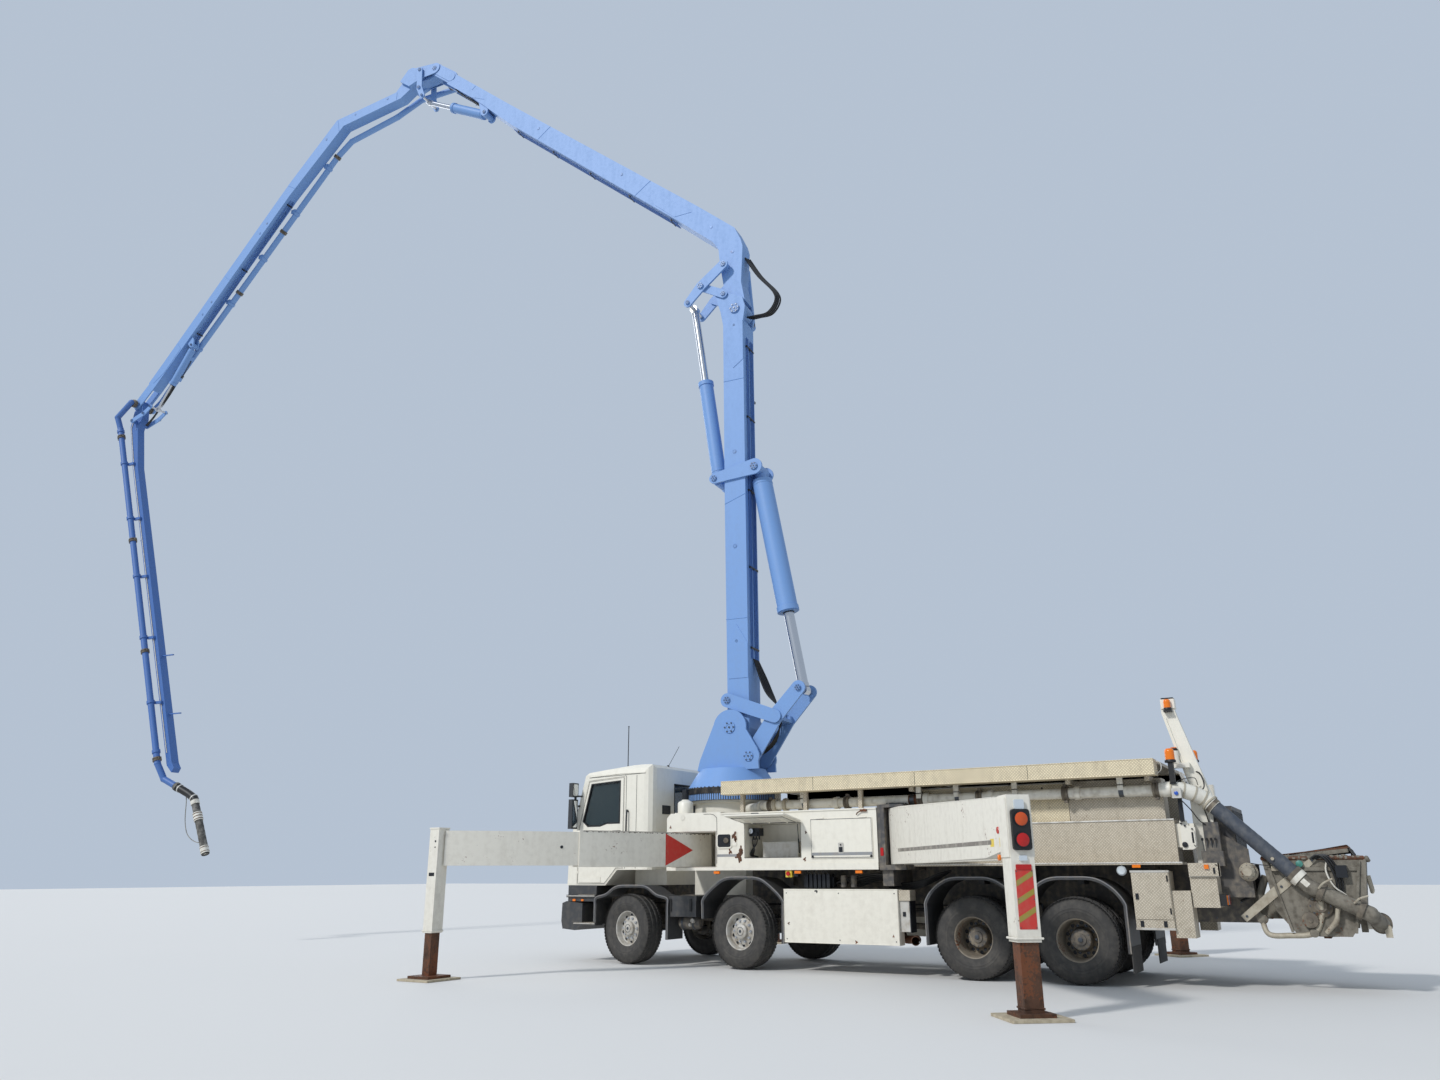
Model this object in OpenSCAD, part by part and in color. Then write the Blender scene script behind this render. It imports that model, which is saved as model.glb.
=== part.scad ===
// Concrete pump truck with a four-section placing boom, standing on its four outriggers.
// Truck frame: X forward, Y left, Z up, millimetres, front axle at x = 0 before the final shift.

/* [Truck] */
// Distance from axle 1 back to axle 2
axle2_back = 2050; // [1900:10:2200]
// Distance from axle 1 back to axle 3
axle3_back = 5580; // [5300:10:5900]
// Distance from axle 1 back to axle 4
axle4_back = 6930; // [6700:10:7200]
// Tyre outer radius
tyre_r = 530; // [500:1:560]
// Width over the tyres
truck_w = 2500; // [2400:10:2550]
// Angle the front wheels are steered, to the right
steer1 = 11; // [0:1:30]
// Angle the second axle's wheels are steered
steer2 = 8; // [0:1:25]

/* [Cab] */
// Cab half width
cab_hw = 1180; // [1100:5:1225]
// Cab wall thickness
cab_t = 60; // [40:5:90]

/* [Boom] */
// Slew axis behind axle 1
slew_back = 1190; // [1000:10:1400]
// Angle the boom is slewed, to the left
slew_deg = 6; // [-20:1:20]
// Width of section 1
w1 = 500; // [400:10:600]
// Width of section 2
w2 = 360; // [300:10:420]
// Width of section 3
w3 = 260; // [200:10:300]
// Width of section 4
w4 = 190; // [160:10:240]
// Delivery pipe outer radius
pipe_r = 70; // [60:1:80]

/* [Outriggers] */
// Radius of the curved front beams
beam_r = 6000; // [5500:50:6500]
// Radial thickness of the outer front beam
beam_t = 240; // [200:10:280]
// Length of the rear swing arms
arm_len = 4600; // [4200:50:5000]
// Angle the rear arms are swung out from the side
arm_deg = 53; // [40:1:60]

/* [Hidden] */
$fn = 48;
shift_x = -2910;
wc = truck_w/2;
deck_z = 1440;
A = [-120, 3700];
B = [-220, 11710];
C = [7910, 20500];
D = [17100, 13200];
A1 = [-50, 4170];   A2 = [-910, 3850];   A3 = [-460, 3210];   A4 = [-1330, 4300];  A5 = [-590, 8380];
B1 = [10, 12070];   B2 = [470, 12330];   B3 = [-10, 12700];   B4 = [750, 12030];   B5 = [210, 8270];
C1 = [7760, 19990]; C2 = [8290, 20000];  C3 = [8330, 20560];  C4 = [8170, 19720];  C5 = [6290, 18650];
D2 = [16640, 12830]; D3 = [17050, 12700]; D4 = [16420, 12980]; D5 = [15420, 14600];

// Box from corner to corner
module bx(x0, x1, y0, y1, z0, z1) translate([x0, y0, z0]) cube([x1 - x0, y1 - y0, z1 - z0]);
// Side profile in X and Z, extruded from y0 to y1
module prof(pts, y0, y1) translate([0, y1, 0]) rotate([90, 0, 0]) linear_extrude(y1 - y0) polygon(pts);
// Round bar along Y
module ybar(p, r, y0, y1, n = 48) translate([p[0], y1, p[1]]) rotate([90, 0, 0]) cylinder(r = r, h = y1 - y0, $fn = n);
// Mirrored pair of round bars along Y
module ybars(p, r, y0, y1) { ybar(p, r, y0, y1); ybar(p, r, -y1, -y0); }
// Upright round bar
module zbar(x, y, r, z0, z1, n = 48) translate([x, y, z0]) cylinder(r = r, h = z1 - z0, $fn = n);
// Flat link with round ends, between two points in X and Z
module link2(p, q, rp, rq) {
    a = atan2(q[1] - p[1], q[0] - p[0]);
    l = norm(q - p);
    c = acos((rp - rq)/l);
    translate(p) rotate(a) polygon(concat(
        [for (i = [0:26]) let (w = c + i*(360 - 2*c)/26) rp*[cos(w), sin(w)]],
        [for (i = [0:26]) let (w = -c + i*2*c/26) [l + rq*cos(w), rq*sin(w)]]));
}
module flat(y0, y1) translate([0, y1, 0]) rotate([90, 0, 0]) linear_extrude(y1 - y0) children();
module flats(y0, y1) { flat(y0, y1) children(); flat(-y1, -y0) children(); }
// Straight round tube or bar between two points in space
module rod3(p, q, r, n = 32) {
    d = q - p;
    l = norm(d);
    translate(p) rotate([0, acos(d[2]/l), atan2(d[1], d[0])]) cylinder(r = r, h = l, $fn = n);
}
// Pipe run through a list of points, with ball elbows and a clamp ring at each end
module run(pts, r) {
    for (i = [0:len(pts) - 2]) rod3(pts[i], pts[i + 1], r);
    for (i = [1:len(pts) - 2]) translate(pts[i]) sphere(r = r + 4, $fn = 32);
}
// Clamp ring on a pipe, at the share t of the way from p to q
module clamp(p, q, t, r, l = 70) {
    d = q - p;
    a = p + d*t - d/norm(d)*l/2;
    rod3(a, a + d/norm(d)*l, r);
}
// Places children in the boom plane
module boomspace() translate([-slew_back, 0, 0]) rotate([0, 0, slew_deg]) children();
module both() { children(); mirror([0, 1, 0]) children(); }

// ---- root body ----
module chassis() color([0.16, 0.17, 0.18]) {
    both() {
        bx(-8990, 1000, 370, 450, 750, 1030);
        bx(-8990, -1800, 370, 450, 1030, deck_z - 0.3);
    }
    for (x = [900, -700, -3100, -4300]) bx(x, x + 80, -371, 371, 800, 980);
    bx(-8600, -8440, -810, 810, 1180, deck_z - 0.3);
    bx(-2600, -2440, -600, 600, 1180, deck_z - 0.3);
    for (x = [-4480, -6300]) bx(x, x + 160, -1180, 1180, 1180, deck_z - 0.3);
    bx(-7900, -7740, -880, 880, 1180, deck_z - 0.3);
    bx(-250, 880, -340, 340, 640, 1180);
    bx(-250, 880, -371, 371, 850, 1000);
    // rear arm pivot housings
    both() {
        bx(-4700, -4300, 449, 1240, 1395, deck_z - 0.3);
        bx(-4700, -4300, 880, 1240, deck_z - 0.3, 1462);
        bx(-4700, -4300, 880, 1240, 2248, 2290);
        bx(-4400, -4300, 880, 1240, 1461, 2249);
        zbar(-4530, 1060, 63.7, 1461, 2249);
    }
}

module spring_pack(x) both() {
    bx(x - 640, x + 640, 460, 540, 640, 700);
    bx(x - 90, x + 90, 455, 545, 559, 641);
    for (s = [-1, 1]) bx(x + s*600 - 40, x + s*600 + 40, 450.3, 540, 699, 930);
}
module axles() color([0.13, 0.13, 0.14]) {
    for (x = [0, -axle2_back]) {
        bx(x - 60, x + 60, -760, 760, 470, 560);
        both() zbar(x, 830, 34, 400, 660);
        both() {
            bx(x - 50, x + 50, 700, 762, 400, 660);
            for (z = [400, 610]) { bx(x - 50, x + 50, 761, 830, z, z + 50); zbar(x, 830, 52, z, z + 50); }
        }
        spring_pack(x);
    }
    for (x = [-axle3_back, -axle4_back]) {
        translate([x, 1000, tyre_r]) rotate([90, 0, 0]) cylinder(r = 75, h = 2000);
        translate([x, 540, tyre_r]) rotate([90, 0, 0]) cylinder(r = 115, h = 1080);
        translate([x, 0, tyre_r]) sphere(r = 235, $fn = 40);
    }
    both() {
        bx(-6960, -5550, 470, 560, 740, 800);
        for (x = [-axle3_back, -axle4_back]) bx(x - 60, x + 60, 470, 539, 600, 745);
        bx(-6330, -6180, 450.3, 559, 799, 960);
    }
}

// Cab outline in side view, with the wheel arch cut out of its lower front
cab_out = [[-330, 1420], [-330, 3040], [-290, 3090], [-60, 3105], [960, 3000], [1030, 2950], [1270, 2060],
           [1330, 1860], [1345, 1180], [560, 1180], [330, 1420]];
cab_in = [[-270, 1480], [-270, 3020], [-60, 3045], [950, 2940], [990, 2900], [1215, 2050], [1270, 1850], [1285, 1240], [590, 1240], [355, 1480]];
door_out = [[215, 1440], [215, 2905], [955, 2860], [1145, 2090], [1145, 1200], [575, 1200], [350, 1440]];
door_win = [[290, 2150], [290, 2850], [905, 2815], [1070, 2200], [960, 2110], [700, 2110], [560, 2150]];
// Rounded roof edges and rear corners, as one outline seen from the front and one from above
module cab_round(w, top, back, r) {
    c = [[0, 0], [0.13*r, 0.5*r], [0.5*r, 0.87*r], [r, r]];
    intersection() {
        translate([-400, 0, 0]) rotate([90, 0, 90]) linear_extrude(1800) polygon(concat([[-w, 1000], [w, 1000]],
            [for (p = c) [w - p[0], top - r + p[1]]], [for (i = [3:-1:0]) [-w + c[i][0], top - r + c[i][1]]]));
        translate([0, 0, 1000]) linear_extrude(2200) polygon(concat([[1500, -w], [1500, w]],
            [for (p = c) [back + r - p[1], w - p[0]]], [for (i = [3:-1:0]) [back + r - c[i][1], -w + c[i][0]]]));
    }
}
module cab_shell() color([0.93, 0.91, 0.85]) {
    difference() {
        intersection() { prof(cab_out, -cab_hw, cab_hw); cab_round(cab_hw, 3110, -330, 150); }
        intersection() { prof(cab_in, -cab_hw + cab_t, cab_hw - cab_t); cab_round(cab_hw - cab_t, 3050, -270, 130); }
        // door openings, 5 mm round the leaf
        for (s = [-1, 1]) prof([[209, 1434], [209, 2912], [960, 2867], [1152, 2092], [1152, 1194], [570, 1194], [344, 1434]],
            s > 0 ? cab_hw - cab_t - 1 : -cab_hw - 1, s > 0 ? cab_hw + 1 : -cab_hw + cab_t + 1);
        // windscreen
        prof([[1040, 2890], [1400, 2890], [1400, 2080], [1240, 2080]], -1060, 1060);
        // rear window
        bx(-340, -260, -500, 500, 2300, 2800);
    }
    // roof hatch and roof lamps
    bx(150, 650, -300, 300, 3030, 3090);
    // hinge pads in front of the doors
    both() for (z = [1300, 1900]) {
        bx(1145.3, 1156, 1135, 1175, z, z + 60);
        zbar(1149, 1184, 3.8, z, z + 60, 24);
        bx(1149, 1166, 1179, 1186, z + 5, z + 55);
    }
    // rear engine housing behind the cab base
    bx(-329, 300, -700, 700, 1181, 1421);
}
module cab_interior() color([0.2, 0.2, 0.22]) {
    bx(-120, 1180, -1110, 1110, 1480.5, 1500);
    bx(-268, -119, -970, 970, 1480.5, 1500);
    for (y = [-620, 620]) {
        bx(-120, 330, y - 240, y + 240, 1499, 1800);
        bx(-60, 430, y - 240, y + 240, 1799, 1930);
        bx(-150, -20, y - 230, y + 230, 1799, 2480);
        bx(-140, -40, y - 140, y + 140, 2479, 2660);
    }
    bx(980, 1200, -1100, 1100, 1700, 2010);
    bx(1060, 1180, -1100, 1100, 1499, 1701);
    translate([830, 620, 2050]) rotate([0, -35, 0]) difference() { cylinder(r = 230, h = 32); translate([0, 0, -1]) cylinder(r = 198, h = 34); }
    translate([830, 620, 2050]) rotate([0, -35, 0]) { bx(-200, 200, -22, 22, 4, 24); zbar(0, 0, 45, -150, 24); }
    rod3([880, 620, 1960], [1010, 620, 1850], 40);
}
module front_end() color([0.22, 0.23, 0.25]) {
    // bumper
    prof([[1000.5, 560], [1000.5, 900], [1330, 930], [1420, 900], [1430, 620], [1400, 500], [1150, 480]], -1200, 1200);
    // grille block and lower front
    bx(1000.5, 1344, -900, 900, 929, 1179.5);
    prof([[1344, 1240], [1331.2, 1820], [1375, 1820], [1375, 1240]], -820, 820);
    for (i = [0:4]) bx(1375, 1395, -780, 780, 1270 + i*105, 1330 + i*105);
    // head lamps
    both() bx(1340, 1440, 780, 1150, 700, 880);
    // entrance steps below each door
    both() {
        bx(725, 1310, 1000, 1190, 929, 990);
        bx(725, 1330, 960, 1215, 990, 1030);
        bx(725, 1310, 1000, 1190, 1030, 1179.5);
        bx(725, 1180, 1000, 1200, 560, 600);
        bx(725, 785, 1020, 1180, 599, 930);
    }
    // mirrors
    both() {
        bx(1130, 1210, 1245, 1400, 2080, 2560);
        bx(1130, 1210, 1245, 1400, 2600, 2830);
        bx(1150, 1180, 1262, 1290, 2559, 2601);
        bx(1128, 1155, 1180.3, 1262, 2440, 2470);
        bx(1085, 1112, 1180.3, 1268, 2602, 2628);
        bx(1085, 1131, 1246, 1268, 2602, 2628);
    }
    // radio aerials
    zbar(500, 700, 8, 3048, 3800, 12);
}

// Mudguard profile around an axle, half width a, top height t
module guard(x, f, r, t, y0, y1) {
    o = [[x + f[0], f[1]], [x + f[0] + 6, 960], [x + 500, t - 130], [x + 300, t], [x - 300, t], [x - 500, t - 130], [x + r[0] - 6, 960], [x + r[0], r[1]]];
    i = [[x + r[0] + 26, r[1]], [x + r[0] + 20, 955], [x - 485, t - 152], [x - 292, t - 26], [x + 292, t - 26], [x + 485, t - 152], [x + f[0] - 20, 955], [x + f[0] - 26, f[1]]];
    prof(concat(o, i), y0, y1);
}
module mudguards() color([0.2, 0.21, 0.22]) {
    both() {
        guard(0, [712, 620], [-712, 380], 1178, 800, 1245);
        guard(-axle2_back, [700, 700], [-700, 380], 1300, 640, 1245);
        guard(-axle3_back, [640, 420], [-640, 900], 1290, 560, 1245);
        guard(-axle4_back, [640, 900], [-640, 390], 1290, 560, 1245);
        // carriers on the frame
        for (x = [-axle2_back, -axle3_back, -axle4_back]) bx(x - 40, x + 40, 450.3, 700, 1200, 1272);
        bx(-40, 40, 450.3, 800, 960, 1025);
        bx(-40, 40, 760, 800, 1024, 1152);
        bx(-40, 40, 760, 830, 1120, 1153);
    }
}

module locker_cut() bx(-3070, -2120, 900, wc + 10, 1580, 2080);
// Left cabinets with the open locker
module locker_cabinet() color([0.92, 0.9, 0.84]) {
    difference() {
        bx(-4290, -1690, 460, wc, deck_z, 2250);
        bx(-3075, -2115, 700, wc + 10, 1580, 2080);
        bx(-4200, -3260, 700, wc - 40, 1560, 2120);
        bx(-1960, -1720, 700, wc - 40, 1560, 2120);
    }
    bx(-4222, -3240, wc - 1, wc + 14, 1560, 2120);
    bx(-1980, -1800, wc - 1, wc + 10, 1760, 1960);
    bx(-2900, -2300, 699, 1000, 1579, 1800);
    // hinge lugs beside the lid's two knuckles
    for (x = [-2950, -2300]) {
        bx(x - 80, x - 60.3, wc - 1, wc + 18, 2086, 2110);
        translate([x - 80, wc + 18, 2098]) rotate([0, 90, 0]) cylinder(r = 12, h = 19.7, $fn = 24);
    }
}
module deck_cabinets() color([0.92, 0.9, 0.84]) {
    // right cabinets
    difference() {
        bx(-4290, -1690, -wc, -460, deck_z, 2250);
        bx(-4200, -1780, -wc + 40, -700, 1560, 2160);
    }
    for (x = [-3400, -2550]) bx(x - 390, x + 390, -wc - 12, -wc + 1, 1560, 2120);
    // side panels and tank between axles 2 and 3
    bx(-4550, -2765, 1060, wc - 5, 400, 1130);
    bx(-4550, -2765, -wc + 5, -1060, 400, 1130);
    both() for (x = [-4300, -3000]) { bx(x, x + 80, 450.3, 1062, 820, 900); }
    // battery box
    bx(-1210, -720, 760, 1200, 720, 1010);
    bx(-1100, -840, 450.3, 761, 800, 900);
    // rear boxes on both sides
    both() {
        bx(-8110, -7670, 900, 1240, 690, 1360);
        bx(-7990, -7790, 450.3, 901, 850, 950);
        bx(-8330, -8112, 860, 1200, 590, 1130);
        bx(-8240, -8180, 450.3, 861, 850, 950);
        bx(-8640, -8340, 820, 1160, 940, 1290);
        bx(-8520, -8460, 450.3, 821, 950, 1030);
    }
    // leaning rest post for the boom at the rear, with two amber lamps
    prof([[-8640, 2290], [-8460, 2290], [-8210, 3360], [-8210, 3450], [-8330, 3450], [-8350, 3330]], 560, 660);
    bx(-8640, -8400, 480, 690, deck_z, 2291);
    zbar(-8290, 720, 50, 2700, 2860);
    bx(-8460, -8260, 659, 760, 2640, 2701);
}
module walkways() color([0.72, 0.7, 0.66]) {
    // inboard chequer boxes that line the recess of each swing arm
    both() {
        bx(-8200, -4820, 460, 860, deck_z, 1990);
        bx(-8100, -6900, 460, 800, 1989, 2300);
        // ledge under the stowed arm
        bx(-8290, -4820, 859, wc - 2, deck_z, 1466);
    }
    // raised platform strips along both sides of the deck
    both() {
        bx(-8100, -1700, 1000, wc, 2530, 2730);
        for (x = [-2000, -3100, -4000]) bx(x, x + 60, 1010, 1070, 2250, 2531);
        for (x = [-4795, -7000, -8000]) bx(x, x + 60, 700, 1060, 2470, 2531);
        for (x = [-7000, -8000]) bx(x, x + 60, 700, 780, 2299, 2471);
        bx(-4795, -4735, 700, 780, deck_z, 2471);
    }
    // deck plates between the strips
    bx(-8100, -4400, -1001, 1001, 2690, 2729);
    bx(-2350, -2000, -1001, 1001, 2690, 2729);
    both() bx(-4401, -2349, 620, 1001, 2690, 2729);
    for (x = [-2300, -5000, -7000]) bx(x, x + 80, -455, 455, 2600, 2691);
    both() for (x = [-2300, -5000, -7000]) bx(x, x + 80, 380, 440, deck_z, 2601);
}
module pedestal() color([0.92, 0.9, 0.84]) {
    difference() {
        bx(-1680, -720, -wc, wc, deck_z, 2030);
        bx(-1600, -800, -wc - 10, wc + 10, 1455, 1975);
    }
    // collars at both mouths
    difference() {
        union() { both() prof([[-1689, 1400], [-1689, 2270], [-760, 2270], [-690, 2200], [-690, 1400]], 1120, wc); }
        bx(-1600, -800, -wc - 10, wc + 10, 1455, 1975);
        bx(-1681, -719, -1121, 1121, 1399, 2031);
        both() bx(-1681, -719, 1110, 1180, 1441, 2029);
    }
    bx(-1680, -720, -450, 450, 1030.3, deck_z + 1);
    zbar(-slew_back, 0, 640, 2029, 2470, 64);
    zbar(-slew_back, 0, 700, 2460, 2500, 64);
}
module ring() { zbar(-slew_back, 0, 780, 2500.5, 2700, 72); }

module hopper() color([0.42, 0.4, 0.36]) {
    difference() {
        prof([[-10230, 1500], [-10150, 900], [-9960, 620], [-9400, 620], [-9200, 900], [-9120, 1500]], -700, 700);
        prof([[-10180, 1510], [-10105, 920], [-9940, 670], [-9420, 670], [-9245, 920], [-9170, 1510]], -650, 650);
    }
    // splash cover, tilted, and grate bars
    prof([[-9130, 1500], [-10060, 1620], [-10066, 1570], [-9130, 1450]], -640, 640);
    for (y = [-600:150:600]) bx(-10200, -9140, y - 8, y + 8, 1380, 1440);
    // mixing shaft
    translate([-9680, 760, 960]) rotate([90, 0, 0]) cylinder(r = 45, h = 1520);
    bx(-10120, -10050, -150, 150, 650, 910);
    for (y = [-500, -170, 170, 500]) translate([-9680, y, 960]) rotate([0, y/3, 0]) bx(-220, 220, -15, 15, -30, 30);
    // bracket to the frame
    both() bx(-9250, -8990.3, 380, 440, 800, 1000);
}
module pump_unit() color([0.3, 0.3, 0.31]) {
    // two delivery cylinders and water box under the frame
    for (y = [-170, 170]) rod3([-9115, y, 900], [-5900, y, 1055], 115);
    bx(-7400, -7000, -340, 340, 985, 1300);
}
// Delivery line on the left of the deck and down to the pump outlet
line_a = [[-10120.3, 0, 764], [-10270, 0, 764], [-10270, 620, 764], [-10180, 840, 880], [-9600, 820, 1180], [-8600, 795, 2222]];
line_b = [[-8600, 795, 2222], [-8240, 940, 2360], [-2350, 900, 2360], [-1696, 392.6, 2360]];
module delivery_line() color([0.6, 0.58, 0.53]) {
    run(line_a, 85);
    translate(line_b[0]) sphere(r = 89, $fn = 32);
    run(line_b, 70);
    for (t = [0.02, 0.2, 0.4, 0.56, 0.8, 0.98]) clamp(line_b[1], line_b[2], t, 88);
    clamp(line_a[4], line_a[5], 0.1, 104);
    clamp(line_a[4], line_a[5], 0.93, 100);
}

// ---- doors and lid ----
module door(s) color([0.93, 0.91, 0.85]) mirror([0, s > 0 ? 0 : 1, 0]) {
    difference() {
        prof(door_out, cab_hw - cab_t, cab_hw);
        prof(door_win, cab_hw - cab_t - 1, cab_hw + 1);
    }
    bx(280, 460, cab_hw - 1, cab_hw + 26, 1990, 2030);
    for (z = [1361, 1961]) {
        zbar(1149, 1184, 3.8, z, z + 50, 24);
        bx(1120, 1149, 1179, 1186, z + 5, z + 45);
    }
}
module locker_lid() color([0.92, 0.9, 0.84]) translate([0, wc + 18, 2098]) rotate([8, 0, 0]) {
    bx(-3090, -2100, 14, 560, -12, 12);
    bx(-3050, -2140, 30, 490, -24, -11);
    for (x = [-2950, -2300]) {
        translate([x - 60, 0, 0]) rotate([0, 90, 0]) cylinder(r = 12, h = 120, $fn = 24);
        bx(x - 60, x + 60, 0, 16, -6, 6);
    }
}

// ---- boom ----
module turret() color([0.38, 0.6, 0.9]) {
    color([0.1, 0.1, 0.11]) ring();
    translate([-slew_back, 0, 2699]) cylinder(r1 = 770, r2 = 560, h = 331, $fn = 72);
    boomspace() {
        flats(344, 394) union() {
            translate(A) circle(r = 300);
            translate(A3) circle(r = 190);
            polygon([[-640, 3000], [-620, 3330], [-330, 3800], [-120, 4000], [180, 3750], [430, 3180], [480, 3000]]);
        }
        bx(-250, 330, -393, 393, 3000, 3100);
        bx(60, 330, -345, 345, 3099, 3330);
        ybar(A, 69, -394, 394);
        ybars(A, 120, 256, 345);
        ybars(A3, 54, 256, 345);
        // delivery pipe up to the swivel on the boom's first axis
        run([[-100, -420, 2850], [-120, -640, 3150], [-120, -640, 3700], [-120, -560, 3700]], pipe_r);
    }
}
s1_box = [[-420, 3700], [-420, 3930], [-400, 7600], [-385, 11450], [25, 11450], [10, 7600], [-20, 4350], [-20, 3980], [110, 3830], [110, 3600], [-20, 3520], [-300, 3480]];
module boom_1() color([0.38, 0.6, 0.9]) boomspace() {
    difference() {
        union() {
            prof(s1_box, -w1/2, w1/2);
            ybar(A, 250, -w1/2, w1/2, 64);
            // fork cheeks at the knee
            flats(190, w1/2) union() {
                translate(B) circle(r = 210);
                polygon([[-386, 11400], [26, 11400], [80, 11700], [200, 12120], [130, 12180], [-380, 11930], [-430, 11700]]);
            }
            // doubler plate of the cylinder bracket
            flats(w1/2 - 1, w1/2 + 40) link2(B5, A5, 95, 150);
        }
        ybar(A, 69.3, -w1/2 - 10, w1/2 + 10);
        // gap above the closed box where the root of section 2 turns
        ybar(B, 215, -190, 190);
    }
    ybar(B, 66, -w1/2 - 12, w1/2 + 12);
    ybars(B, 100, w1/2 - 1, w1/2 + 14);
    // cylinder bracket pins
    ybar(A5, 60, -w1/2 - 50, w1/2 + 50);
    ybar(B5, 45, -w1/2 - 50, w1/2 + 50);
    // pins of the two coupling links
    ybars(A1, 52, w1/2 - 1, 339);
    ybars(B1, 46, w1/2 - 1, 290);
    // pipe on the right side
    run([[-120, -559, 3700], [-120, -484, 3700], [-200, -484, 4150], [-215, -422, 4700], [-215, -422, 11300], [-220, -422, 11710], [-220, -510, 11710]], pipe_r);
    for (z = [5000, 6400, 7800, 9300, 10800]) { zring(-215, -422, z, 92); bx(-250, -180, -w1/2 - 100, -w1/2 + 1, z + 5, z + 55); }
}
module zring(x, y, z, r) zbar(x, y, r, z, z + 60);

s2_out = [[-60, 12260], [-400, 13100], [-330, 13260], [-200, 13560], [640, 14320], [5540, 18580], [7660, 20370], [7800, 20400],
          [7740, 20130], [5520, 18040], [1110, 14130], [280, 13370], [150, 13160], [120, 12820], [90, 12260]];
module boom_2() color([0.38, 0.6, 0.9]) boomspace() {
    difference() {
        union() {
            prof([[-400, 11900], [-330, 12300], [-370, 13100], [-330, 13260], [-200, 13560], [640, 14320], [5540, 18580], [7420, 20250],
                  [7600, 20120], [5520, 18040], [1110, 14130], [280, 13370], [150, 13160], [120, 12820], [-20, 11900]], -w2/2, w2/2);
            ybar(B, 200, -w2/2, w2/2);
            // cheeks that hold section 3
            flats(135, w2/2) union() {
                link2([7380, 20060], C, 160, 150);
            }
            flats(w2/2 - 1, w2/2 + 14) link2([7380, 20060], C, 120, 110);
        }
        ybar(B, 66.3, -w2/2 - 1, w2/2 + 1);
        ybar(C, 205, -135, 135);
    }
    ybar(C, 55, -w2/2 - 30, w2/2 + 30);
    // pin of the lever at the knee
    ybar(B3, 50, -334, 334);
    ybars(B3, 80, w2/2 - 1, 286);
    // bracket of the next cylinder
    flats(119, 160) union() {
        link2(C5, [6330, 18960], 95, 140);
    }
    ybar(C5, 34, -162, 162);
    // pipe on the right side, from swivel to swivel
    run([[-220, -511, 11710], [-220, -600, 11710], [-170, -480, 12900], [0, -290, 13400], [880, -290, 14240], [5530, -290, 18310], [6750, -290, 19380],
         [7250, -430, 19920], [7910, -430, 20500], [7910, -515, 20500]], pipe_r);
    for (t = [0.05, 0.3, 0.55, 0.8]) clamp([880, -290, 14240], [5530, -290, 18310], t, 88);
    for (t = [0.05, 0.3, 0.55, 0.8]) {
        p = [880, 0, 14240] + t*[4650, 0, 4070];
        bx(p[0] - 25, p[0] + 25, -225, -w2/2 + 1, p[2] - 25, p[2] + 25);
    }
}

module boom_3() color([0.38, 0.6, 0.9]) boomspace() {
    difference() {
        union() {
            prof([[7860, 20650], [8280, 20640], [8640, 20790], [8770, 20770], [9190, 20300], [11140, 20130], [12560, 18650], [14620, 16270],
                  [16340, 14270], [16790, 13760], [16600, 13520], [15500, 14780], [14280, 16210], [12490, 18270], [11250, 19500],
                  [10880, 19870], [9010, 20060], [8540, 20350], [8100, 20310], [7900, 20350]], -w3/2, w3/2);
            // outer plates that reach round the tip of section 2
            flats(w3/2 - 1, 216) polygon([[8270, 20600], [8640, 20790], [8770, 20770], [9010, 20500], [8700, 20250], [8400, 20330], [8290, 20400]]);
            flats(201, 216) union() { link2([8500, 20540], C, 190, 150); }
            ybar(C, 180, -w3/2, w3/2);
            // cheeks that hold section 4
            flats(100, w3/2) link2([16600, 13720], D, 130, 130);
        }
        ybar(C, 55.3, -w3/2 - 90, w3/2 + 90);
        ybar(D, 175, -100, 100);
    }
    ybar(D, 45, -w3/2 - 20, w3/2 + 20);
    // pin of the lever at the top joint
    ybar(C3, 40, -284, 284);
    ybars(C3, 62, w3/2 - 1, 246);
    // base of the last cylinder, on lugs under section 3
    flats(50, 90) link2(D5, [15470, 14720], 70, 110);
    ybar(D5, 26, -92, 92);
    // pipe on the right side
    run([[7910, -516, 20500], [7910, -600, 20500], [8900, -480, 20420], [9400, -w3/2 - 95, 19880], [10900, -w3/2 - 95, 19640], [11350, -w3/2 - 95, 19300], [16250, -w3/2 - 95, 13830], [16800, -330, 13400], [17100, -330, 13200], [17100, -151, 13200]], pipe_r);
    for (t = [0.05, 0.25, 0.45, 0.65, 0.85]) clamp([11350, -w3/2 - 95, 19300], [16250, -w3/2 - 95, 13830], t, 88);
    for (t = [0.08, 0.28, 0.48, 0.68, 0.88]) {
        p = [11350, 0, 19300] + (t - 0.03)*[4900, 0, -5470];
        bx(p[0] - 30, p[0] + 100, -w3/2 - 40, -w3/2 + 1, p[2] - 10, p[2] + 90);
    }
}
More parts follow.
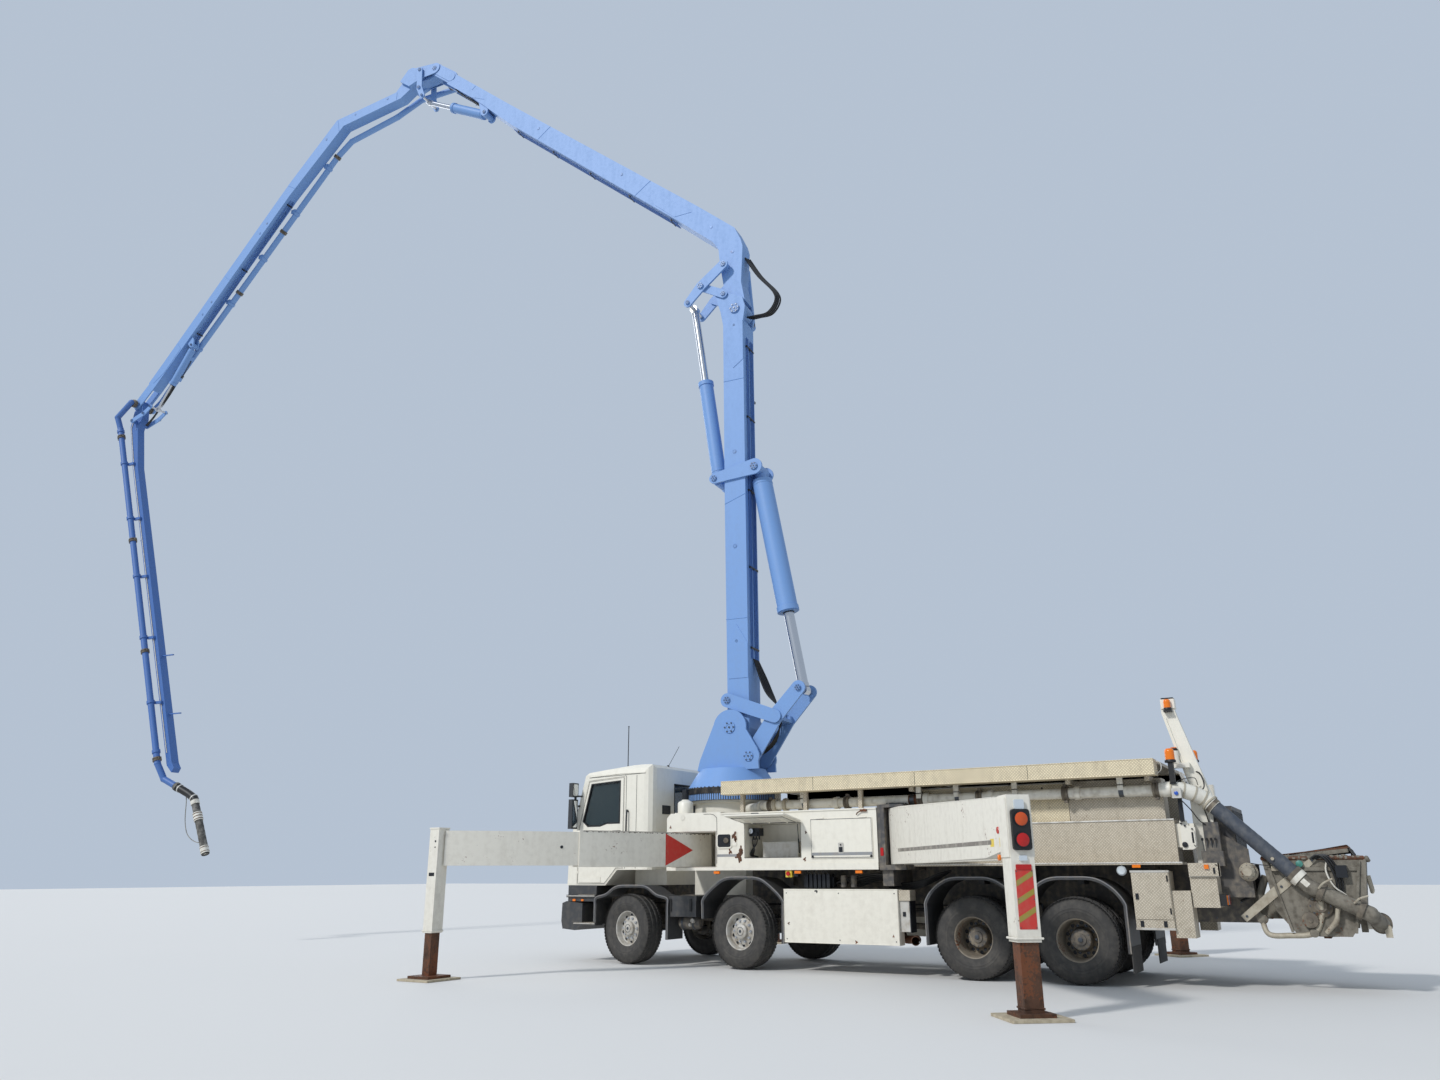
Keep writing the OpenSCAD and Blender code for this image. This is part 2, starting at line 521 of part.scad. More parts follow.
module boom_4() color([0.26, 0.46, 0.8]) boomspace() {
    difference() {
        union() {
            prof([[16930, 13240], [17210, 13040], [17260, 12600], [16870, 11350], [13900, 3720], [13720, 3560], [13660, 3660], [13760, 3790],
                  [16700, 11400], [16960, 12500], [16860, 12800]], -w4/2, w4/2);
            ybar(D, 150, -w4/2, w4/2);
        }
        ybar(D, 45.3, -w4/2 - 1, w4/2 + 1);
    }
    // pin of the last lever
    ybar(D3, 32, -234, 234);
    ybars(D3, 50, w4/2 - 1, 200);
    // pipe on the left side, joined to the tip elbow
    run([[17100, w3/2 + 25, 13200], [17100, w3/2 + 170, 13200], [17560, w3/2 + 160, 12860], [17480, w4/2 + 115, 12550], [14060, w4/2 + 115, 3760], [13900, 114, 3420], [13560, 60, 3260]], pipe_r);
    for (t = [0.01, 0.12, 0.3, 0.48, 0.66, 0.84, 0.97]) {
        clamp([17480, w4/2 + 115, 12550], [14060, w4/2 + 115, 3760], t, 88);
    }
    for (t = [0.12, 0.3, 0.48, 0.66, 0.84]) {
        p = [17480, 0, 12550] + t*[-3420, 0, -8790] + [-60, 0, 0];
        bx(p[0] - 200, p[0] + 30, w4/2 - 1, w4/2 + 60, p[2] - 30, p[2] + 30);
    }
    // hose hooks at the rear edge of section 4
    for (z = [6300, 4900]) bx(14700 - (6300 - z)*0.39 - 330, 14700 - (6300 - z)*0.39 + 60, -20, 20, z - 12, z + 12);
}
hose_pts = [[13559.7, 59.95, 3259.87], [13180, 0, 3081], [12970, 0, 2960], [12390, 0, 1790]];
module end_hose() color([0.12, 0.12, 0.12]) boomspace() difference() {
    union() {
        run(hose_pts, 78);
        clamp(hose_pts[0], hose_pts[1], 0.12, 96, 60);
        clamp(hose_pts[2], hose_pts[3], 0.05, 88, 100);
        clamp(hose_pts[2], hose_pts[3], 0.32, 92, 180);
        clamp(hose_pts[2], hose_pts[3], 0.92, 84, 180);
    }
    // outlet bore of the end hose
    rod3([12390, 0, 1790] + 400*[580, 0, 1170]/1306, [12390, 0, 1790] - 20*[580, 0, 1170]/1306, 52, 48);
}

// Levers, links and cylinders of the four boom joints
module lever(p3, p2, p4, r3, r2, r4, y0, y1, bore, eye, boss = 14) difference() {
    union() {
        flats(y0, y1) union() { link2(p3, p2, r3, r2); link2(p2, p4, r2, r4); }
        ybars(p4, eye, y1 - 1, y1 + 14);
        ybars(p2, r2*0.55, y1 - 1, y1 + boss);
    }
    ybar(p3, bore, -y1 - 20, y1 + 20);
}
module link(p1, p2, r1, r2, y0, y1, bore) difference() {
    flats(y0, y1) link2(p1, p2, r1, r2);
    ybar(p1, bore, -y1 - 5, y1 + 5);
}
module barrel(p, q, l, r, w, bore, head) {
    d = q - p;
    u = d/norm(d);
    a = p + u*(r + 20);
    b = p + u*l;
    difference() {
        union() {
            ybar(p, bore + 40, -w/2, w/2);
            rod3([p[0] + u[0]*bore, 0, p[1] + u[1]*bore], [a[0] + u[0]*60, 0, a[1] + u[1]*60], min(w/2, bore + 38), 40);
            rod3([a[0], 0, a[1]], [b[0], 0, b[1]], r, 48);
            rod3([b[0] - u[0]*head, 0, b[1] - u[1]*head], [b[0], 0, b[1]], r + 14, 48);
        }
        ybar(p, bore, -w, w);
        rod3([p[0] + u[0]*(r + 120), 0, p[1] + u[1]*(r + 120)], [b[0] + u[0]*10, 0, b[1] + u[1]*10], rod_gap(r), 40);
    }
}
function rod_gap(r) = r*0.5 + 3;
module piston(p, q, keep, r, w, eye, pin) {
    d = q - p;
    u = d/norm(d);
    union() {
        rod3([p[0] + u[0]*keep, 0, p[1] + u[1]*keep], [q[0] - u[0]*(eye + 10), 0, q[1] - u[1]*(eye + 10)], r*0.5, 40);
        ybar(q, eye + 34, -w/2, w/2);
        rod3([q[0] - u[0]*(eye + 60), 0, q[1] - u[1]*(eye + 60)], [q[0] - u[0]*eye, 0, q[1] - u[1]*eye], r*0.5 + 8, 40);
        // pin that reaches to the inner faces of the lever plates
        ybar(q, eye, -pin, pin);
    }
}
module lever_a() color([0.38, 0.6, 0.9]) boomspace() {
    lever(A3, A2, A4, 150, 130, 120, 258, 298, 54.3, 50, 5);
    bx(-1010, -800, -259, -150, 3790, 3900);
    bx(-1010, -800, 150, 259, 3790, 3900);
    bx(-1010, -800, -151, 151, 3790, 3840);
}
module link_a() color([0.38, 0.6, 0.9]) boomspace() link(A1, A2, 120, 110, 306, 336, 52.3);
module barrel_a() color([0.38, 0.6, 0.9]) boomspace() barrel(A5, A4, 2740, 180, 400, 60.3, 90);
module rod_a() color([0.8, 0.8, 0.8]) boomspace() piston(A5, A4, 1480, 180, 200, 50, 257.7);
module lever_b() color([0.38, 0.6, 0.9]) boomspace() {
    lever(B3, B2, B4, 100, 110, 85, 292, 332, 50.3, 40);
}
module link_b() color([0.38, 0.6, 0.9]) boomspace() link(B1, B2, 85, 80, 256, 286, 46.3);
module barrel_b() color([0.38, 0.6, 0.9]) boomspace() barrel(B5, B4, 2140, 135, 300, 45.3, 80);
module rod_b() color([0.8, 0.8, 0.8]) boomspace() piston(B5, B4, 1490, 140, 150, 40, 291.7);
module lever_c() color([0.38, 0.6, 0.9]) boomspace() lever(C3, C2, C4, 75, 80, 70, 252, 282, 40.3, 32);
module barrel_c() color([0.38, 0.6, 0.9]) boomspace() barrel(C5, C4, 1250, 112, 236, 34.3, 70);
module rod_c() color([0.8, 0.8, 0.8]) boomspace() piston(C5, C4, 300, 112, 100, 32, 251.7);
module lever_d() color([0.38, 0.6, 0.9]) boomspace() lever(D3, D2, D4, 60, 60, 55, 206, 232, 32.3, 26);
module barrel_d() color([0.38, 0.6, 0.9]) boomspace() barrel(D5, D4, 1150, 80, 90, 26.3, 60);
module rod_d() color([0.8, 0.8, 0.8]) boomspace() piston(D5, D4, 660, 82, 80, 26, 205.7);

// ---- outriggers ----
arc_c = [4900, 120];
module arc_box(r0, r1, a0, a1, z0, z1) intersection() {
    difference() {
        zbar(arc_c[0], arc_c[1], r1, z0, z1, 360);
        zbar(arc_c[0], arc_c[1], r0, z0 - 1, z1 + 1, 360);
    }
    translate([arc_c[0], arc_c[1], z0 - 5]) linear_extrude(z1 - z0 + 10)
        polygon([[0, 0], 9000*[cos(a0), sin(a0)], 9000*[cos((a0 + a1)/2), sin((a0 + a1)/2)], 9000*[cos(a1), sin(a1)]]);
}
// Right side copies stand behind the left ones, so the beams pass each other
module side(s) { if (s > 0) children(); else translate([-365, 0, 0]) mirror([0, 1, 0]) children(); }
module beam_outer(s) color([0.92, 0.9, 0.84]) side(s) difference() {
    arc_box(beam_r - beam_t/2, beam_r + beam_t/2, 150.5, 174.5, 1455.3, 1965);
    arc_box(beam_r - beam_t/2 + 20, beam_r + beam_t/2 - 20, 149, 176, 1475.3, 1945);
}
module beam_inner(s) color([0.92, 0.9, 0.84]) side(s) difference() {
    union() {
        arc_box(beam_r - beam_t/2 + 20.3, beam_r + beam_t/2 - 20.3, 132.5, 155.8, 1475.6, 1944.7);
        bx(805, 975, 4522, 4718, 600, 1965);
    }
    bx(827, 953, 4544, 4696, 599, 1900);
}
module front_leg(s) color([0.35, 0.22, 0.15]) side(s) {
    bx(827.3, 952.7, 4544.3, 4695.7, 60, 1320);
    bx(700, 1080, 4410, 4830, 25, 61);
    bx(610, 1170, 4320, 4920, 0, 25);
}
// Rear swing arm, drawn swung out, pivot at (-4530, 1060)
arm_p = [-4530, 1060];
module arm_place() translate([arm_p[0], arm_p[1], 0]) rotate([0, 0, 180 - arm_deg]) children();
module rear_arm(s) color([0.92, 0.9, 0.84]) mirror([0, s > 0 ? 0 : 1, 0]) arm_place() difference() {
    union() {
        translate([0, 0, 0]) prof([[0, 1470], [0, 2235], [600, 2235], [4380, 2100], [4380, 1560], [3900, 1500], [600, 1470]], -120, 120);
        zbar(0, 0, 120, 1470, 2235);
        bx(4379, 4620, -121, 121, 700, 2110);
        bx(4385, 4612, 120, 134, 1500, 2080);
        bx(4385, 4612, -134, -120, 1500, 2080);
    }
    zbar(0, 0, 64, 1460, 2245);
    bx(4403, 4597, -97, 97, 699, 2050);
}
module rear_leg(s) color([0.35, 0.22, 0.15]) mirror([0, s > 0 ? 0 : 1, 0]) arm_place() {
    bx(4403.3, 4596.7, -96.7, 96.7, 60, 1420);
    bx(4320, 4680, -180, 180, 25, 61);
    bx(4200, 4800, -300, 300, 0, 25);
}

// ---- running gear ----
// Knuckle: fork round the kingpin, with the stub axle
module knuckle_raw() {
    difference() {
        union() {
            zbar(0, 830, 62, 460, 600);
            bx(-45, 45, 840, 925, 470, 590);
            translate([0, 1120, tyre_r]) rotate([90, 0, 0]) cylinder(r = 48, h = 222);
            // brake drum back plate
            translate([0, 925, tyre_r]) rotate([90, 0, 0]) cylinder(r = 190, h = 20);
        }
        zbar(0, 830, 34.3, 450, 610);
    }
}
module steer_place(x, s, ang) translate([x, 0, 0]) translate([0, s*830, 0]) rotate([0, 0, -ang]) translate([0, -s*830, 0]) mirror([0, s > 0 ? 0 : 1, 0]) children();
module knuckle(i) color([0.14, 0.14, 0.15]) steer_place(i < 2 ? 0 : -axle2_back, i % 2 == 0 ? 1 : -1, i < 2 ? steer1 : steer2) knuckle_raw();
// Wheel profile turned round Y: radius and place across, outer face at y1
module turned(pts, n = 72) translate([0, 0, tyre_r]) rotate([-90, 0, 0]) rotate_extrude($fn = n) polygon(pts);
module wheel_single() color([0.15, 0.15, 0.15]) turned([
    [48.3, 985], [48.3, 1125], [120, 1135], [130, 1110], [235, 1080], [262, 1150], [262, 1205], [295, 1232], [330, 1240], [440, 1250], [500, 1238],
    [524, 1215], [530, 1180], [530, 940], [524, 905], [500, 882], [440, 870], [330, 880], [295, 888], [262, 900], [255, 1040], [200, 1060], [200, 985]]);
module wheel_twin() color([0.15, 0.15, 0.15]) turned([
    [75.3, 760], [75.3, 1010], [140, 1010], [150, 905], [235, 880], [262, 960], [262, 1190], [295, 1205], [330, 1235], [440, 1250], [500, 1240], [522, 1222],
    [530, 1195], [530, 995], [522, 968], [500, 950], [440, 940], [330, 950], [300, 940], [300, 905], [330, 895], [440, 905], [500, 895], [522, 877],
    [530, 850], [530, 650], [522, 623], [500, 605], [440, 595], [330, 605], [295, 620], [262, 640], [255, 830], [130, 850], [130, 760]]);
module wheel(i) {
    s = i % 2 == 0 ? 1 : -1;
    k = floor(i/2);
    if (k == 0) steer_place(0, s, steer1) wheel_single();
    if (k == 1) steer_place(-axle2_back, s, steer2) wheel_single();
    if (k > 1) translate([k == 2 ? -axle3_back : -axle4_back, 0, 0]) mirror([0, s > 0 ? 0 : 1, 0]) wheel_twin();
}

translate([shift_x, 0, 0]) {
    chassis();
    axles();
    cab_shell();
    cab_interior();
    front_end();
    mudguards();
    locker_cabinet();
    deck_cabinets();
    walkways();
    pedestal();
    hopper();
    pump_unit();
    delivery_line();
    door(1);  // door_left
    door(-1);  // door_right
    locker_lid();
    turret();
    boom_1();
    boom_2();
    boom_3();
    boom_4();
    end_hose();
    lever_a();
    link_a();
    lever_b();
    link_b();
    lever_c();
    lever_d();
    barrel_a();
    rod_a();
    barrel_b();
    rod_b();
    barrel_c();
    rod_c();
    barrel_d();
    rod_d();
    beam_outer(1);  // beam_outer_left
    beam_outer(-1);  // beam_outer_right
    beam_inner(1);  // beam_inner_left
    beam_inner(-1);  // beam_inner_right
    front_leg(1);  // front_leg_left
    front_leg(-1);  // front_leg_right
    rear_arm(1);  // rear_arm_left
    rear_arm(-1);  // rear_arm_right
    rear_leg(1);  // rear_leg_left
    rear_leg(-1);  // rear_leg_right
    knuckle(0);  // knuckle_1_left
    knuckle(1);  // knuckle_1_right
    knuckle(2);  // knuckle_2_left
    knuckle(3);  // knuckle_2_right
    wheel(0);  // wheel_1_left
    wheel(1);  // wheel_1_right
    wheel(2);  // wheel_2_left
    wheel(3);  // wheel_2_right
    wheel(4);  // wheel_3_left
    wheel(5);  // wheel_3_right
    wheel(6);  // wheel_4_left
    wheel(7);  // wheel_4_right
}
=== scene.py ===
"""Looks of the concrete pump truck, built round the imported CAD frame. Metres, +X forward, +Y left, +Z up."""
import math
import bmesh
import bpy
import numpy as np
from mathutils import Matrix


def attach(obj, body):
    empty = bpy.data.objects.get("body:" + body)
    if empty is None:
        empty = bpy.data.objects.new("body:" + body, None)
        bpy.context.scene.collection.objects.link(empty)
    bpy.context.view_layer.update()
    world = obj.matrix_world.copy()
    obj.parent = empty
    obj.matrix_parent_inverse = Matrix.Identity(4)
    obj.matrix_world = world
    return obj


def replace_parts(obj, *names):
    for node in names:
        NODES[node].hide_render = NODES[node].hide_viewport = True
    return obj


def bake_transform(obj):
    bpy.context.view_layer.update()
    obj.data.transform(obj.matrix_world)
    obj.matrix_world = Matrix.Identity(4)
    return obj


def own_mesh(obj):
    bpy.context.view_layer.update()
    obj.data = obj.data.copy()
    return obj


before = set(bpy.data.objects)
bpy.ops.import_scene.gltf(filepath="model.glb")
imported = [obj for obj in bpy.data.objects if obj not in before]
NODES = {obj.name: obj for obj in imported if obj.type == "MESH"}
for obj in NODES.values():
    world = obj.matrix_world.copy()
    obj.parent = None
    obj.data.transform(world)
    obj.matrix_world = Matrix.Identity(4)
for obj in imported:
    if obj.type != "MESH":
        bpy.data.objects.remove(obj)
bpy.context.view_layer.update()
SHIFT = -2.91                       # truck frame (axle 1 at x = 0) to row frame
SLEW = math.radians(6.0)            # boom slewed to the left
TURRET_X = -1.19                    # turret axis in the truck frame
SLEW_X = SHIFT + TURRET_X
SIGN = {"left": 1, "right": -1}


# ---------------------------------------------------------------- shapes
def boom(s, z, lat=0.0):
    """Row-frame point of boom-plane place s (forward), z (up), lat (left), in metres."""
    c, n = math.cos(SLEW), math.sin(SLEW)
    return np.array([SLEW_X + s * c - lat * n, s * n + lat * c, z])


def truck(x, y, z):
    """Row-frame point of a truck-frame point."""
    return np.array([x + SHIFT, y, z])


BOOM_S = boom(1, 0) - boom(0, 0)
BOOM_N = boom(0, 0, 1) - boom(0, 0)
UP = np.array([0.0, 0.0, 1.0])
X, Y = np.array([1.0, 0, 0]), np.array([0, 1.0, 0])


def grid(points, close_u=False, close_v=False):
    """Quads over a table of points P[u, v]; a closed direction wraps round."""
    nu, nv = points.shape[:2]
    i = np.arange(nu if close_u else nu - 1)
    j = np.arange(nv if close_v else nv - 1)
    i, j = np.meshgrid(i, j, indexing="ij")
    i2, j2 = (i + 1) % nu, (j + 1) % nv
    quads = np.stack([i * nv + j, i2 * nv + j, i2 * nv + j2, i * nv + j2], -1).reshape(-1, 4)
    return points.reshape(-1, 3), quads


def basis(axis):
    """Two unit vectors square to axis and to each other."""
    a = np.asarray(axis, float) / np.linalg.norm(axis)
    h = UP if abs(a[2]) < 0.9 else X
    e1 = np.cross(h, a)
    e1 /= np.linalg.norm(e1)
    return a, e1, np.cross(a, e1)


def lathe(profile, centre, axis, n):
    """P(u, v) = centre + axis h(v) + r(v) (e1 cos u + e2 sin u), the profile being pairs (r, h)."""
    a, e1, e2 = basis(axis)
    p = np.asarray(profile, float)
    u = np.linspace(0, 2 * np.pi, n, endpoint=False)[:, None, None]
    pts = centre + a * p[None, :, 1:2] + p[None, :, 0:1] * (e1 * np.cos(u) + e2 * np.sin(u))
    return grid(pts, close_u=True)


def disc(centre, axis, r, h, n, dome=0.0):
    """Capped disc: the profile runs from the middle of the far face out, over the rim and back."""
    return lathe([(1e-4, h + dome), (r * 0.8, h + dome * 0.4), (r * 0.97, h), (r, h * 0.8), (r, 0), (1e-4, 0)],
            centre, axis, n)


def ring(centre, axis, r0, r1, h, n):
    """Flat washer of inner radius r0, outer radius r1 and height h."""
    return lathe([(r0, 0), (r0, h), (r1, h), (r1, 0), (r0, 0)], centre, axis, n)


def smooth_path(pts, step):
    """Catmull-Rom curve through the points, step samples a span."""
    p = np.asarray(pts, float)
    q = np.vstack([2 * p[0] - p[1], p, 2 * p[-1] - p[-2]])
    t = np.linspace(0, 1, step, endpoint=False)[:, None]
    a, b, c, d = q[:-3, None], q[1:-2, None], q[2:-1, None], q[3:, None]
    w = 0.5 * (2 * b + (c - a) * t + (2 * a - 5 * b + 4 * c - d) * t**2 + (3 * b - a - 3 * c + d) * t**3)
    return np.vstack([w.reshape(-1, 3), p[-1]])


END_R = 1e-4                        # radius at which a bar is closed


def sweep(path, r, n):
    """P(u, v) = path(v) + r(v) (N cos u + B sin u), N and B carried along the path without twist."""
    p = np.asarray(path, float)
    tan = np.gradient(p, axis=0)
    tan /= np.linalg.norm(tan, axis=1)[:, None]
    _, e1, _ = basis(tan[0])
    frames = []
    for t in tan:
        e1 = e1 - t * np.dot(e1, t)
        e1 = e1 / np.linalg.norm(e1)
        frames.append((e1, np.cross(t, e1)))
    e = np.array(frames)
    rr = np.broadcast_to(np.asarray(r, float), (len(p),))
    p = np.vstack([p[:1], p, p[-1:]])
    e = np.concatenate([e[:1], e, e[-1:]])
    rr = np.concatenate([[END_R], rr, [END_R]])
    u = np.linspace(0, 2 * np.pi, n, endpoint=False)[None, :, None]
    pts = p[:, None] + rr[:, None, None] * (e[:, None, 0] * np.cos(u) + e[:, None, 1] * np.sin(u))
    return grid(pts, close_v=True)


def slab(outline, origin, ex, ey, ez, depth):
    """Closed prism: outline pairs (a, b) give origin + a ex + b ey, extruded by depth along ez."""
    o = np.asarray(outline, float)
    base = origin + o[:, :1] * ex + o[:, 1:] * ey
    n = len(o)
    v = np.vstack([base, base + depth * np.asarray(ez, float)])
    i = np.arange(n)
    j = (i + 1) % n
    faces = [list(range(n))[::-1], [int(k) + n for k in range(n)]]
    return v, faces + np.stack([i, j, j + n, i + n], -1).tolist()


def box(lo, hi):
    """Box between two corners, row frame."""
    lo, hi = np.asarray(lo, float), np.asarray(hi, float)
    d = hi - lo
    return slab([(0, 0), (d[0], 0), (d[0], d[1]), (0, d[1])], lo, X, Y, UP, d[2])


def span(sg, a, b):
    """The two y values of a box that lies between sg a and sg b, the lower one first."""
    return min(sg * a, sg * b), max(sg * a, sg * b)


def tbox(x0, x1, y0, y1, z0, z1):
    """Box in the truck frame."""
    return box(truck(x0, y0, z0), truck(x1, y1, z1))


def rounded(w, h, r, k=4, at=(0, 0)):
    """Outline of a rectangle w by h about the place at, corner radius r."""
    a = np.linspace(0, np.pi / 2, k + 1)
    out = []
    for cx, cy, s in ((w / 2 - r, h / 2 - r, 0), (r - w / 2, h / 2 - r, 1), (r - w / 2, r - h / 2, 2),
            (w / 2 - r, r - h / 2, 3)):
        out += [(cx + r * math.cos(t + s * np.pi / 2), cy + r * math.sin(t + s * np.pi / 2)) for t in a]
    return np.array(out) + np.array(at)


def join(parts):
    """One vertex table and one face list from several shapes."""
    vs, fs, k = [], [], 0
    for v, f in parts:
        vs.append(v)
        fs += [[int(i) + k for i in face] for face in (f.tolist() if isinstance(f, np.ndarray) else f)]
        k += len(v)
    return np.vstack(vs), fs


def piece(name, parts, material, body="truck", smooth=False):
    v, f = join(parts)
    me = bpy.data.meshes.new(name)
    me.from_pydata(v.tolist(), [], f)
    me.validate()
    bm = bmesh.new()
    bm.from_mesh(me)
    bmesh.ops.recalc_face_normals(bm, faces=bm.faces)
    bm.to_mesh(me)
    bm.free()
    me.polygons.foreach_set("use_smooth", [smooth] * len(me.polygons))
    ob = bpy.data.objects.new(name, me)
    bpy.context.scene.collection.objects.link(ob)
    me.materials.append(material)
    if smooth:
        mod = ob.modifiers.new("split", "EDGE_SPLIT")
        mod.split_angle = math.radians(38)
    if isinstance(body, str):
        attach(ob, body)
    else:
        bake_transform(ob)
    return ob


# ---------------------------------------------------------------- materials
def socket_group(name, inputs, outputs):
    """Empty node group with the given inputs (name, type, default) and outputs (name, type)."""
    g = bpy.data.node_groups.new(name, "ShaderNodeTree")
    for n, t, d in inputs:
        s = g.interface.new_socket(n, in_out="INPUT", socket_type=t)
        if d is not None:
            s.default_value = d
    for n, t in outputs:
        g.interface.new_socket(n, in_out="OUTPUT", socket_type=t)
    return g, g.nodes.new("NodeGroupInput"), g.nodes.new("NodeGroupOutput")


def feed(tree, node, inputs):
    """Sets a node's inputs: each value is a constant or the output socket that drives it."""
    for key, value in inputs.items():
        if isinstance(value, bpy.types.NodeSocket):
            tree.links.new(value, node.inputs[key])
        else:
            node.inputs[key].default_value = value


def add(tree, kind, inputs=None, **settings):
    """Adds a shader node with its settings, then its inputs."""
    node = tree.nodes.new("ShaderNode" + kind)
    for key, value in settings.items():
        setattr(node, key, value)
    feed(tree, node, inputs or {})
    return node


def calc(tree, operation, *terms, clamp=False):
    """Output of a math node over sockets and numbers."""
    return add(tree, "Math", dict(enumerate(terms)), operation=operation, use_clamp=clamp).outputs[0]


def noise(tree, scale, detail, place):
    """Value of a noise texture."""
    return add(tree, "TexNoise", {"Scale": scale, "Detail": detail, "Vector": place}).outputs["Fac"]


def object_place(tree):
    """Object coordinates of the point that is shaded."""
    return add(tree, "TexCoord").outputs["Object"]


def weather_group():
    """Dust that thickens low down, streaks and blotches: gives a colour, a dust mask and a roughness."""
    g, gi, go = socket_group(
        "weather",
        [("Paint", "NodeSocketColor", (0.5, 0.5, 0.5, 1)), ("Dirt", "NodeSocketColor", (0.3, 0.25, 0.2, 1)),
         ("Amount", "NodeSocketFloat", 0.3), ("Low", "NodeSocketFloat", 0.3), ("Rough", "NodeSocketFloat", 0.35)],
        [("Color", "NodeSocketColor"), ("Mask", "NodeSocketFloat"), ("Roughness", "NodeSocketFloat")])
    place = object_place(g)
    streaks = noise(g, 2.2, 8, add(g, "Mapping", {0: place, "Scale": (5, 5, 0.7)}).outputs[0])
    blotches = noise(g, 14, 6, place)
    height = add(g, "SeparateXYZ", {0: place}).outputs["Z"]
    lowness = add(g, "MapRange", {"From Min": 2.2, "From Max": 0.2, "Value": height}).outputs[0]
    ramp = add(g, "MapRange", {"From Min": 0.2, "From Max": 0.42,
            "Value": calc(g, "MULTIPLY", streaks, blotches)}).outputs[0]
    mask = calc(g, "MULTIPLY_ADD", calc(g, "MULTIPLY", lowness, gi.outputs["Low"]), blotches,
                calc(g, "MULTIPLY", ramp, gi.outputs["Amount"]), clamp=True)
    colour = add(g, "Mix", {"Factor": mask, "A": gi.outputs["Paint"], "B": gi.outputs["Dirt"]}, data_type="RGBA")
    rough = add(g, "Mix", {"Factor": mask, "A": gi.outputs["Rough"], "B": 0.85})
    feed(g, go, {"Color": colour.outputs["Result"], "Mask": mask, "Roughness": rough.outputs["Result"]})
    return g


def rust_group():
    """Rust freckles where a fine and a coarse noise are both high: gives a colour over the one put in."""
    g, gi, go = socket_group("rust",
            [("Base", "NodeSocketColor", (0.5, 0.5, 0.5, 1)), ("Amount", "NodeSocketFloat", 0.3)],
            [("Color", "NodeSocketColor"), ("Mask", "NodeSocketFloat")])
    place = object_place(g)
    height = calc(g, "MULTIPLY_ADD", gi.outputs["Amount"], 0.6,
            calc(g, "ADD", noise(g, 3.1, 4, place), noise(g, 38, 5, place)))
    mask = add(g, "MapRange", {"From Min": 1.32, "From Max": 1.42, "Value": height}).outputs[0]
    colour = add(g, "Mix", {"B": (0.16, 0.055, 0.022, 1), "Factor": mask, "A": gi.outputs["Base"]}, data_type="RGBA")
    feed(g, go, {"Color": colour.outputs["Result"], "Mask": mask})
    return g


def chequer_group():
    """Raised bars of chequer plate: in the turned coordinates u = (x + y + z) / s and v = (x - y - z) / s, cells of odd
    floor(u) + floor(v) carry a bar along v and the others one along u; the output is 1 on a bar and 0 off it."""
    g, gi, go = socket_group("chequer_bars", [("Size", "NodeSocketFloat", 0.04)], [("Mask", "NodeSocketFloat")])
    half_width, half_length = 0.13, 0.42

    def op(kind, *terms):
        return calc(g, kind, *terms)

    x, y, z = (add(g, "SeparateXYZ", {0: object_place(g)}).outputs[k] for k in "XYZ")
    h = op("ADD", y, z)
    u, v = (op("DIVIDE", op(kind, x, h), gi.outputs["Size"]) for kind in ("ADD", "SUBTRACT"))
    fu, fv = (op("ABSOLUTE", op("SUBTRACT", op("FRACT", c), 0.5)) for c in (u, v))
    odd = op("MODULO", op("ABSOLUTE", op("ADD", op("FLOOR", u), op("FLOOR", v))), 2.0)
    bar_u = op("MULTIPLY", op("LESS_THAN", fv, half_width), op("LESS_THAN", fu, half_length))
    bar_v = op("MULTIPLY", op("LESS_THAN", fu, half_width), op("LESS_THAN", fv, half_length))
    feed(g, go, {"Mask": op("ADD", op("MULTIPLY", bar_v, odd), op("MULTIPLY", bar_u, op("SUBTRACT", 1.0, odd)))})
    return g


WEATHER, RUST, CHEQUER = weather_group(), rust_group(), chequer_group()


def srgb(r, g, b):
    """Linear colour of an sRGB one given in 0 to 255."""
    c = np.array([r, g, b]) / 255
    c = np.where(c <= 0.04045, c / 12.92, ((c + 0.055) / 1.055) ** 2.4)
    return (*[float(v) for v in c], 1.0)


def new_material(name):
    """A material, its node tree and its Principled shader."""
    m = bpy.data.materials.new(name)
    m.use_nodes = True
    return m, m.node_tree, m.node_tree.nodes["Principled BSDF"]


def paint(name, rgb, rough, metal, dirt, low, rust=0.0, coat=0.0, soil=(150, 138, 120), bump=0.0, scale=40):
    """Painted or bare surface with weather, rust freckles and a fine bump."""
    m, tree, shader = new_material(name)
    weather = add(tree, "Group", {"Paint": srgb(*rgb), "Dirt": srgb(*soil), "Amount": dirt, "Low": low, "Rough": rough},
                  node_tree=WEATHER)
    colour = weather.outputs["Color"]
    if rust:
        colour = add(tree, "Group", {"Amount": rust, "Base": colour}, node_tree=RUST).outputs["Color"]
    feed(tree, shader, {"Base Color": colour, "Roughness": weather.outputs["Roughness"], "Metallic": metal,
            "Coat Weight": coat})
    if bump:
        grain = noise(tree, scale, 6, object_place(tree))
        relief = add(tree, "Bump", {"Strength": bump, "Distance": 0.01, "Height": grain})
        feed(tree, shader, {"Normal": relief.outputs[0]})
    return m


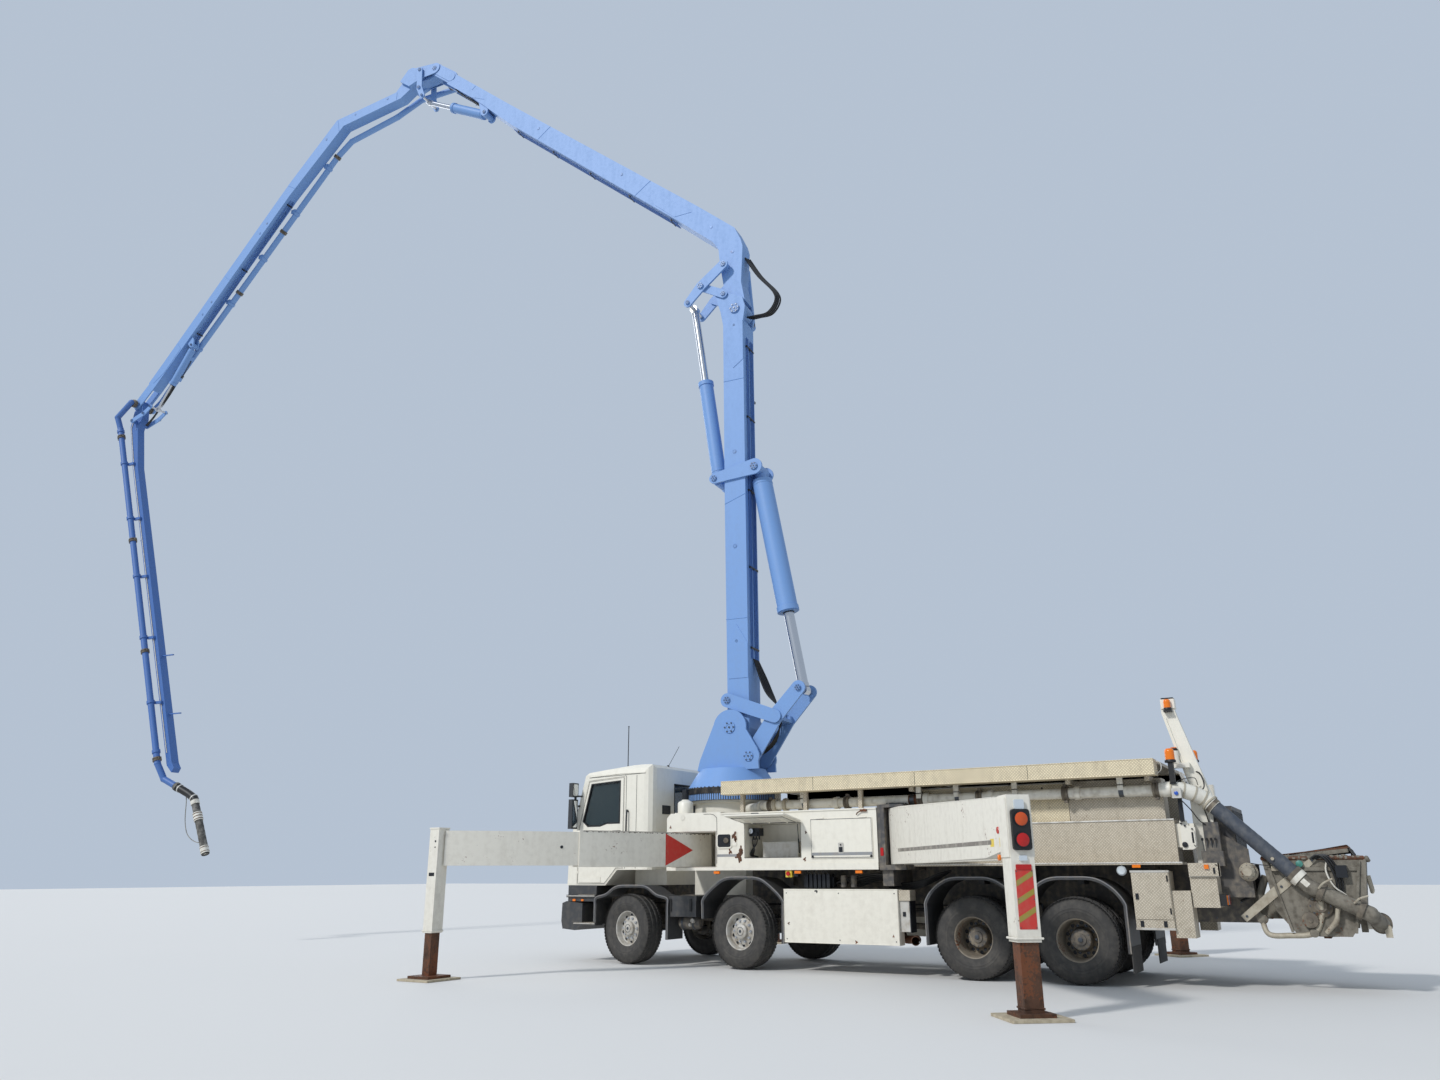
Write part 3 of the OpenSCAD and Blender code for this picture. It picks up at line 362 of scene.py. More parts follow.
def chequer(name, rgb, metal):
    """Chequer plate over dusty metal or paint: raised bars as bump; painted shade between them leaves them lighter."""
    m = paint(name, rgb, 0.5, metal, 0.25, 0.3, rust=0.03)
    tree, shader = m.node_tree, m.node_tree.nodes["Principled BSDF"]
    bars = add(tree, "Group", node_tree=CHEQUER).outputs["Mask"]
    relief = add(tree, "Bump", {"Strength": 0.8, "Distance": 0.004, "Height": bars})
    worn = shader.inputs["Base Color"].links[0].from_socket
    # painted shade: the plate off the bars is multiplied darker
    shade = add(tree, "Mix", {"B": (0.62, 0.60, 0.56, 1), "Factor": calc(tree, "SUBTRACT", 1.0, bars), "A": worn},
                data_type="RGBA", blend_type="MULTIPLY")
    feed(tree, shader, {"Normal": relief.outputs[0], "Base Color": shade.outputs["Result"]})
    return m


def plain(name, rgb, rough, metal=0.0, alpha=1.0):
    """Plain surface; with alpha below 1 it is tinted glass."""
    m, tree, shader = new_material(name)
    feed(tree, shader, {"Base Color": srgb(*rgb), "Roughness": rough, "Metallic": metal, "Alpha": alpha})
    return m


BLUE = paint("boom_paint", (114, 153, 206), 0.5, 0, 0.14, 0.0, soil=(120, 140, 170), bump=0.03, scale=3)
# shaded copy of the boom blue, painted shade: section 4, its welds and the tubes under the sections are drawn in it
BLUE_SHADED = paint("boom_paint_painted_shade", (68, 108, 172), 0.5, 0, 0.18, 0.0, soil=(110, 125, 150), bump=0.03, scale=3)
CREAM = paint("cream_paint", (230, 225, 211), 0.38, 0, 0.10, 0.25, coat=0.2, bump=0.02, scale=4)
CREAM_R = paint("cream_paint_chipped", (226, 221, 208), 0.42, 0, 0.16, 0.3, rust=0.12, bump=0.04, scale=12)
FRAME_M = paint("frame_paint", (62, 62, 64), 0.55, 0, 0.5, 0.6, bump=0.05)
PLASTIC = paint("dark_plastic", (48, 51, 55), 0.5, 0, 0.2, 0.3, soil=(112, 104, 94), bump=0.05, scale=120)
INSIDE = paint("interior", (92, 92, 94), 0.7, 0, 0.1, 0.0)
HOPPER_M = paint("splashed_steel", (128, 122, 110), 0.8, 0, 0.8, 0.5, rust=0.15, soil=(84, 78, 68), bump=0.5, scale=30)
PIPE = paint("pipe_paint", (222, 218, 206), 0.45, 0, 0.5, 0.3, rust=0.12, bump=0.04)
DRUM = paint("bare_pipe", (178, 170, 152), 0.6, 0.2, 0.7, 0.3, rust=0.2, bump=0.2)
CHROME = plain("chrome_rod", (200, 202, 206), 0.24, 1.0)
STEEL_R = paint("rusty_steel", (92, 62, 44), 0.6, 0.3, 0.7, 0.3, rust=0.5, soil=(60, 44, 34), bump=0.15)
RUBBER = paint("tyre_rubber", (50, 49, 48), 0.8, 0, 0.3, 0.35, soil=(98, 93, 86), bump=0.1, scale=60)
HOSE = paint("worn_hose", (74, 72, 68), 0.75, 0, 0.8, 0.0, soil=(150, 146, 138), bump=0.3, scale=40)
BLACK = plain("black_rubber", (22, 22, 23), 0.5)
GLASS = plain("window_glass", (62, 76, 80), 0.03, 0.0, alpha=0.42)
RED = paint("signal_red", (196, 40, 32), 0.4, 0, 0.15, 0.2)
YELLOW = paint("signal_yellow", (226, 196, 60), 0.4, 0, 0.2, 0.2)
AMBER = plain("amber_lens", (232, 120, 24), 0.15)
BOLT = plain("bolt_steel", (88, 92, 98), 0.35, 0.8)
DARKP = plain("dark_steel", (40, 42, 46), 0.4, 0.5)
WOOD = paint("board_wood", (184, 172, 148), 0.8, 0, 0.5, 0.2, soil=(120, 106, 84), bump=0.4, scale=25)
SILVER = paint("rim_paint", (196, 194, 188), 0.45, 0.1, 0.5, 0.6)
LENS = plain("lamp_lens", (205, 212, 216), 0.06, 0.2)
MIRROR = plain("mirror_glass", (200, 205, 210), 0.03, 1.0)
SILVER_D = paint("rim_paint_dirty", (122, 114, 102), 0.6, 0.1, 0.6, 0.6, rust=0.25, bump=0.08)
STEEL_B = paint("pin_paint", (100, 136, 186), 0.45, 0.1, 0.3, 0.0, rust=0.1)
CHEQ = chequer("chequer_plate", (226, 216, 198), 0.2)
# lighter, yellower copy of the chequer plate for the sunlit walkway and middle deck box: painted light
CHEQ_SUNLIT = chequer("chequer_plate_painted_sunlight", (250, 236, 204), 0.05)
RED_L = plain("red_lens", (176, 20, 18), 0.12)
STRIPE = paint("grey_stripe", (138, 140, 142), 0.5, 0, 0.5, 0.0)
STRIPE_D = paint("worn_stripe", (120, 114, 106), 0.6, 0, 0.8, 0.0, soil=(186, 180, 166))
GRIME = paint("grimy_steel", (92, 84, 74), 0.6, 0.2, 0.6, 0.3, rust=0.12, soil=(150, 140, 122), bump=0.15)
OLIVE = paint("faded_yellow", (150, 134, 52), 0.5, 0, 0.3, 0.0)
AMBER_D = plain("dark_amber_lens", (196, 78, 28), 0.15)
DARKR = paint("black_rust", (52, 40, 32), 0.7, 0, 0.3, 0.0, rust=0.3)
BLUE_B = plain("blue_button", (40, 84, 176), 0.3)
TEAL = plain("teal_cap", (70, 132, 120), 0.4)
HOSE_D = paint("riser_rubber", (62, 68, 78), 0.6, 0, 0.2, 0.2, soil=(150, 146, 138), bump=0.15, scale=60)
BLACKM = paint("ring_grease", (30, 30, 32), 0.45, 0.3, 0.3, 0.0, bump=0.2, scale=50)
DUSTY = paint("dusty_plastic", (112, 114, 118), 0.6, 0, 0.5, 0.4)
ROPE_M = paint("rope_fibre", (150, 148, 140), 0.9, 0, 0.6, 0.0, soil=(40, 40, 40), bump=0.6, scale=90)

# section 4 takes the shaded boom blue, which is painted shade
FINISH = {"chassis": FRAME_M, "axles": FRAME_M, "cab_shell": CREAM, "cab_interior": INSIDE, "front_end": PLASTIC,
        "mudguards": PLASTIC, "locker_cabinet": CREAM, "deck_cabinets": CREAM, "walkways": CHEQ, "pedestal": CREAM,
        "hopper": HOPPER_M, "pump_unit": FRAME_M, "delivery_line": PIPE, "door_left": CREAM, "door_right": CREAM,
        "locker_lid": CREAM, "turret": BLUE, "boom_1": BLUE, "boom_2": BLUE, "boom_3": BLUE, "boom_4": BLUE_SHADED,
        "end_hose": HOSE}
for key in "abcd":
    FINISH["rod_" + key] = CHROME
    for part in ("lever_", "link_", "barrel_"):
        FINISH[part + key] = BLUE
for side in SIGN:
    for part, mat in (("beam_outer_", CREAM_R), ("beam_inner_", CREAM_R), ("rear_arm_", CREAM_R),
            ("front_leg_", STEEL_R), ("rear_leg_", STEEL_R), ("knuckle_1_", FRAME_M), ("knuckle_2_", FRAME_M)):
        FINISH[part + side] = mat
    for i in range(1, 5):
        FINISH["wheel_%d_%s" % (i, side)] = RUBBER
for name, ob in NODES.items():
    ob.data.materials.clear()
    ob.data.materials.append(FINISH[name])


# ---------------------------------------------------------------- camera, light and floor
CAMERA_AT = (-10.3625, 15.7073, 1.3503)        # truck frame
CAMERA_TURN = (-59.0719, 17.654, -0.2329)      # heading, pitch and roll in degrees
CAMERA_FOCUS, IMAGE_W = 1049.27, 1440          # focal length and image width in pixels
SENSOR_W = 36                                  # mm


def camera():
    """The photo's camera: place, heading, pitch and roll solved from the photo."""
    yaw, pitch, roll = map(math.radians, CAMERA_TURN)
    f = np.array([math.cos(pitch) * math.cos(yaw), math.cos(pitch) * math.sin(yaw), math.sin(pitch)])
    r = np.array([math.sin(yaw), -math.cos(yaw), 0])
    u = np.cross(r, f)
    r2 = math.cos(roll) * r + math.sin(roll) * u
    u2 = -math.sin(roll) * r + math.cos(roll) * u
    cam = bpy.data.cameras.new("camera")
    cam.lens, cam.sensor_width, cam.clip_end = CAMERA_FOCUS / IMAGE_W * SENSOR_W, SENSOR_W, 500
    ob = bpy.data.objects.new("camera", cam)
    bpy.context.scene.collection.objects.link(ob)
    p = truck(*CAMERA_AT)
    ob.matrix_world = Matrix([[r2[i], u2[i], -f[i], p[i]] for i in range(3)] + [[0, 0, 0, 1]])
    bpy.context.scene.camera = ob


def sun(name, energy, rot, size):
    """A sun lamp: rotation and apparent size in degrees."""
    lamp = bpy.data.lights.new(name, "SUN")
    lamp.energy = energy
    lamp.angle = math.radians(size)
    o = bpy.data.objects.new(name, lamp)
    o.rotation_euler = [math.radians(a) for a in rot]
    bpy.context.scene.collection.objects.link(o)


camera()
sun("key", 2.1, (52, 0, 160), 6)
sun("fill", 0.7, (70, 0, 60), 40)
world = bpy.data.worlds.new("world")
bpy.context.scene.world = world
world.use_nodes = True
world.node_tree.nodes["Background"].inputs[0].default_value = (0.62, 0.72, 0.86, 1)
world.node_tree.nodes["Background"].inputs[1].default_value = 0.75
bpy.context.scene.view_settings.view_transform = "Standard"
FLOOR = plain("floor", (214, 212, 208), 0.9)
FLOOR_HALF, FLOOR_Z = 120, -0.002
me = bpy.data.meshes.new("floor")
me.from_pydata([(a * FLOOR_HALF, b * FLOOR_HALF, FLOOR_Z) for a, b in ((-1, -1), (1, -1), (1, 1), (-1, 1))], [],
        [(0, 1, 2, 3)])
floor = bpy.data.objects.new("floor", me)
bpy.context.scene.collection.objects.link(floor)
me.materials.append(FLOOR)

# ---------------------------------------------------------------- wheels
HUB_Z = 0.53
WHEEL_Y = 0.83                      # half the track, at the steering axis
REAR_AXLES = (-5.58, -6.93)
# axle: x, steer angle in degrees, twin tyres
AXLES = {1: (0.0, 11.0, False), 2: (-2.05, 8.0, False), 3: (REAR_AXLES[0], 0.0, True), 4: (REAR_AXLES[1], 0.0, True)}


def wheel_frame(i, side):
    """Foot of the wheel's axis on the truck's middle plane, and the outward axis, from the steer angle."""
    x, steer, _ = AXLES[i]
    s = 1 if side == "left" else -1
    a = math.radians(steer)
    out = s * np.array([math.sin(a), math.cos(a), 0])
    return truck(x, s * WHEEL_Y, HUB_Z) - out * WHEEL_Y, out


def tyre(foot, out, inner, n=252):
    """P(u, h): a carcass section of sidewall arcs and a crowned tread, whose radius drops by a groove depth
    where the pattern of three ribs' grooves and the shoulder notches says so. inner is the near edge in h."""
    w, pitch = 0.31, 4              # width, and rays from one shoulder notch to the next
    side = np.linspace(0, 1, 15)
    r_side = 0.264 + 0.246 * side
    bulge = 0.034 * np.sin(np.pi * np.clip(side * 1.05, 0, 1)) + 0.003 * np.sin(side * 40) * (side < 0.75)
    tread_h = np.array([0.0, 0.018, 0.040, 0.046, 0.082, 0.088, 0.126, 0.132, 0.178, 0.184, 0.222, 0.228, 0.264,
            0.270, 0.292, 0.31])
    groove = np.array([0, 0, 0, 1, 1, 0, 0, 1, 1, 0, 0, 1, 1, 0, 0, 0], bool)
    u = np.arange(n)
    h = np.concatenate([0.03 - bulge, tread_h, (w - 0.03 + bulge)[::-1]]) + inner
    base = np.concatenate([r_side, 0.527 - 0.9 * (tread_h - w / 2) ** 2 * 0.6, r_side[::-1]])
    r = np.repeat(base[None], n, 0)
    k = len(side)
    depth = np.zeros_like(r)
    depth[:, k:k + len(tread_h)] = np.where(groove, 0.012, 0.0)
    for lo, hi, lag in ((0, 3, 0), (13, 16, 2)):
        cut = ((u + lag) % pitch) == 0
        depth[np.ix_(cut, range(k + lo, k + hi))] = 0.014
    for lo, lag in ((5, 1), (9, 3)):
        cut = ((u + lag) % (2 * pitch)) == 0
        depth[np.ix_(cut, range(k + lo, k + lo + 2))] = 0.009
    r = r - depth
    a, e1, e2 = basis(out)
    t = 2 * np.pi * u / n
    pts = foot + a * h[None, :, None] + r[..., None] * (e1 * np.cos(t)[:, None, None] + e2 * np.sin(t)[:, None, None])
    return grid(pts, close_u=True)


def around(foot, out, radius, h, count, start=0.0):
    """Points evenly round the axis."""
    a, e1, e2 = basis(out)
    t = start + 2 * np.pi * np.arange(count) / count
    return [foot + a * h + radius * (e1 * math.cos(x) + e2 * math.sin(x)) for x in t]


def wheel(i, side):
    """Tyre, rim, hub, nuts and hand holes of one wheel, in place of its plain CAD solid."""
    foot, out = wheel_frame(i, side)
    body = "wheel_%d_%s" % (i, side)
    twin = AXLES[i][2]
    parts = [tyre(foot, out, 0.938)] if not twin else [tyre(foot, out, 0.938), tyre(foot, out, 0.596, n=168)]
    ob = piece(body + "_tyre", parts, RUBBER, body, smooth=True)
    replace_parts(ob, body)
    if twin:
        rim = [lathe([(0.266, 0.60), (0.25, 0.66), (0.25, 1.10), (0.258, 1.17), (0.272, 1.205), (0.264, 1.214),
                (0.252, 1.208), (0.243, 1.17), (0.236, 1.08), (0.236, 0.93), (0.225, 0.885), (0.16, 0.905),
                (0.146, 0.93)], foot, out, 56)]
        hub = [lathe([(0.146, 0.90), (0.146, 1.00), (0.125, 1.035), (0.075, 1.045), (0.07, 1.058), (1e-4, 1.062)],
                foot, out, 40)]
        nut_r, nut_h, hole_r, hole_h = 0.168, 0.905, 0.2, 0.898
        rim_m, hub_m = SILVER_D, FRAME_M
    else:
        rim = [lathe([(0.266, 0.90), (0.25, 0.95), (0.25, 1.13), (0.258, 1.18), (0.272, 1.208), (0.266, 1.217),
                (0.252, 1.212), (0.243, 1.19), (0.238, 1.13), (0.222, 1.115), (0.19, 1.122), (0.155, 1.14),
                (0.13, 1.15)], foot, out, 56)]
        hub = [lathe([(0.13, 1.148), (0.108, 1.152), (0.104, 1.195), (0.09, 1.207), (1e-4, 1.212)], foot, out, 40)]
        nut_r, nut_h, hole_r, hole_h = 0.15, 1.14, 0.197, 1.119
        rim_m, hub_m = SILVER, SILVER
    piece(body + "_rim", rim, rim_m, body, smooth=True)
    piece(body + "_hub", hub, hub_m, body, smooth=True)
    nuts = [disc(p, out, 0.0165, 0.028, 6, 0.004) for p in around(foot, out, nut_r, nut_h, 10)]
    nuts += [ring(p, out, 1e-4, 0.022, 0.006, 14) for p in around(foot, out, nut_r, nut_h, 10)]
    piece(body + "_nuts", nuts, BOLT if twin else CHROME, body)
    # the dark discs stand for the hand holes: painted shade where one looks into the wheel
    holes = [disc(p, out, 0.0245, 0.004, 18) for p in around(foot, out, hole_r, hole_h, 10, math.pi / 10)]
    piece(body + "_hand_holes", holes, DARKP, body)
    lips = [lathe([(0.0245, -0.002), (0.026, 0.006), (0.0285, 0.007), (0.031, 0.0)], p, out, 18)
            for p in around(foot, out, hole_r, hole_h, 10, math.pi / 10)]
    piece(body + "_hole_lips", lips, rim_m, body, smooth=True)
    if twin:
        piece(body + "_hub_bolts", [disc(p, out, 0.008, 0.008, 6) for p in around(foot, out, 0.115, 1.036, 12)]
              + [disc(foot + out * 1.06, out, 0.03, 0.012, 16, 0.003)], BOLT, body)
    else:
        piece(body + "_hub_cap", [ring(foot + out * 1.205, out, 0.055, 0.062, 0.006, 36),
                disc(foot + out * 1.21, out, 0.022, 0.006, 20)], BOLT, body)
    valve = around(foot, out, 0.235, 1.13, 1, 0.3)[0]
    piece(body + "_valve", [sweep([valve, valve + out * 0.05], 0.005, 8)], DARKP, body)


for i in AXLES:
    for side in SIGN:
        wheel(i, side)


# ---------------------------------------------------------------- boom
def bolts_on(centre, axis, r, count, size, h):
    """Hexagon heads round a centre, on the face the axis points out of."""
    return [disc(p, axis, size, h, 6) for p in around(centre, axis, r, 0.0, count)]


def pin_end(s, z, lat, r, body, name, material, sides):
    """Round keeper plates with bolts on both ends of a boom pin."""
    parts, heads = [], []
    for sg in sides:
        c, n = boom(s, z, sg * lat), sg * BOOM_N
        parts += [disc(c, n, r, 0.016, 36), ring(c, n, r * 0.52, r * 0.62, 0.022, 28)]
        heads += bolts_on(c + n * 0.016, n, r * 0.8, 6, min(0.016, r * 0.14), 0.012)
        heads += [disc(c + n * 0.016, n, r * 0.16, 0.014, 10)]
    piece(name, parts, material, body, smooth=True)
    piece(name + "_bolts", heads, BOLT, body)


# half width of each boom section over its side plates
BOOM_HALF = {"boom_1": 0.25, "boom_2": 0.18, "boom_3": 0.13, "boom_4": 0.095}
WELD_R = 0.006
CLIP_EVERY = 1.1                    # spacing of tube clips
PIPE_R = 0.07                       # outer radius of the delivery pipe

# place s, z, half width where it sits, radius, body
PINS = [("pin_a", -0.12, 3.70, 0.394, 0.10, "turret"), ("pin_a3", -0.46, 3.21, 0.394, 0.085, "turret"),
        ("pin_a1", -0.05, 4.17, 0.339, 0.06, "boom_1"), ("pin_a2", -0.91, 3.85, 0.303, 0.075, "lever_a"),
        ("pin_a4", -1.33, 4.30, 0.312, 0.052, "lever_a"), ("pin_a5", -0.59, 8.38, 0.30, 0.07, "boom_1"),
        ("pin_b", -0.22, 11.71, 0.264, 0.10, "boom_1"), ("pin_b1", 0.01, 12.07, 0.29, 0.048, "boom_1"),
        ("pin_b2", 0.47, 12.33, 0.346, 0.062, "lever_b"), ("pin_b3", -0.01, 12.70, 0.334, 0.055, "boom_2"),
        ("pin_b4", 0.75, 12.03, 0.346, 0.042, "lever_b"), ("pin_b5", 0.21, 8.27, 0.30, 0.055, "boom_1"),
        ("pin_c", 7.91, 20.5, 0.21, 0.062, "boom_2"), ("pin_c2", 8.29, 20.0, 0.296, 0.045, "lever_c"),
        ("pin_c3", 8.33, 20.56, 0.284, 0.045, "boom_3"), ("pin_c4", 8.17, 19.72, 0.296, 0.034, "lever_c"),
        ("pin_c5", 6.29, 18.65, 0.162, 0.045, "boom_2"), ("pin_d", 17.1, 13.2, 0.15, 0.052, "boom_3"),
        ("pin_d2", 16.64, 12.83, 0.246, 0.034, "lever_d"), ("pin_d3", 17.05, 12.7, 0.234, 0.036, "boom_4"),
        ("pin_d4", 16.42, 12.98, 0.246, 0.028, "lever_d"), ("pin_d5", 15.42, 14.6, 0.092, 0.035, "boom_3")]
for name, s, z, lat, r, body in PINS:
    pin_end(s, z, lat, r, body, name, BLUE if body == "turret" else STEEL_B,
            sides=(1,) if name == "pin_b4" else (1, -1))

# small round plug covers on the sides of the sections: body, radius, places (s, z)
COVERS = [("boom_1", 0.028, [(-0.204, 11.353), (-0.192, 8.746), (-0.158, 8.388), (-0.185, 6.928), (-0.2, 5.2)]),
        ("boom_2", 0.026, [(0.313, 13.72), (-0.155, 13.025), (-0.055, 12.714), (2.435, 15.643), (4.674, 17.602),
        (6.965, 19.546), (7.193, 19.734), (7.481, 20.051)]),
        ("boom_3", 0.022, [(9.456, 20.197), (10.506, 20.093), (11.431, 19.636), (13.197, 17.612), (13.405, 17.369),
        (14.854, 15.706), (15.125, 15.403)]),
        ("boom_4", 0.018, [(17.02, 12.5), (16.6, 11.0), (15.65, 8.6), (14.7, 6.1), (14.0, 4.2)])]
for body, r, places in COVERS:
    parts = []
    for s, z in places:
        for sg in (1, -1):
            c, n = boom(s, z, sg * BOOM_HALF[body]), sg * BOOM_N
            parts += [disc(c, n, r, 0.008, 20), ring(c, n, r * 1.15, r * 1.5, 0.004, 24)]
    piece(body + "_plugs", parts, STEEL_B, body)


def seam(points, body, name):
    """Weld bead on both side plates of a section along a line of (s, z) points."""
    parts = [sweep([boom(s, z, sg * (BOOM_HALF[body] + 0.001)) for s, z in points], WELD_R, 6) for sg in (1, -1)]
    # welds on section 4 take the shaded boom blue, which is painted shade
    piece(name, parts, BLUE_SHADED if body == "boom_4" else BLUE, body, smooth=True)


seam([(-0.40, 7.9), (0.01, 7.75)], "boom_1", "weld_1a")
seam([(-0.41, 5.6), (0.0, 5.6)], "boom_1", "weld_1b")
seam([(-0.39, 10.2), (0.02, 10.2)], "boom_1", "weld_1c")
seam([(1.72, 15.26), (2.1, 15.0)], "boom_2", "weld_2a")
seam([(4.35, 17.54), (4.68, 17.3)], "boom_2", "weld_2b")
seam([(6.6, 19.5), (6.85, 19.28)], "boom_2", "weld_2c")
seam([(9.15, 20.28), (9.15, 20.07)], "boom_3", "weld_3a")
seam([(11.1, 20.11), (11.02, 19.76)], "boom_3", "weld_3b")
seam([(12.6, 18.58), (12.36, 18.43)], "boom_3", "weld_3c")
seam([(14.5, 16.38), (14.3, 16.22)], "boom_3", "weld_3d")
seam([(16.1, 9.3), (16.0, 9.35)], "boom_4", "weld_4a")

# lapped plate edges: thin doubler plates with real thickness round the knuckles
def doubler(outline, t, body, name):
    """Thin plate on both sides of a section, outline as (s, z) points."""
    parts = []
    for sg in (1, -1):
        o = boom(0, 0, sg * BOOM_HALF[body])
        shape = slab(outline, o, BOOM_S, UP, sg * BOOM_N, t)
        if sg > 0:
            shape = (shape[0], [f[::-1] for f in (shape[1] if isinstance(shape[1], list) else shape[1].tolist())])
        parts.append(shape)
    piece(name, parts, BLUE, body)


doubler([(-0.41, 4.55), (-0.41, 5.15), (-0.2, 5.5), (-0.06, 5.1), (-0.05, 4.55)], 0.008, "boom_1", "doubler_1a")
doubler([(-0.385, 10.6), (-0.385, 11.42), (0.02, 11.42), (0.0, 10.9), (-0.18, 10.45)], 0.008, "boom_1", "doubler_1b")
doubler([(0.75, 14.2), (1.5, 14.86), (1.75, 14.9), (1.6, 14.62), (1.15, 14.2)], 0.007, "boom_2", "doubler_2a")
doubler([(6.3, 19.0), (6.9, 19.63), (7.35, 19.98), (7.5, 19.9), (6.7, 19.2)], 0.007, "boom_2", "doubler_2b")
doubler([(15.9, 14.72), (16.5, 13.98), (16.6, 13.72), (16.25, 13.95), (15.75, 14.55)], 0.006, "boom_3", "doubler_3b")


def barrel_details(key, p, q, length, r, body):
    """Gland bolts, port blocks and the steel tube that runs along a cylinder barrel."""
    p3, q3 = boom(*p), boom(*q)
    u = (q3 - p3) / np.linalg.norm(q3 - p3)
    end = p3 + u * length
    piece("barrel_%s_gland" % key, [ring(end, u, r * 0.56, r * 0.94, 0.012, 40)]
          + [lathe([(r + 0.001, -0.04), (r + 0.005, -0.036), (r + 0.005, -0.01), (r + 0.001, -0.006)],
            p3 + u * (r + 0.12), u, 48)], BLUE, body, smooth=True)
    piece("barrel_%s_gland_bolts" % key, bolts_on(end, u, r * 0.8, 12, r * 0.07, 0.014), BOLT, body)
    side = -BOOM_N
    tube = [p3 + u * (r + 0.25) + side * (r + 0.03), p3 + u * (r + 0.3) + side * (r + 0.05),
            end - u * 0.25 + side * (r + 0.05), end - u * 0.18 + side * (r + 0.02)]
    piece("barrel_%s_tube" % key, [sweep(smooth_path(tube, 4), 0.014, 8)], BOLT, body, smooth=True)
    blocks = [slab([(-0.05, -0.04), (0.05, -0.04), (0.05, 0.04), (-0.05, 0.04)], c + side * (r - 0.01), u,
            np.cross(side, u), side, 0.07) for c in (p3 + u * (r + 0.25), end - u * 0.2)]
    blocks = [(v, [f[::-1] for f in fs]) if np.linalg.det([u, np.cross(side, u), side]) < 0 else (v, fs)
            for v, fs in blocks]
    piece("barrel_%s_ports" % key, blocks, BLUE, body)
    wiper = [lathe([(r * 0.5 + 0.001, 0.0), (r * 0.5 + 0.012, 0.004), (r * 0.5 + 0.012, 0.02),
            (r * 0.5 + 0.001, 0.024)], end + u * 0.004, u, 36)]
    piece("barrel_%s_wiper" % key, wiper, BLACK, body, smooth=True)


barrel_details("a", (-0.59, 8.38), (-1.33, 4.30), 2.74, 0.18, "barrel_a")
barrel_details("b", (0.21, 8.27), (0.75, 12.03), 2.14, 0.135, "barrel_b")
barrel_details("c", (6.29, 18.65), (8.17, 19.72), 1.25, 0.112, "barrel_c")
barrel_details("d", (15.42, 14.6), (16.42, 12.98), 1.15, 0.08, "barrel_d")

# hydraulic tubes in clips along the undersides of the sections: route (s, z), places across, body
def tubes(name, route, lats, body, r=0.011):
    """Parallel steel tubes along a straight run, with clips."""
    a, b = np.array(route[0]), np.array(route[-1])
    parts = [sweep(smooth_path([boom(s, z, lat) for s, z in route], 3), r, 8) for lat in lats]
    # the tubes take the shaded boom blue, which is painted shade
    piece(name, parts, BLUE_SHADED, body, smooth=True)
    n = max(2, int(np.linalg.norm(b - a) / CLIP_EVERY))
    clips = []
    for t in np.linspace(0.03, 0.97, n):
        s, z = a + (b - a) * t
        clips.append(sweep([boom(s, z, min(lats) - 0.03), boom(s, z, max(lats) + 0.03)], r * 1.9, 6))
    piece(name + "_clips", clips, BLACK, body)


tubes("boom_1_tubes", [(-0.425, 4.9), (-0.42, 7.6), (-0.405, 11.1)], (-0.16, -0.11, -0.06, 0.06, 0.11), "boom_1")
tubes("boom_2_tubes", [(1.15, 14.12), (5.45, 17.93)], (-0.12, -0.07, -0.02, 0.05), "boom_2")
tubes("boom_3_tubes", [(12.55, 18.17), (15.4, 14.83)], (-0.08, -0.04, 0.02), "boom_3")
tubes("boom_4_tubes", [(16.62, 11.15), (13.85, 3.95)], (-0.05, 0.0), "boom_4", 0.009)


def hoses(name, routes, body, r=0.017):
    """Flexible hydraulic hoses along curves through boom-plane points (s, z, lat)."""
    piece(name, [sweep(smooth_path([boom(*p) for p in route], 8), r, 8) for route in routes], BLACK, body, smooth=True)


# the hose loop at the knee, drawn from end to end in the photo
KNEE = [(-0.407, 12.925), (-0.667, 12.462), (-0.974, 12.05), (-1.021, 11.82), (-0.861, 11.61), (-0.6, 11.598),
        (-0.44, 11.6)]
hoses("knee_hoses", [[(s + d, z - d * 0.4, -0.1 + k * 0.045) for s, z in KNEE]
        for k, d in enumerate((0.0, 0.02, 0.035, 0.05))], ("boom_1", "boom_2", boom(-0.7, 11.6), boom(-0.5, 12.9)))
hoses("foot_hoses", [[(-0.43, 4.9, -0.16 + k * 0.05), (-0.62, 4.45 - k * 0.03, -0.2 + k * 0.05),
        (-0.78 - k * 0.03, 3.95, -0.22 + k * 0.04), (-0.72, 3.5, -0.2 + k * 0.03), (-0.42, 3.25, -0.15 + k * 0.03),
        (-0.2, 3.15, -0.12 + k * 0.03)] for k in range(5)], ("turret", "boom_1", boom(-0.4, 3.2), boom(-0.5, 4.8)),
      0.015)
hoses("top_hoses", [[(6.62, 19.125, -0.1 + k * 0.045), (6.72, 19.205, -0.1 + k * 0.045),
        (7.0, 19.47 - k * 0.006, -0.1 + k * 0.045), (7.27, 19.73 - k * 0.006, -0.1 + k * 0.045),
        (7.43, 19.94, -0.1 + k * 0.045)] for k in range(4)], "boom_2", 0.014)
hoses("tip_hoses", [[(15.5, 14.7, -0.07 + k * 0.035), (16.0, 13.6 - k * 0.03, -0.07 + k * 0.035),
        (16.5, 12.95 - k * 0.04, -0.06 + k * 0.03), (16.8, 12.6, -0.05 + k * 0.03)] for k in range(3)],
      ("boom_3", "boom_4", boom(15.6, 14.5), boom(16.75, 12.7)), 0.012)
# conduit beside section 4
piece("boom_4_conduit", [sweep([boom(17.12, 12.9, 0.105), boom(17.2, 12.55, 0.105), boom(16.82, 11.36, 0.105),
        boom(13.95, 4.0, 0.105)], 0.012, 8)], SILVER, "boom_4", smooth=True)


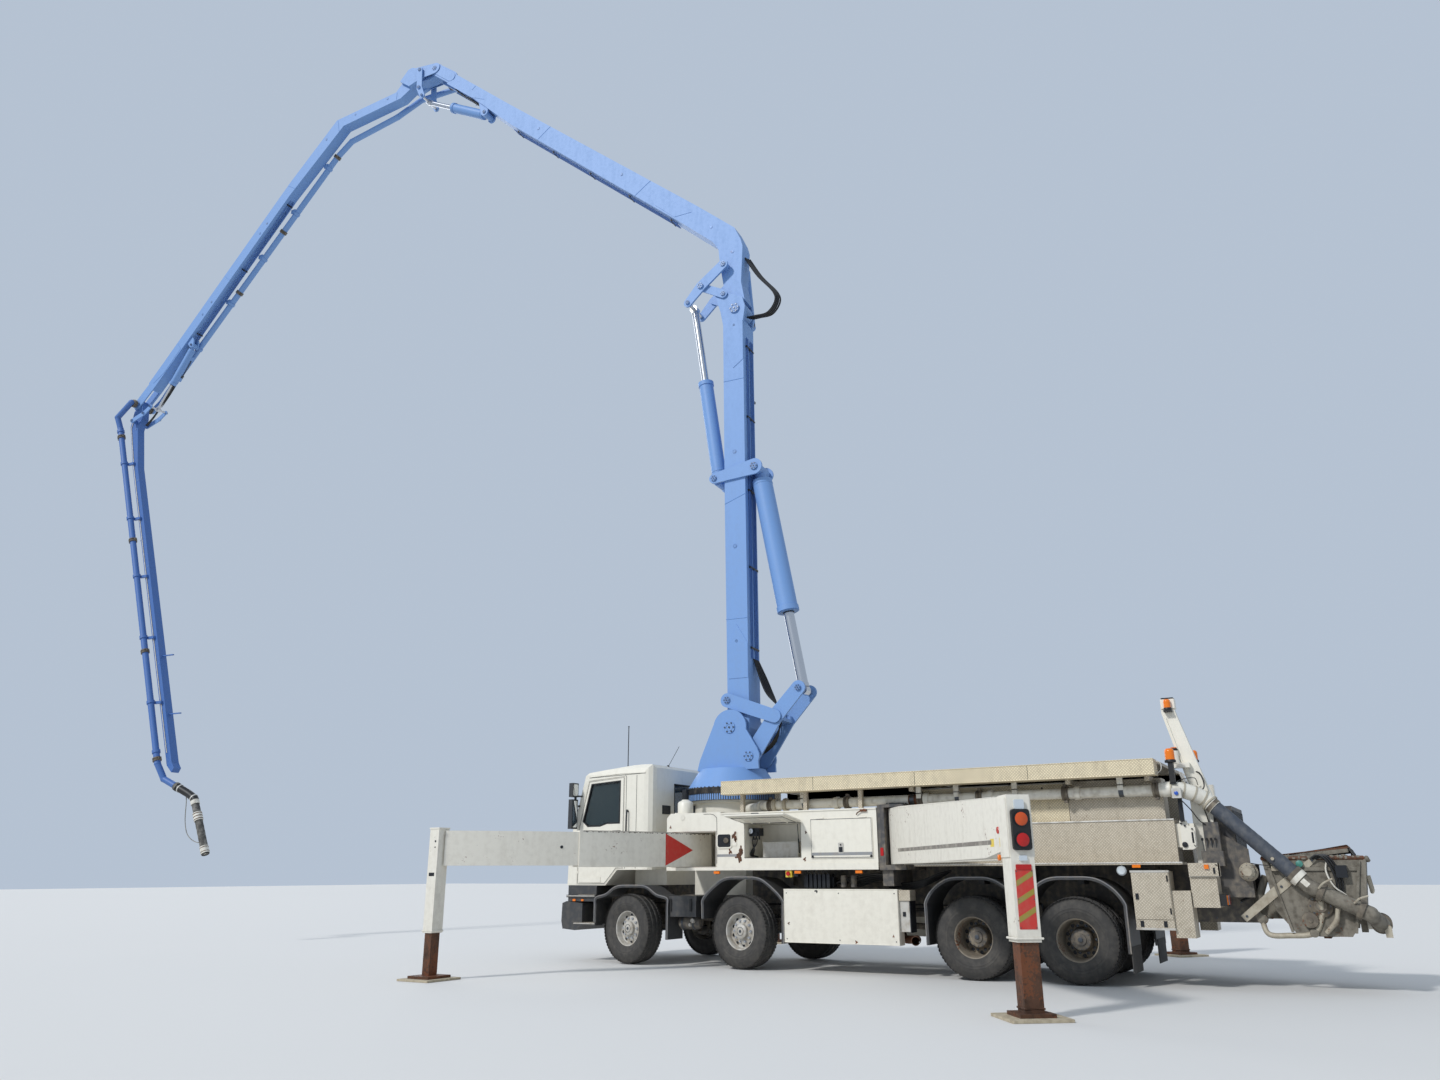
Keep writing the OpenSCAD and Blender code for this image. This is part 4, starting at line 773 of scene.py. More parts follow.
def pipe_coupling(p, axis, body, name):
    """Two-part clamp coupling: a ribbed ring with a lever and a bolt lug."""
    a, _, e2 = basis(axis)
    parts = [lathe([(PIPE_R + 0.002, -0.045), (PIPE_R + 0.022, -0.04), (PIPE_R + 0.026, -0.015),
            (PIPE_R + 0.014, -0.006), (PIPE_R + 0.014, 0.006), (PIPE_R + 0.026, 0.015), (PIPE_R + 0.022, 0.04),
            (PIPE_R + 0.002, 0.045)], p, a, 36)]
    for s in (1, -1):
        parts.append(slab([(-0.022, -0.028), (0.022, -0.028), (0.022, 0.028), (-0.022, 0.028)],
                p + s * e2 * (PIPE_R + 0.012), a, np.cross(s * e2, a), s * e2, 0.04))
    piece(name, parts, GRIME, body)


# couplings on the delivery pipe: two points of the run in (s, lat, z) and shares of the way
RUNS = [
    ("boom_1", (-0.215, -0.422, 4.7), (-0.215, -0.422, 11.3), (0.02, 0.29, 0.55, 0.80)),
    ("boom_2", (0.88, -0.29, 14.24), (5.53, -0.29, 18.31), (0.02, 0.4, 0.7, 0.97)),
    ("boom_3", (11.35, -0.225, 19.3), (16.25, -0.225, 13.83), (0.0, 0.33, 0.6, 0.97)),
    ("boom_4", (17.48, 0.21, 12.55), (14.06, 0.21, 3.76), (0.03, 0.37, 0.7, 0.99))]
for body, p, q, shares in RUNS:
    p3, q3 = boom(p[0], p[2], p[1]), boom(q[0], q[2], q[1])
    for k, t in enumerate(shares):
        pipe_coupling(p3 + (q3 - p3) * t, q3 - p3, body, "%s_coupling_%d" % (body, k + 1))
SWIVELS = [("turret", (-0.12, -0.60, 3.7), BOOM_N), ("boom_1", (-0.22, -0.47, 11.71), BOOM_N),
        ("boom_2", (7.91, -0.47, 20.5), BOOM_N), ("boom_3", (17.1, -0.24, 13.2), BOOM_N),
        ("boom_4", (17.1, 0.22, 13.2), BOOM_N)]
for k, (body, p, axis) in enumerate(SWIVELS):
    c = boom(p[0], p[2], p[1])
    piece("swivel_%d" % (k + 1), [lathe([(0.072, -0.05), (0.098, -0.045), (0.104, -0.02), (0.092, -0.012),
            (0.092, 0.012), (0.104, 0.02), (0.098, 0.045), (0.072, 0.05)], c, axis, 40)], GRIME, body, smooth=True)

# ---------------------------------------------------------------- cab
def tx(points):
    """Row-frame points of truck-frame triples."""
    return [truck(*p) for p in points]


def line(points, r, n, smooth=False):
    """Round bar or hose along truck-frame points."""
    p = tx(points)
    return sweep(smooth_path(p, 6) if smooth else p, r, n)


def side_plate(outline, y, t, sign=1):
    """Plate standing in the side view, outline as truck (x, z), from y outwards by t."""
    return slab(outline, truck(0, sign * y, 0), X, UP, sign * Y, t)


def inset(outline, d):
    """Outline moved inwards by d towards its middle, by the average of the edge normals."""
    p = np.asarray(outline, float)
    e = np.roll(p, -1, 0) - p
    n = np.stack([-e[:, 1], e[:, 0]], 1) / np.linalg.norm(e, axis=1)[:, None]
    if np.sum(p[:, 0] * np.roll(p[:, 1], -1) - p[:, 1] * np.roll(p[:, 0], -1)) < 0:
        n = -n
    m = n + np.roll(n, 1, 0)
    m /= np.linalg.norm(m, axis=1)[:, None]
    k = np.clip(np.sum(m * n, 1), 0.4, 1)[:, None]
    return p + m * d / k


def frame_of(outline, width, y, t, sign=1):
    """Closed frame strip along an outline: the outer outline, the inner one, each with its thickness."""
    a, b = np.asarray(outline, float), inset(outline, width)
    o = truck(0, sign * y, 0)
    rows = [(a, 0), (a, t), (b, t), (b, 0)]
    pts = np.stack([o + q[:, :1] * X + q[:, 1:] * UP + sign * Y * h for q, h in rows])
    return grid(pts, close_u=True, close_v=True)


def tube_along(outline, y, r, sign=1):
    """Rubber seal: a round bar along a closed outline in the side view."""
    p = np.asarray(outline, float)
    q = [truck(x, sign * y, z) for x, z in np.vstack([p, p[:2]])]
    return sweep(q, r, 8)


WINDOW = [(0.29, 2.15), (0.29, 2.85), (0.905, 2.815), (1.07, 2.20), (0.96, 2.11), (0.70, 2.11), (0.56, 2.15)]
DOOR = [(0.215, 1.44), (0.215, 2.905), (0.955, 2.86), (1.145, 2.09), (1.145, 1.2), (0.575, 1.2), (0.35, 1.44)]
HW = 1.18                           # half width of the cab
for side, sg in SIGN.items():
    body = "door_" + side
    piece(body + "_glass", [side_plate(WINDOW, HW - 0.030, 0.005, sg)], GLASS, body)
    piece(body + "_seal", [frame_of(WINDOW, 0.022, HW - 0.034, 0.037, sg)], BLACK, body)
    piece(body + "_edge", [tube_along(inset(DOOR, 0.012), HW - 0.001, 0.0045, sg)], DARKP, body)
    piece(body + "_pull", [side_plate(rounded(0.19, 0.062, 0.02, at=(0.36, 2.01)), HW, 0.006, sg),
                           side_plate(rounded(0.14, 0.03, 0.012, at=(0.36, 2.01)), HW + 0.026, 0.012, sg),
                           disc(truck(0.49, sg * HW, 2.01), sg * Y, 0.014, 0.008, 16)], PLASTIC, body)
    piece(body + "_trim", [side_plate([(0.66, 1.225), (1.10, 1.225), (1.10, 1.31), (0.66, 1.31)], HW, 0.008, sg),
            side_plate([(0.225, 1.70), (1.10, 1.70), (1.10, 1.712), (0.225, 1.712)], HW, 0.005, sg)], CREAM, body)
    piece(body + "_inner_card", [side_plate([(0.40, 1.5), (1.0, 1.5), (1.0, 2.05), (0.40, 2.05)], HW - 0.067, 0.006,
            sg)], INSIDE, body)
    # grooves of the cab side: pillar seam, rear corner seam and roof gutter
    piece("cab_seams_" + side, [line([(0.175, sg * HW, 1.44), (0.175, sg * HW, 2.90), (0.20, sg * HW, 2.935)],
            0.004, 6), line([(-0.035, sg * HW, 1.44), (-0.035, sg * HW, 2.92)], 0.004, 6),
            line([(-0.20, sg * HW, 2.945), (0.95, sg * HW, 2.915)], 0.004, 6)], DARKP, smooth=True)
    piece("cab_gutter_" + side, [line([(-0.20, sg * (HW + 0.002), 2.955), (0.3, sg * (HW + 0.004), 2.96),
            (0.93, sg * (HW + 0.002), 2.928)], 0.009, 8)], CREAM, smooth=True)
    # mirror glass and backs
    piece("mirrors_" + side, [slab(rounded(0.125, 0.43, 0.03), truck(1.13, sg * 1.3225, 2.32), Y, UP, -X, 0.004),
            slab(rounded(0.125, 0.19, 0.03), truck(1.13, sg * 1.3225, 2.715), Y, UP, -X, 0.004)], MIRROR)
    piece("mirror_rims_" + side, [slab(rounded(0.152, 0.476, 0.035), truck(1.1285, sg * 1.3225, 2.32), Y, UP, X,
            0.07), slab(rounded(0.152, 0.226, 0.035), truck(1.1285, sg * 1.3225, 2.715), Y, UP, X, 0.07)], PLASTIC)
    # lamps, indicator and bumper details
    piece("head_lamp_" + side, [slab(rounded(0.34, 0.15, 0.03), truck(1.4385, sg * 0.965, 0.79), Y, UP, X, 0.006)],
          LENS)
    piece("head_lamp_bowls_" + side,
          [lathe([(1e-4, 0.007), (0.03, 0.008), (0.052, 0.012), (0.055, 0.007)],
            truck(1.438, sg * (0.965 + d), 0.79), X, 24) for d in (-0.09, 0.04)], CHROME, smooth=True)
    piece("turn_lamp_" + side, [slab(rounded(0.05, 0.12, 0.012), truck(1.439, sg * 1.105, 0.79), Y, UP, X, 0.009),
                                side_plate(rounded(0.06, 0.035, 0.01, at=(1.178, 0.948)), 1.19, 0.012, sg),
                                side_plate(rounded(0.05, 0.03, 0.01, at=(1.007, 0.948)), 1.19, 0.01, sg)], AMBER)
    piece("fog_lamp_" + side, [disc(truck(1.418, sg * 0.62, 0.60), X, 0.06, 0.022, 28, 0.004)], LENS, smooth=True)
    # bright treads and nosings of the steps
    piece("step_treads_" + side, [tbox(0.74, 1.09, *span(sg, 0.985, 1.216), 1.0302, 1.034),
                                  tbox(0.735, 1.17, *span(sg, 1.02, 1.202), 0.6002, 0.604)], CHEQ)
    piece("step_edges_" + side, [line([(0.735, sg * 1.203, 0.585), (1.17, sg * 1.203, 0.585)], 0.008, 8),
            line([(0.74, sg * 1.218, 1.012), (1.32, sg * 1.218, 1.012)], 0.008, 8)], SILVER, smooth=True)
    piece("grab_rail_" + side, [line([(0.13, sg * (HW + 0.002), 1.62), (0.13, sg * (HW + 0.045), 1.66),
            (0.13, sg * (HW + 0.045), 2.30), (0.13, sg * (HW + 0.002), 2.34)], 0.014, 10, True)], PLASTIC,
          smooth=True)
    piece("fuel_flap_" + side, [side_plate(rounded(0.16, 0.12, 0.03, at=(-0.19, 1.62)), HW, 0.005, sg)], CREAM)

# windscreen, wipers, rear window
SCREEN_TOP, SCREEN_FOOT = np.array([1.025, 2.885]), np.array([1.232, 2.085])
ws_slope = (SCREEN_TOP - SCREEN_FOOT) / np.linalg.norm(SCREEN_TOP - SCREEN_FOOT)
ws_up = np.array([ws_slope[0], 0, ws_slope[1]])
ws_out = np.array([ws_slope[1], 0, -ws_slope[0]])
ws_centre = 0.5 * (SCREEN_TOP + SCREEN_FOOT)
ws_mid = truck(ws_centre[0], 0, ws_centre[1])
WS_H = float(np.linalg.norm(SCREEN_TOP - SCREEN_FOOT))
piece("windscreen", [slab(rounded(2.112, WS_H - 0.012, 0.02), ws_mid, Y, ws_up, ws_out, 0.006)], GLASS)
ws_ring = rounded(2.118, WS_H, 0.05, 5)
piece("windscreen_seal", [sweep([ws_mid + a * Y + b * ws_up + ws_out * 0.004
        for a, b in np.vstack([ws_ring, ws_ring[:2]])], 0.011, 8)], BLACK, smooth=True)
piece("wipers", [sweep([ws_mid + a * Y + b * ws_up + ws_out * 0.03 for a, b in run], 0.007, 6)
        for run in ([(-0.75, -0.38), (-0.30, -0.05)], [(-0.52, -0.22), (-0.12, 0.12)],
        [(0.05, -0.38), (0.5, -0.05)], [(0.28, -0.22), (0.68, 0.12)])]
      + [sweep([ws_mid + a * Y - 0.38 * ws_up + ws_out * 0.002, ws_mid + a * Y - 0.38 * ws_up + ws_out * 0.035],
        0.012, 8) for a in (-0.75, 0.05)], BLACK)
piece("sun_visor", [tbox(1.02, 1.03, -1.0, 1.0, 2.90, 2.93)], PLASTIC)
piece("rear_window", [tbox(-0.302, -0.296, -0.498, 0.498, 2.302, 2.798)], GLASS)
piece("rear_window_seal", [sweep(tx([(-0.331, y, z) for y, z in ((-0.5, 2.3), (0.5, 2.3), (0.5, 2.8), (-0.5, 2.8),
        (-0.5, 2.3), (0.4, 2.3))]), 0.012, 8)], BLACK)
piece("cab_rear_vent", [tbox(-0.338, -0.329, 0.62, 0.86, 2.30, 2.44)]
      + [tbox(-0.346, -0.337, 0.635, 0.845, 2.315 + 0.024 * i, 2.325 + 0.024 * i) for i in range(5)], PLASTIC)
piece("roof_hatch_seam", [sweep(tx([(x, y, 3.086) for x, y in ((0.15, -0.3), (0.65, -0.3), (0.65, 0.3), (0.15, 0.3),
        (0.15, -0.3), (0.5, -0.3))]), 0.006, 6)], DARKP)
piece("roof_markers", [slab(rounded(0.07, 0.03, 0.012), truck(0.985, y, 2.978), X, Y, UP, 0.026)
        for y in (-1.0, -0.6, 0.6, 1.0)], AMBER)
piece("whip_aerial", [line([(-0.28, 0.62, 3.085), (-0.31, 0.62, 3.13), (-0.50, 0.62, 3.41)], 0.004, 6),
        disc(truck(-0.28, 0.62, 3.08), UP, 0.02, 0.03, 14)], BLACK)
piece("aerial_foot", [lathe([(0.03, 0), (0.028, 0.02), (0.012, 0.06), (0.009, 0.10), (1e-4, 0.10)],
        truck(0.5, 0.7, 3.045), UP, 16), disc(truck(0.5, 0.7, 3.80), UP, 0.012, 0.018, 12)], BLACK, smooth=True)
piece("grille_mesh", [tbox(1.3752, 1.378, -0.80, 0.80, 1.25, 1.81)], DARKP)
piece("number_plates", [slab(rounded(0.52, 0.12, 0.01), truck(1.431, 0, 0.65), Y, UP, X, 0.004),
        slab(rounded(0.52, 0.12, 0.01), truck(-9.123, -0.42, 1.18), Y, UP, X, 0.004)], SILVER)
# dark strips stand for the slots in the bumper: painted shade
piece("bumper_slots", [tbox(1.4225, 1.428, -0.42, 0.42, 0.76 + 0.04 * i, 0.775 + 0.04 * i) for i in range(3)]
      + [line([(1.424, -0.7, 0.90), (1.424, 0.7, 0.90)], 0.006, 6)], DARKP)
piece("towing_eyes", [ring(truck(1.428, y, 0.64), X, 0.018, 0.036, 0.012, 20) for y in (-0.36, 0.36)], DARKP)
piece("dash_and_wheel", [tbox(0.975, 0.981, 0.35, 0.9, 1.82, 1.97),
        ring(truck(0.83, 0.62, 2.066), np.array([-0.57, 0, 0.82]), 0.19, 0.236, 0.02, 40)], BLACK, smooth=True)
piece("seat_trim", [tbox(-0.06, 0.36, y - 0.20, y + 0.20, 1.93, 1.945) for y in (-0.62, 0.62)]
      + [tbox(-0.019, -0.008, y - 0.19, y + 0.19, 1.98, 2.44) for y in (-0.62, 0.62)], HOSE)
piece("bunk_curtain", [tbox(-0.262, -0.258, -0.6, 0.6, 1.95, 2.28)], INSIDE)

# ---------------------------------------------------------------- swing beams of the front outriggers
BEAM_R = 6.12                       # radius of the outer face of a front beam
ARC_X, ARC_Y = 4.9, 0.12            # centre of its curve
SET_BACK = 0.365                    # the right beam lies this much further back


def fleg(x, y, z, side):
    """Row-frame point beside a front leg; the right leg is the mirror image, set back."""
    return truck(x, y, z) if side == "left" else truck(x - SET_BACK, -y, z)


def arc(theta, radius, z, side):
    """Point of a front beam at the angle theta (degrees) round the centre of its curve, in the row frame."""
    t = math.radians(theta)
    return fleg(ARC_X + radius * math.cos(t), ARC_Y + radius * math.sin(t), z, side)


def beam_out(theta, side):
    """Unit vector out of a front beam's outer face at the angle theta."""
    return arc(theta, BEAM_R, 0, side) - arc(theta, BEAM_R - 1, 0, side)


def shell(p, lift):
    """Closed skin: the table P[u, v], the same table moved by lift, and a band round the rim."""
    nu, nv = p.shape[:2]
    v = np.vstack([p.reshape(-1, 3), (p + lift).reshape(-1, 3)])
    _, q = grid(p)
    k = nu * nv
    rim = [(i, 0) for i in range(nu)] + [(nu - 1, j) for j in range(1, nv)] + [(i, nv - 1)
            for i in range(nu - 2, -1, -1)] + [(0, j) for j in range(nv - 2, 0, -1)]
    r = np.array([i * nv + j for i, j in rim])
    r2 = np.roll(r, -1)
    return v, q.tolist() + (q[:, ::-1] + k).tolist() + np.stack([r, r2, r2 + k, r + k], 1).tolist()


def on_beam(t0, t1, z0, z1, side, off, t, n):
    """Thin skin on a beam's outer face: u runs along the curve, v up; z0 and z1 are pairs for its two ends."""
    u = np.linspace(0, 1, n)
    rows = []
    for k in u:
        th = t0 + (t1 - t0) * k
        lo, hi = z0[0] + (z0[1] - z0[0]) * k, z1[0] + (z1[1] - z1[0]) * k
        rows.append([arc(th, BEAM_R + off, z, side) for z in (lo, hi)])
    p = np.array(rows)
    return shell(p, beam_out((t0 + t1) / 2, side) * t)


for side in SIGN:
    body = "beam_outer_" + side
    piece("beam_triangle_" + side, [on_beam(164.6, 170.1, (1.475, 1.706), (1.945, 1.708), side, 0.002, 0.0015, 24)],
          RED, body)
    piece("beam_top_rust_" + side,
          [shell(np.array([[arc(th, BEAM_R - 0.10, 1.966, side), arc(th, BEAM_R - 0.002, 1.966, side)]
            for th in np.linspace(151.2, 171.5, 40)]), UP * 0.0015)], STEEL_R, body)
    th = np.linspace(151.0, 173.9, 160)
    rag = 0.006 + 0.016 * np.abs(np.sin(th * 7.1) * np.sin(th * 3.3 + 1)) + 0.006 * np.abs(np.sin(th * 23))
    piece("beam_edge_rust_" + side,
          [shell(np.array([[arc(a, BEAM_R + 0.001, 1.9652 - d, side), arc(a, BEAM_R + 0.001, 1.9668, side)]
            for a, d in zip(th, rag)]), beam_out(162, side) * 0.0008)], DARKR, body)
    piece("beam_welds_" + side, [sweep([arc(th, BEAM_R + 0.0005, z, side) for th in np.linspace(150.8, 173.5, 40)],
            0.004, 6) for z in (1.462, 1.958)], CREAM_R, body, smooth=True)
    piece("beam_pin_caps_" + side, [disc(truck(TURRET_X, SIGN[side] * 0.86, 2.03), UP, 0.085, 0.02, 28)], DARKP,
          smooth=True)

# ---------------------------------------------------------------- swing arms of the rear outriggers
ARM_PIVOT, ARM_TURN = (-4.53, 1.06), (0.6018, 0.7986)      # place in x and y, cosine and sine of its heading
ARM_HALF, ARM_END = 0.12, 4.62      # half width of a rear arm and x of its end face


def arm(x, y, z, side):
    """Row-frame point of a place in a rear arm's own frame: x along it from its pivot, y across, z up."""
    c, s = ARM_TURN
    return truck(ARM_PIVOT[0] - c * x - s * y, SIGN[side] * (ARM_PIVOT[1] + s * x - c * y), z)


def arm_axes(side):
    """Directions along, across and up a rear arm."""
    o = arm(0, 0, 0, side)
    return arm(1, 0, 0, side) - o, arm(0, 1, 0, side) - o, UP


for side in SIGN:
    u, v, _ = arm_axes(side)
    body = "rear_arm_" + side
    end = lambda y, z: arm(ARM_END, y, z, side)

    def end_plate(cy, cz, w, h, t, r=0.006):
        """Plate on the end face of the arm, about (cy, cz)."""
        return slab(rounded(w, h, r), end(cy, cz), v, UP, u, t)

    piece("arm_white_lamp_" + side, [end_plate(0, 2.01, 0.10, 0.10, 0.03, 0.015)], LENS, body)
    piece("arm_lamp_unit_" + side, [end_plate(0, 1.765, 0.19, 0.40, 0.045, 0.03)], BLACK, body)
    lens = lambda z: [lathe([(0.067, 0.0), (0.066, 0.012), (0.045, 0.022), (1e-4, 0.027)], end(0, z) + u * 0.045, u,
            32)]
    piece("arm_lamp_amber_" + side, lens(1.868), AMBER_D, body, smooth=True)
    piece("arm_lamp_red_" + side, lens(1.665), RED_L, body, smooth=True)
    piece("arm_lamp_rims_" + side,
          [ring(end(0, z) + u * 0.045, u, 0.068, 0.076, 0.012, 32) for z in (1.868, 1.665)], DARKP, body)
    piece("arm_small_lamp_" + side, [end_plate(0.0, 1.49, 0.08, 0.05, 0.02, 0.01)], LENS, body)
    piece("arm_red_bar_" + side, [end_plate(0.0, 1.405, 0.16, 0.05, 0.012)], RED_L, body)
    piece("arm_chevron_board_" + side, [end_plate(0.0, 1.10, 0.18, 0.56, 0.004)], RED, body)
    bars = []
    for k in range(3):
        z = 0.88 + 0.17 * k
        lo, hi = z, z + 0.055
        bars.append(slab([(-0.088, lo - 1.10), (0.088, min(lo + 0.10, 1.375) - 1.10),
                (0.088, min(hi + 0.10, 1.378) - 1.10), (-0.088, hi - 1.10)], end(0, 1.10) + u * 0.004, v, UP, u,
                0.0015))
    piece("arm_chevrons_" + side, bars, OLIVE, body)
    piece("arm_screws_" + side, [disc(end(y, z) + u * 0.004, u, 0.006, 0.004, 8) for y in (-0.08, 0.08)
            for z in (0.835, 1.10, 1.365)], BOLT, body)
    # stripe, reflector and blank stickers on the face that shows, -y in the arm's own frame, and on the other one
    for tag, sg in (("a", -1), ("b", 1)):
        face = lambda x, z, w, h, t, r=0.004: slab(rounded(w, h, r), arm(x, sg * ARM_HALF, z, side), u, UP, sg * v, t)
        piece("arm_stripe_%s_%s" % (tag, side), [face(2.25, 1.655, 3.7, 0.045, 0.0012)], STRIPE_D, body)
        piece("arm_reflector_%s_%s" % (tag, side),
              [disc(arm(4.32, sg * ARM_HALF, 1.77, side), sg * v, 0.035, 0.008, 24)], RED_L, body)
        piece("arm_stickers_%s_%s" % (tag, side),
              [face(4.12, 1.65, 0.11, 0.08, 0.001), face(4.36, 1.65, 0.05, 0.09, 0.001)], YELLOW, body)
        piece("arm_side_lamp_%s_%s" % (tag, side),
              [disc(arm(4.32, sg * ARM_HALF, 1.50, side), sg * v, 0.03, 0.02, 20, 0.004)], AMBER, body, smooth=True)
    piece("arm_welds_" + side, [sweep([arm(x, sg * 0.121, 1.478, side) for x in (0.25, 4.3)], 0.004, 6)
            for sg in (-1, 1)] + [sweep([arm(0.25, sg * 0.121, 2.228, side), arm(4.3, sg * 0.121, 2.105, side)],
            0.004, 6) for sg in (-1, 1)], CREAM_R, body, smooth=True)
    piece("arm_leg_flange_" + side,
          [sweep([arm(x, y, 0.735, side) for x, y in ((4.372, -0.134), (4.628, -0.134), (4.628, 0.134),
            (4.372, 0.134), (4.372, -0.134), (4.5, -0.134))], 0.012, 6)], CREAM_R, body)
    piece("arm_pivot_cap_" + side,
          [disc(arm(0, 0, 2.2902, side), UP, 0.11, 0.022, 32),
           ring(arm(0, 0, 2.2902, side), UP, 0.12, 0.17, 0.008, 32)]
          + [disc(p, UP, 0.012, 0.012, 6) for p in around(arm(0, 0, 0, side), UP, 0.145, 2.298, 8)], DARKP)
    # wooden boards under the feet
    piece("rear_pad_board_" + side,
          [slab(rounded(0.612, 0.612, 0.015), arm(4.5, 0, 0.0002, side), u, v, UP, 0.0262)], WOOD,
          "rear_leg_" + side)
    piece("rear_leg_dirt_" + side,
          [sweep([arm(x, y, 0.10, side) for x, y in ((4.40, -0.099), (4.60, -0.099), (4.60, 0.099), (4.40, 0.099),
            (4.40, -0.099), (4.5, -0.099))], 0.010, 6)], STEEL_R, "rear_leg_" + side)

# ---------------------------------------------------------------- deck, cabinets and pedestal
def blob(x, z, y, size, seed, sign=1):
    """Ragged patch on the truck's side: r(u) = size (1 + three sines), a plate 1 mm thick."""
    u = np.linspace(0, 2 * np.pi, 26, endpoint=False)
    r = size * (1 + 0.35 * np.sin(3 * u + seed) + 0.2 * np.sin(5 * u + 2 * seed) + 0.12 * np.sin(9 * u + 3 * seed))
    return side_plate(np.stack([x + r * np.cos(u), z + 1.3 * r * np.sin(u)], 1), y, 0.001, sign)


WC = 1.25                           # half width of the deck and its cabinets
for side, sg in SIGN.items():
    y0, y1 = span(sg, WC, WC + 0.012)
    piece("plinth_" + side, [tbox(-4.292, -1.63, y0, y1, 1.402, 1.50), tbox(-1.63, -0.70, y0, y1, 1.402, 1.446)], CREAM)
    piece("side_lamps_" + side, [tbox(x - 0.05, x + 0.05, *span(sg, WC - 0.012, WC + 0.016), 1.352, 1.39)
            for x in (-1.623, -3.013, -3.988)], AMBER)
    piece("side_lamp_brackets_" + side,
          [tbox(x - 0.03, x + 0.03, *span(sg, WC - 0.02, WC - 0.012), 1.345, 1.402)
           for x in (-1.623, -3.013, -3.988)], DARKP)
    piece("housing_reflector_" + side, [side_plate(rounded(0.045, 0.11, 0.01, at=(-4.35, 1.641)), 1.24, 0.008, sg)],
          RED_L)
    piece("collar_groove_" + side,
          [line([(-1.622, sg * (WC + 0.0005), 1.50), (-1.622, sg * (WC + 0.0005), 2.12),
            (-1.60, sg * (WC + 0.0005), 2.20), (-1.53, sg * (WC + 0.0005), 2.24),
            (-1.38, sg * (WC + 0.0005), 2.245)], 0.004, 6, True)], DARKP)
    piece("collar_plug_" + side, [disc(truck(-0.99, sg * WC, 2.20), sg * Y, 0.033, 0.006, 24),
            ring(truck(-0.99, sg * WC, 2.20), sg * Y, 0.036, 0.044, 0.003, 28)], CREAM_R, smooth=True)
    piece("mouth_edge_" + side, [tube_along([(-1.61, 1.446), (-0.79, 1.446), (-0.79, 1.984), (-1.61, 1.984)],
            WC + 0.0005, 0.0035, sg)], STEEL_R)
    piece("stripe_" + side, [tbox(-1.97, -1.63, *span(sg, WC, WC + 0.0012), 1.60, 1.638)], STRIPE)

# left cabinets: fuel recess, plate, second door, latch, rust
piece("filler_panel", [side_plate(rounded(0.27, 0.225, 0.045, at=(-1.762, 1.837)), WC, 0.0125)], CREAM)
piece("filler_frame", [frame_of(rounded(0.27, 0.225, 0.045, at=(-1.762, 1.837)), 0.018, WC + 0.0125, 0.006)], CREAM)
piece("filler_recess", [side_plate(rounded(0.235, 0.19, 0.035, at=(-1.762, 1.837)), WC + 0.0125, 0.002)], DARKP)
piece("filler_cap", [lathe([(0.042, 0.002), (0.042, 0.02), (0.036, 0.026), (0.02, 0.028), (1e-4, 0.028)],
        truck(-1.80, WC + 0.0125, 1.84), Y, 28), tbox(-1.825, -1.775, WC + 0.0385, WC + 0.0465, 1.835, 1.846)],
      GRIME, smooth=True)
piece("rust_patches", [blob(-2.02, 1.60, WC, 0.055, 1.0), blob(-2.05, 1.70, WC, 0.035, 3.1),
        blob(-1.94, 1.90, WC + 0.01, 0.042, 2.0), blob(-1.96, 1.84, WC + 0.01, 0.02, 0.6),
        blob(-1.86, 1.67, WC, 0.028, 4.2), blob(-3.16, 1.93, WC, 0.014, 5.0), blob(-3.13, 1.55, WC, 0.02, 1.4),
        blob(-0.76, 2.06, WC, 0.016, 2.4)], STEEL_R)
DOOR2 = [(-4.215, 1.567), (-3.247, 1.567), (-3.247, 2.113), (-4.215, 2.113)]
piece("door2_edge", [tube_along(inset(DOOR2, 0.004), WC + 0.0145, 0.004)], DARKP)
piece("door2_stripe", [tbox(-4.21, -3.25, WC + 0.0142, WC + 0.0155, 1.60, 1.642)], STRIPE)
piece("door2_latch", [side_plate(rounded(0.085, 0.15, 0.012, at=(-3.726, 1.70)), WC + 0.014, 0.007)], SILVER)
piece("door2_handle", [tbox(-3.752, -3.70, WC + 0.021, WC + 0.030, 1.645, 1.715),
        disc(truck(-3.726, WC + 0.021, 1.745), Y, 0.011, 0.008, 16)], DARKP)
piece("door2_hinges", [line([(x - 0.06, WC + 0.017, 2.124), (x + 0.06, WC + 0.017, 2.124)], 0.011, 10)
        for x in (-4.08, -3.40)]
      + [tbox(x - 0.05, x + 0.05, WC + 0.001, WC + 0.017, 2.118, 2.130) for x in (-4.08, -3.40)], CREAM,
      smooth=True)
piece("door2_stoppers", [disc(truck(x, WC + 0.014, z), Y, 0.018, 0.01, 16)
        for x, z in ((-4.195, 1.585), (-3.27, 1.585))], BLACK)
piece("top_lip", [tbox(-4.292, -1.69, WC - 0.03, WC + 0.014, 2.232, 2.2515)], CREAM)
piece("top_lip_clamps", [tbox(-4.15, -4.05, WC - 0.02, WC + 0.03, 2.2, 2.232),
        line([(-4.12, WC + 0.02, 2.235), (-4.02, WC + 0.03, 2.19), (-3.99, WC + 0.02, 2.16)], 0.008, 6, True)],
      STEEL_R)

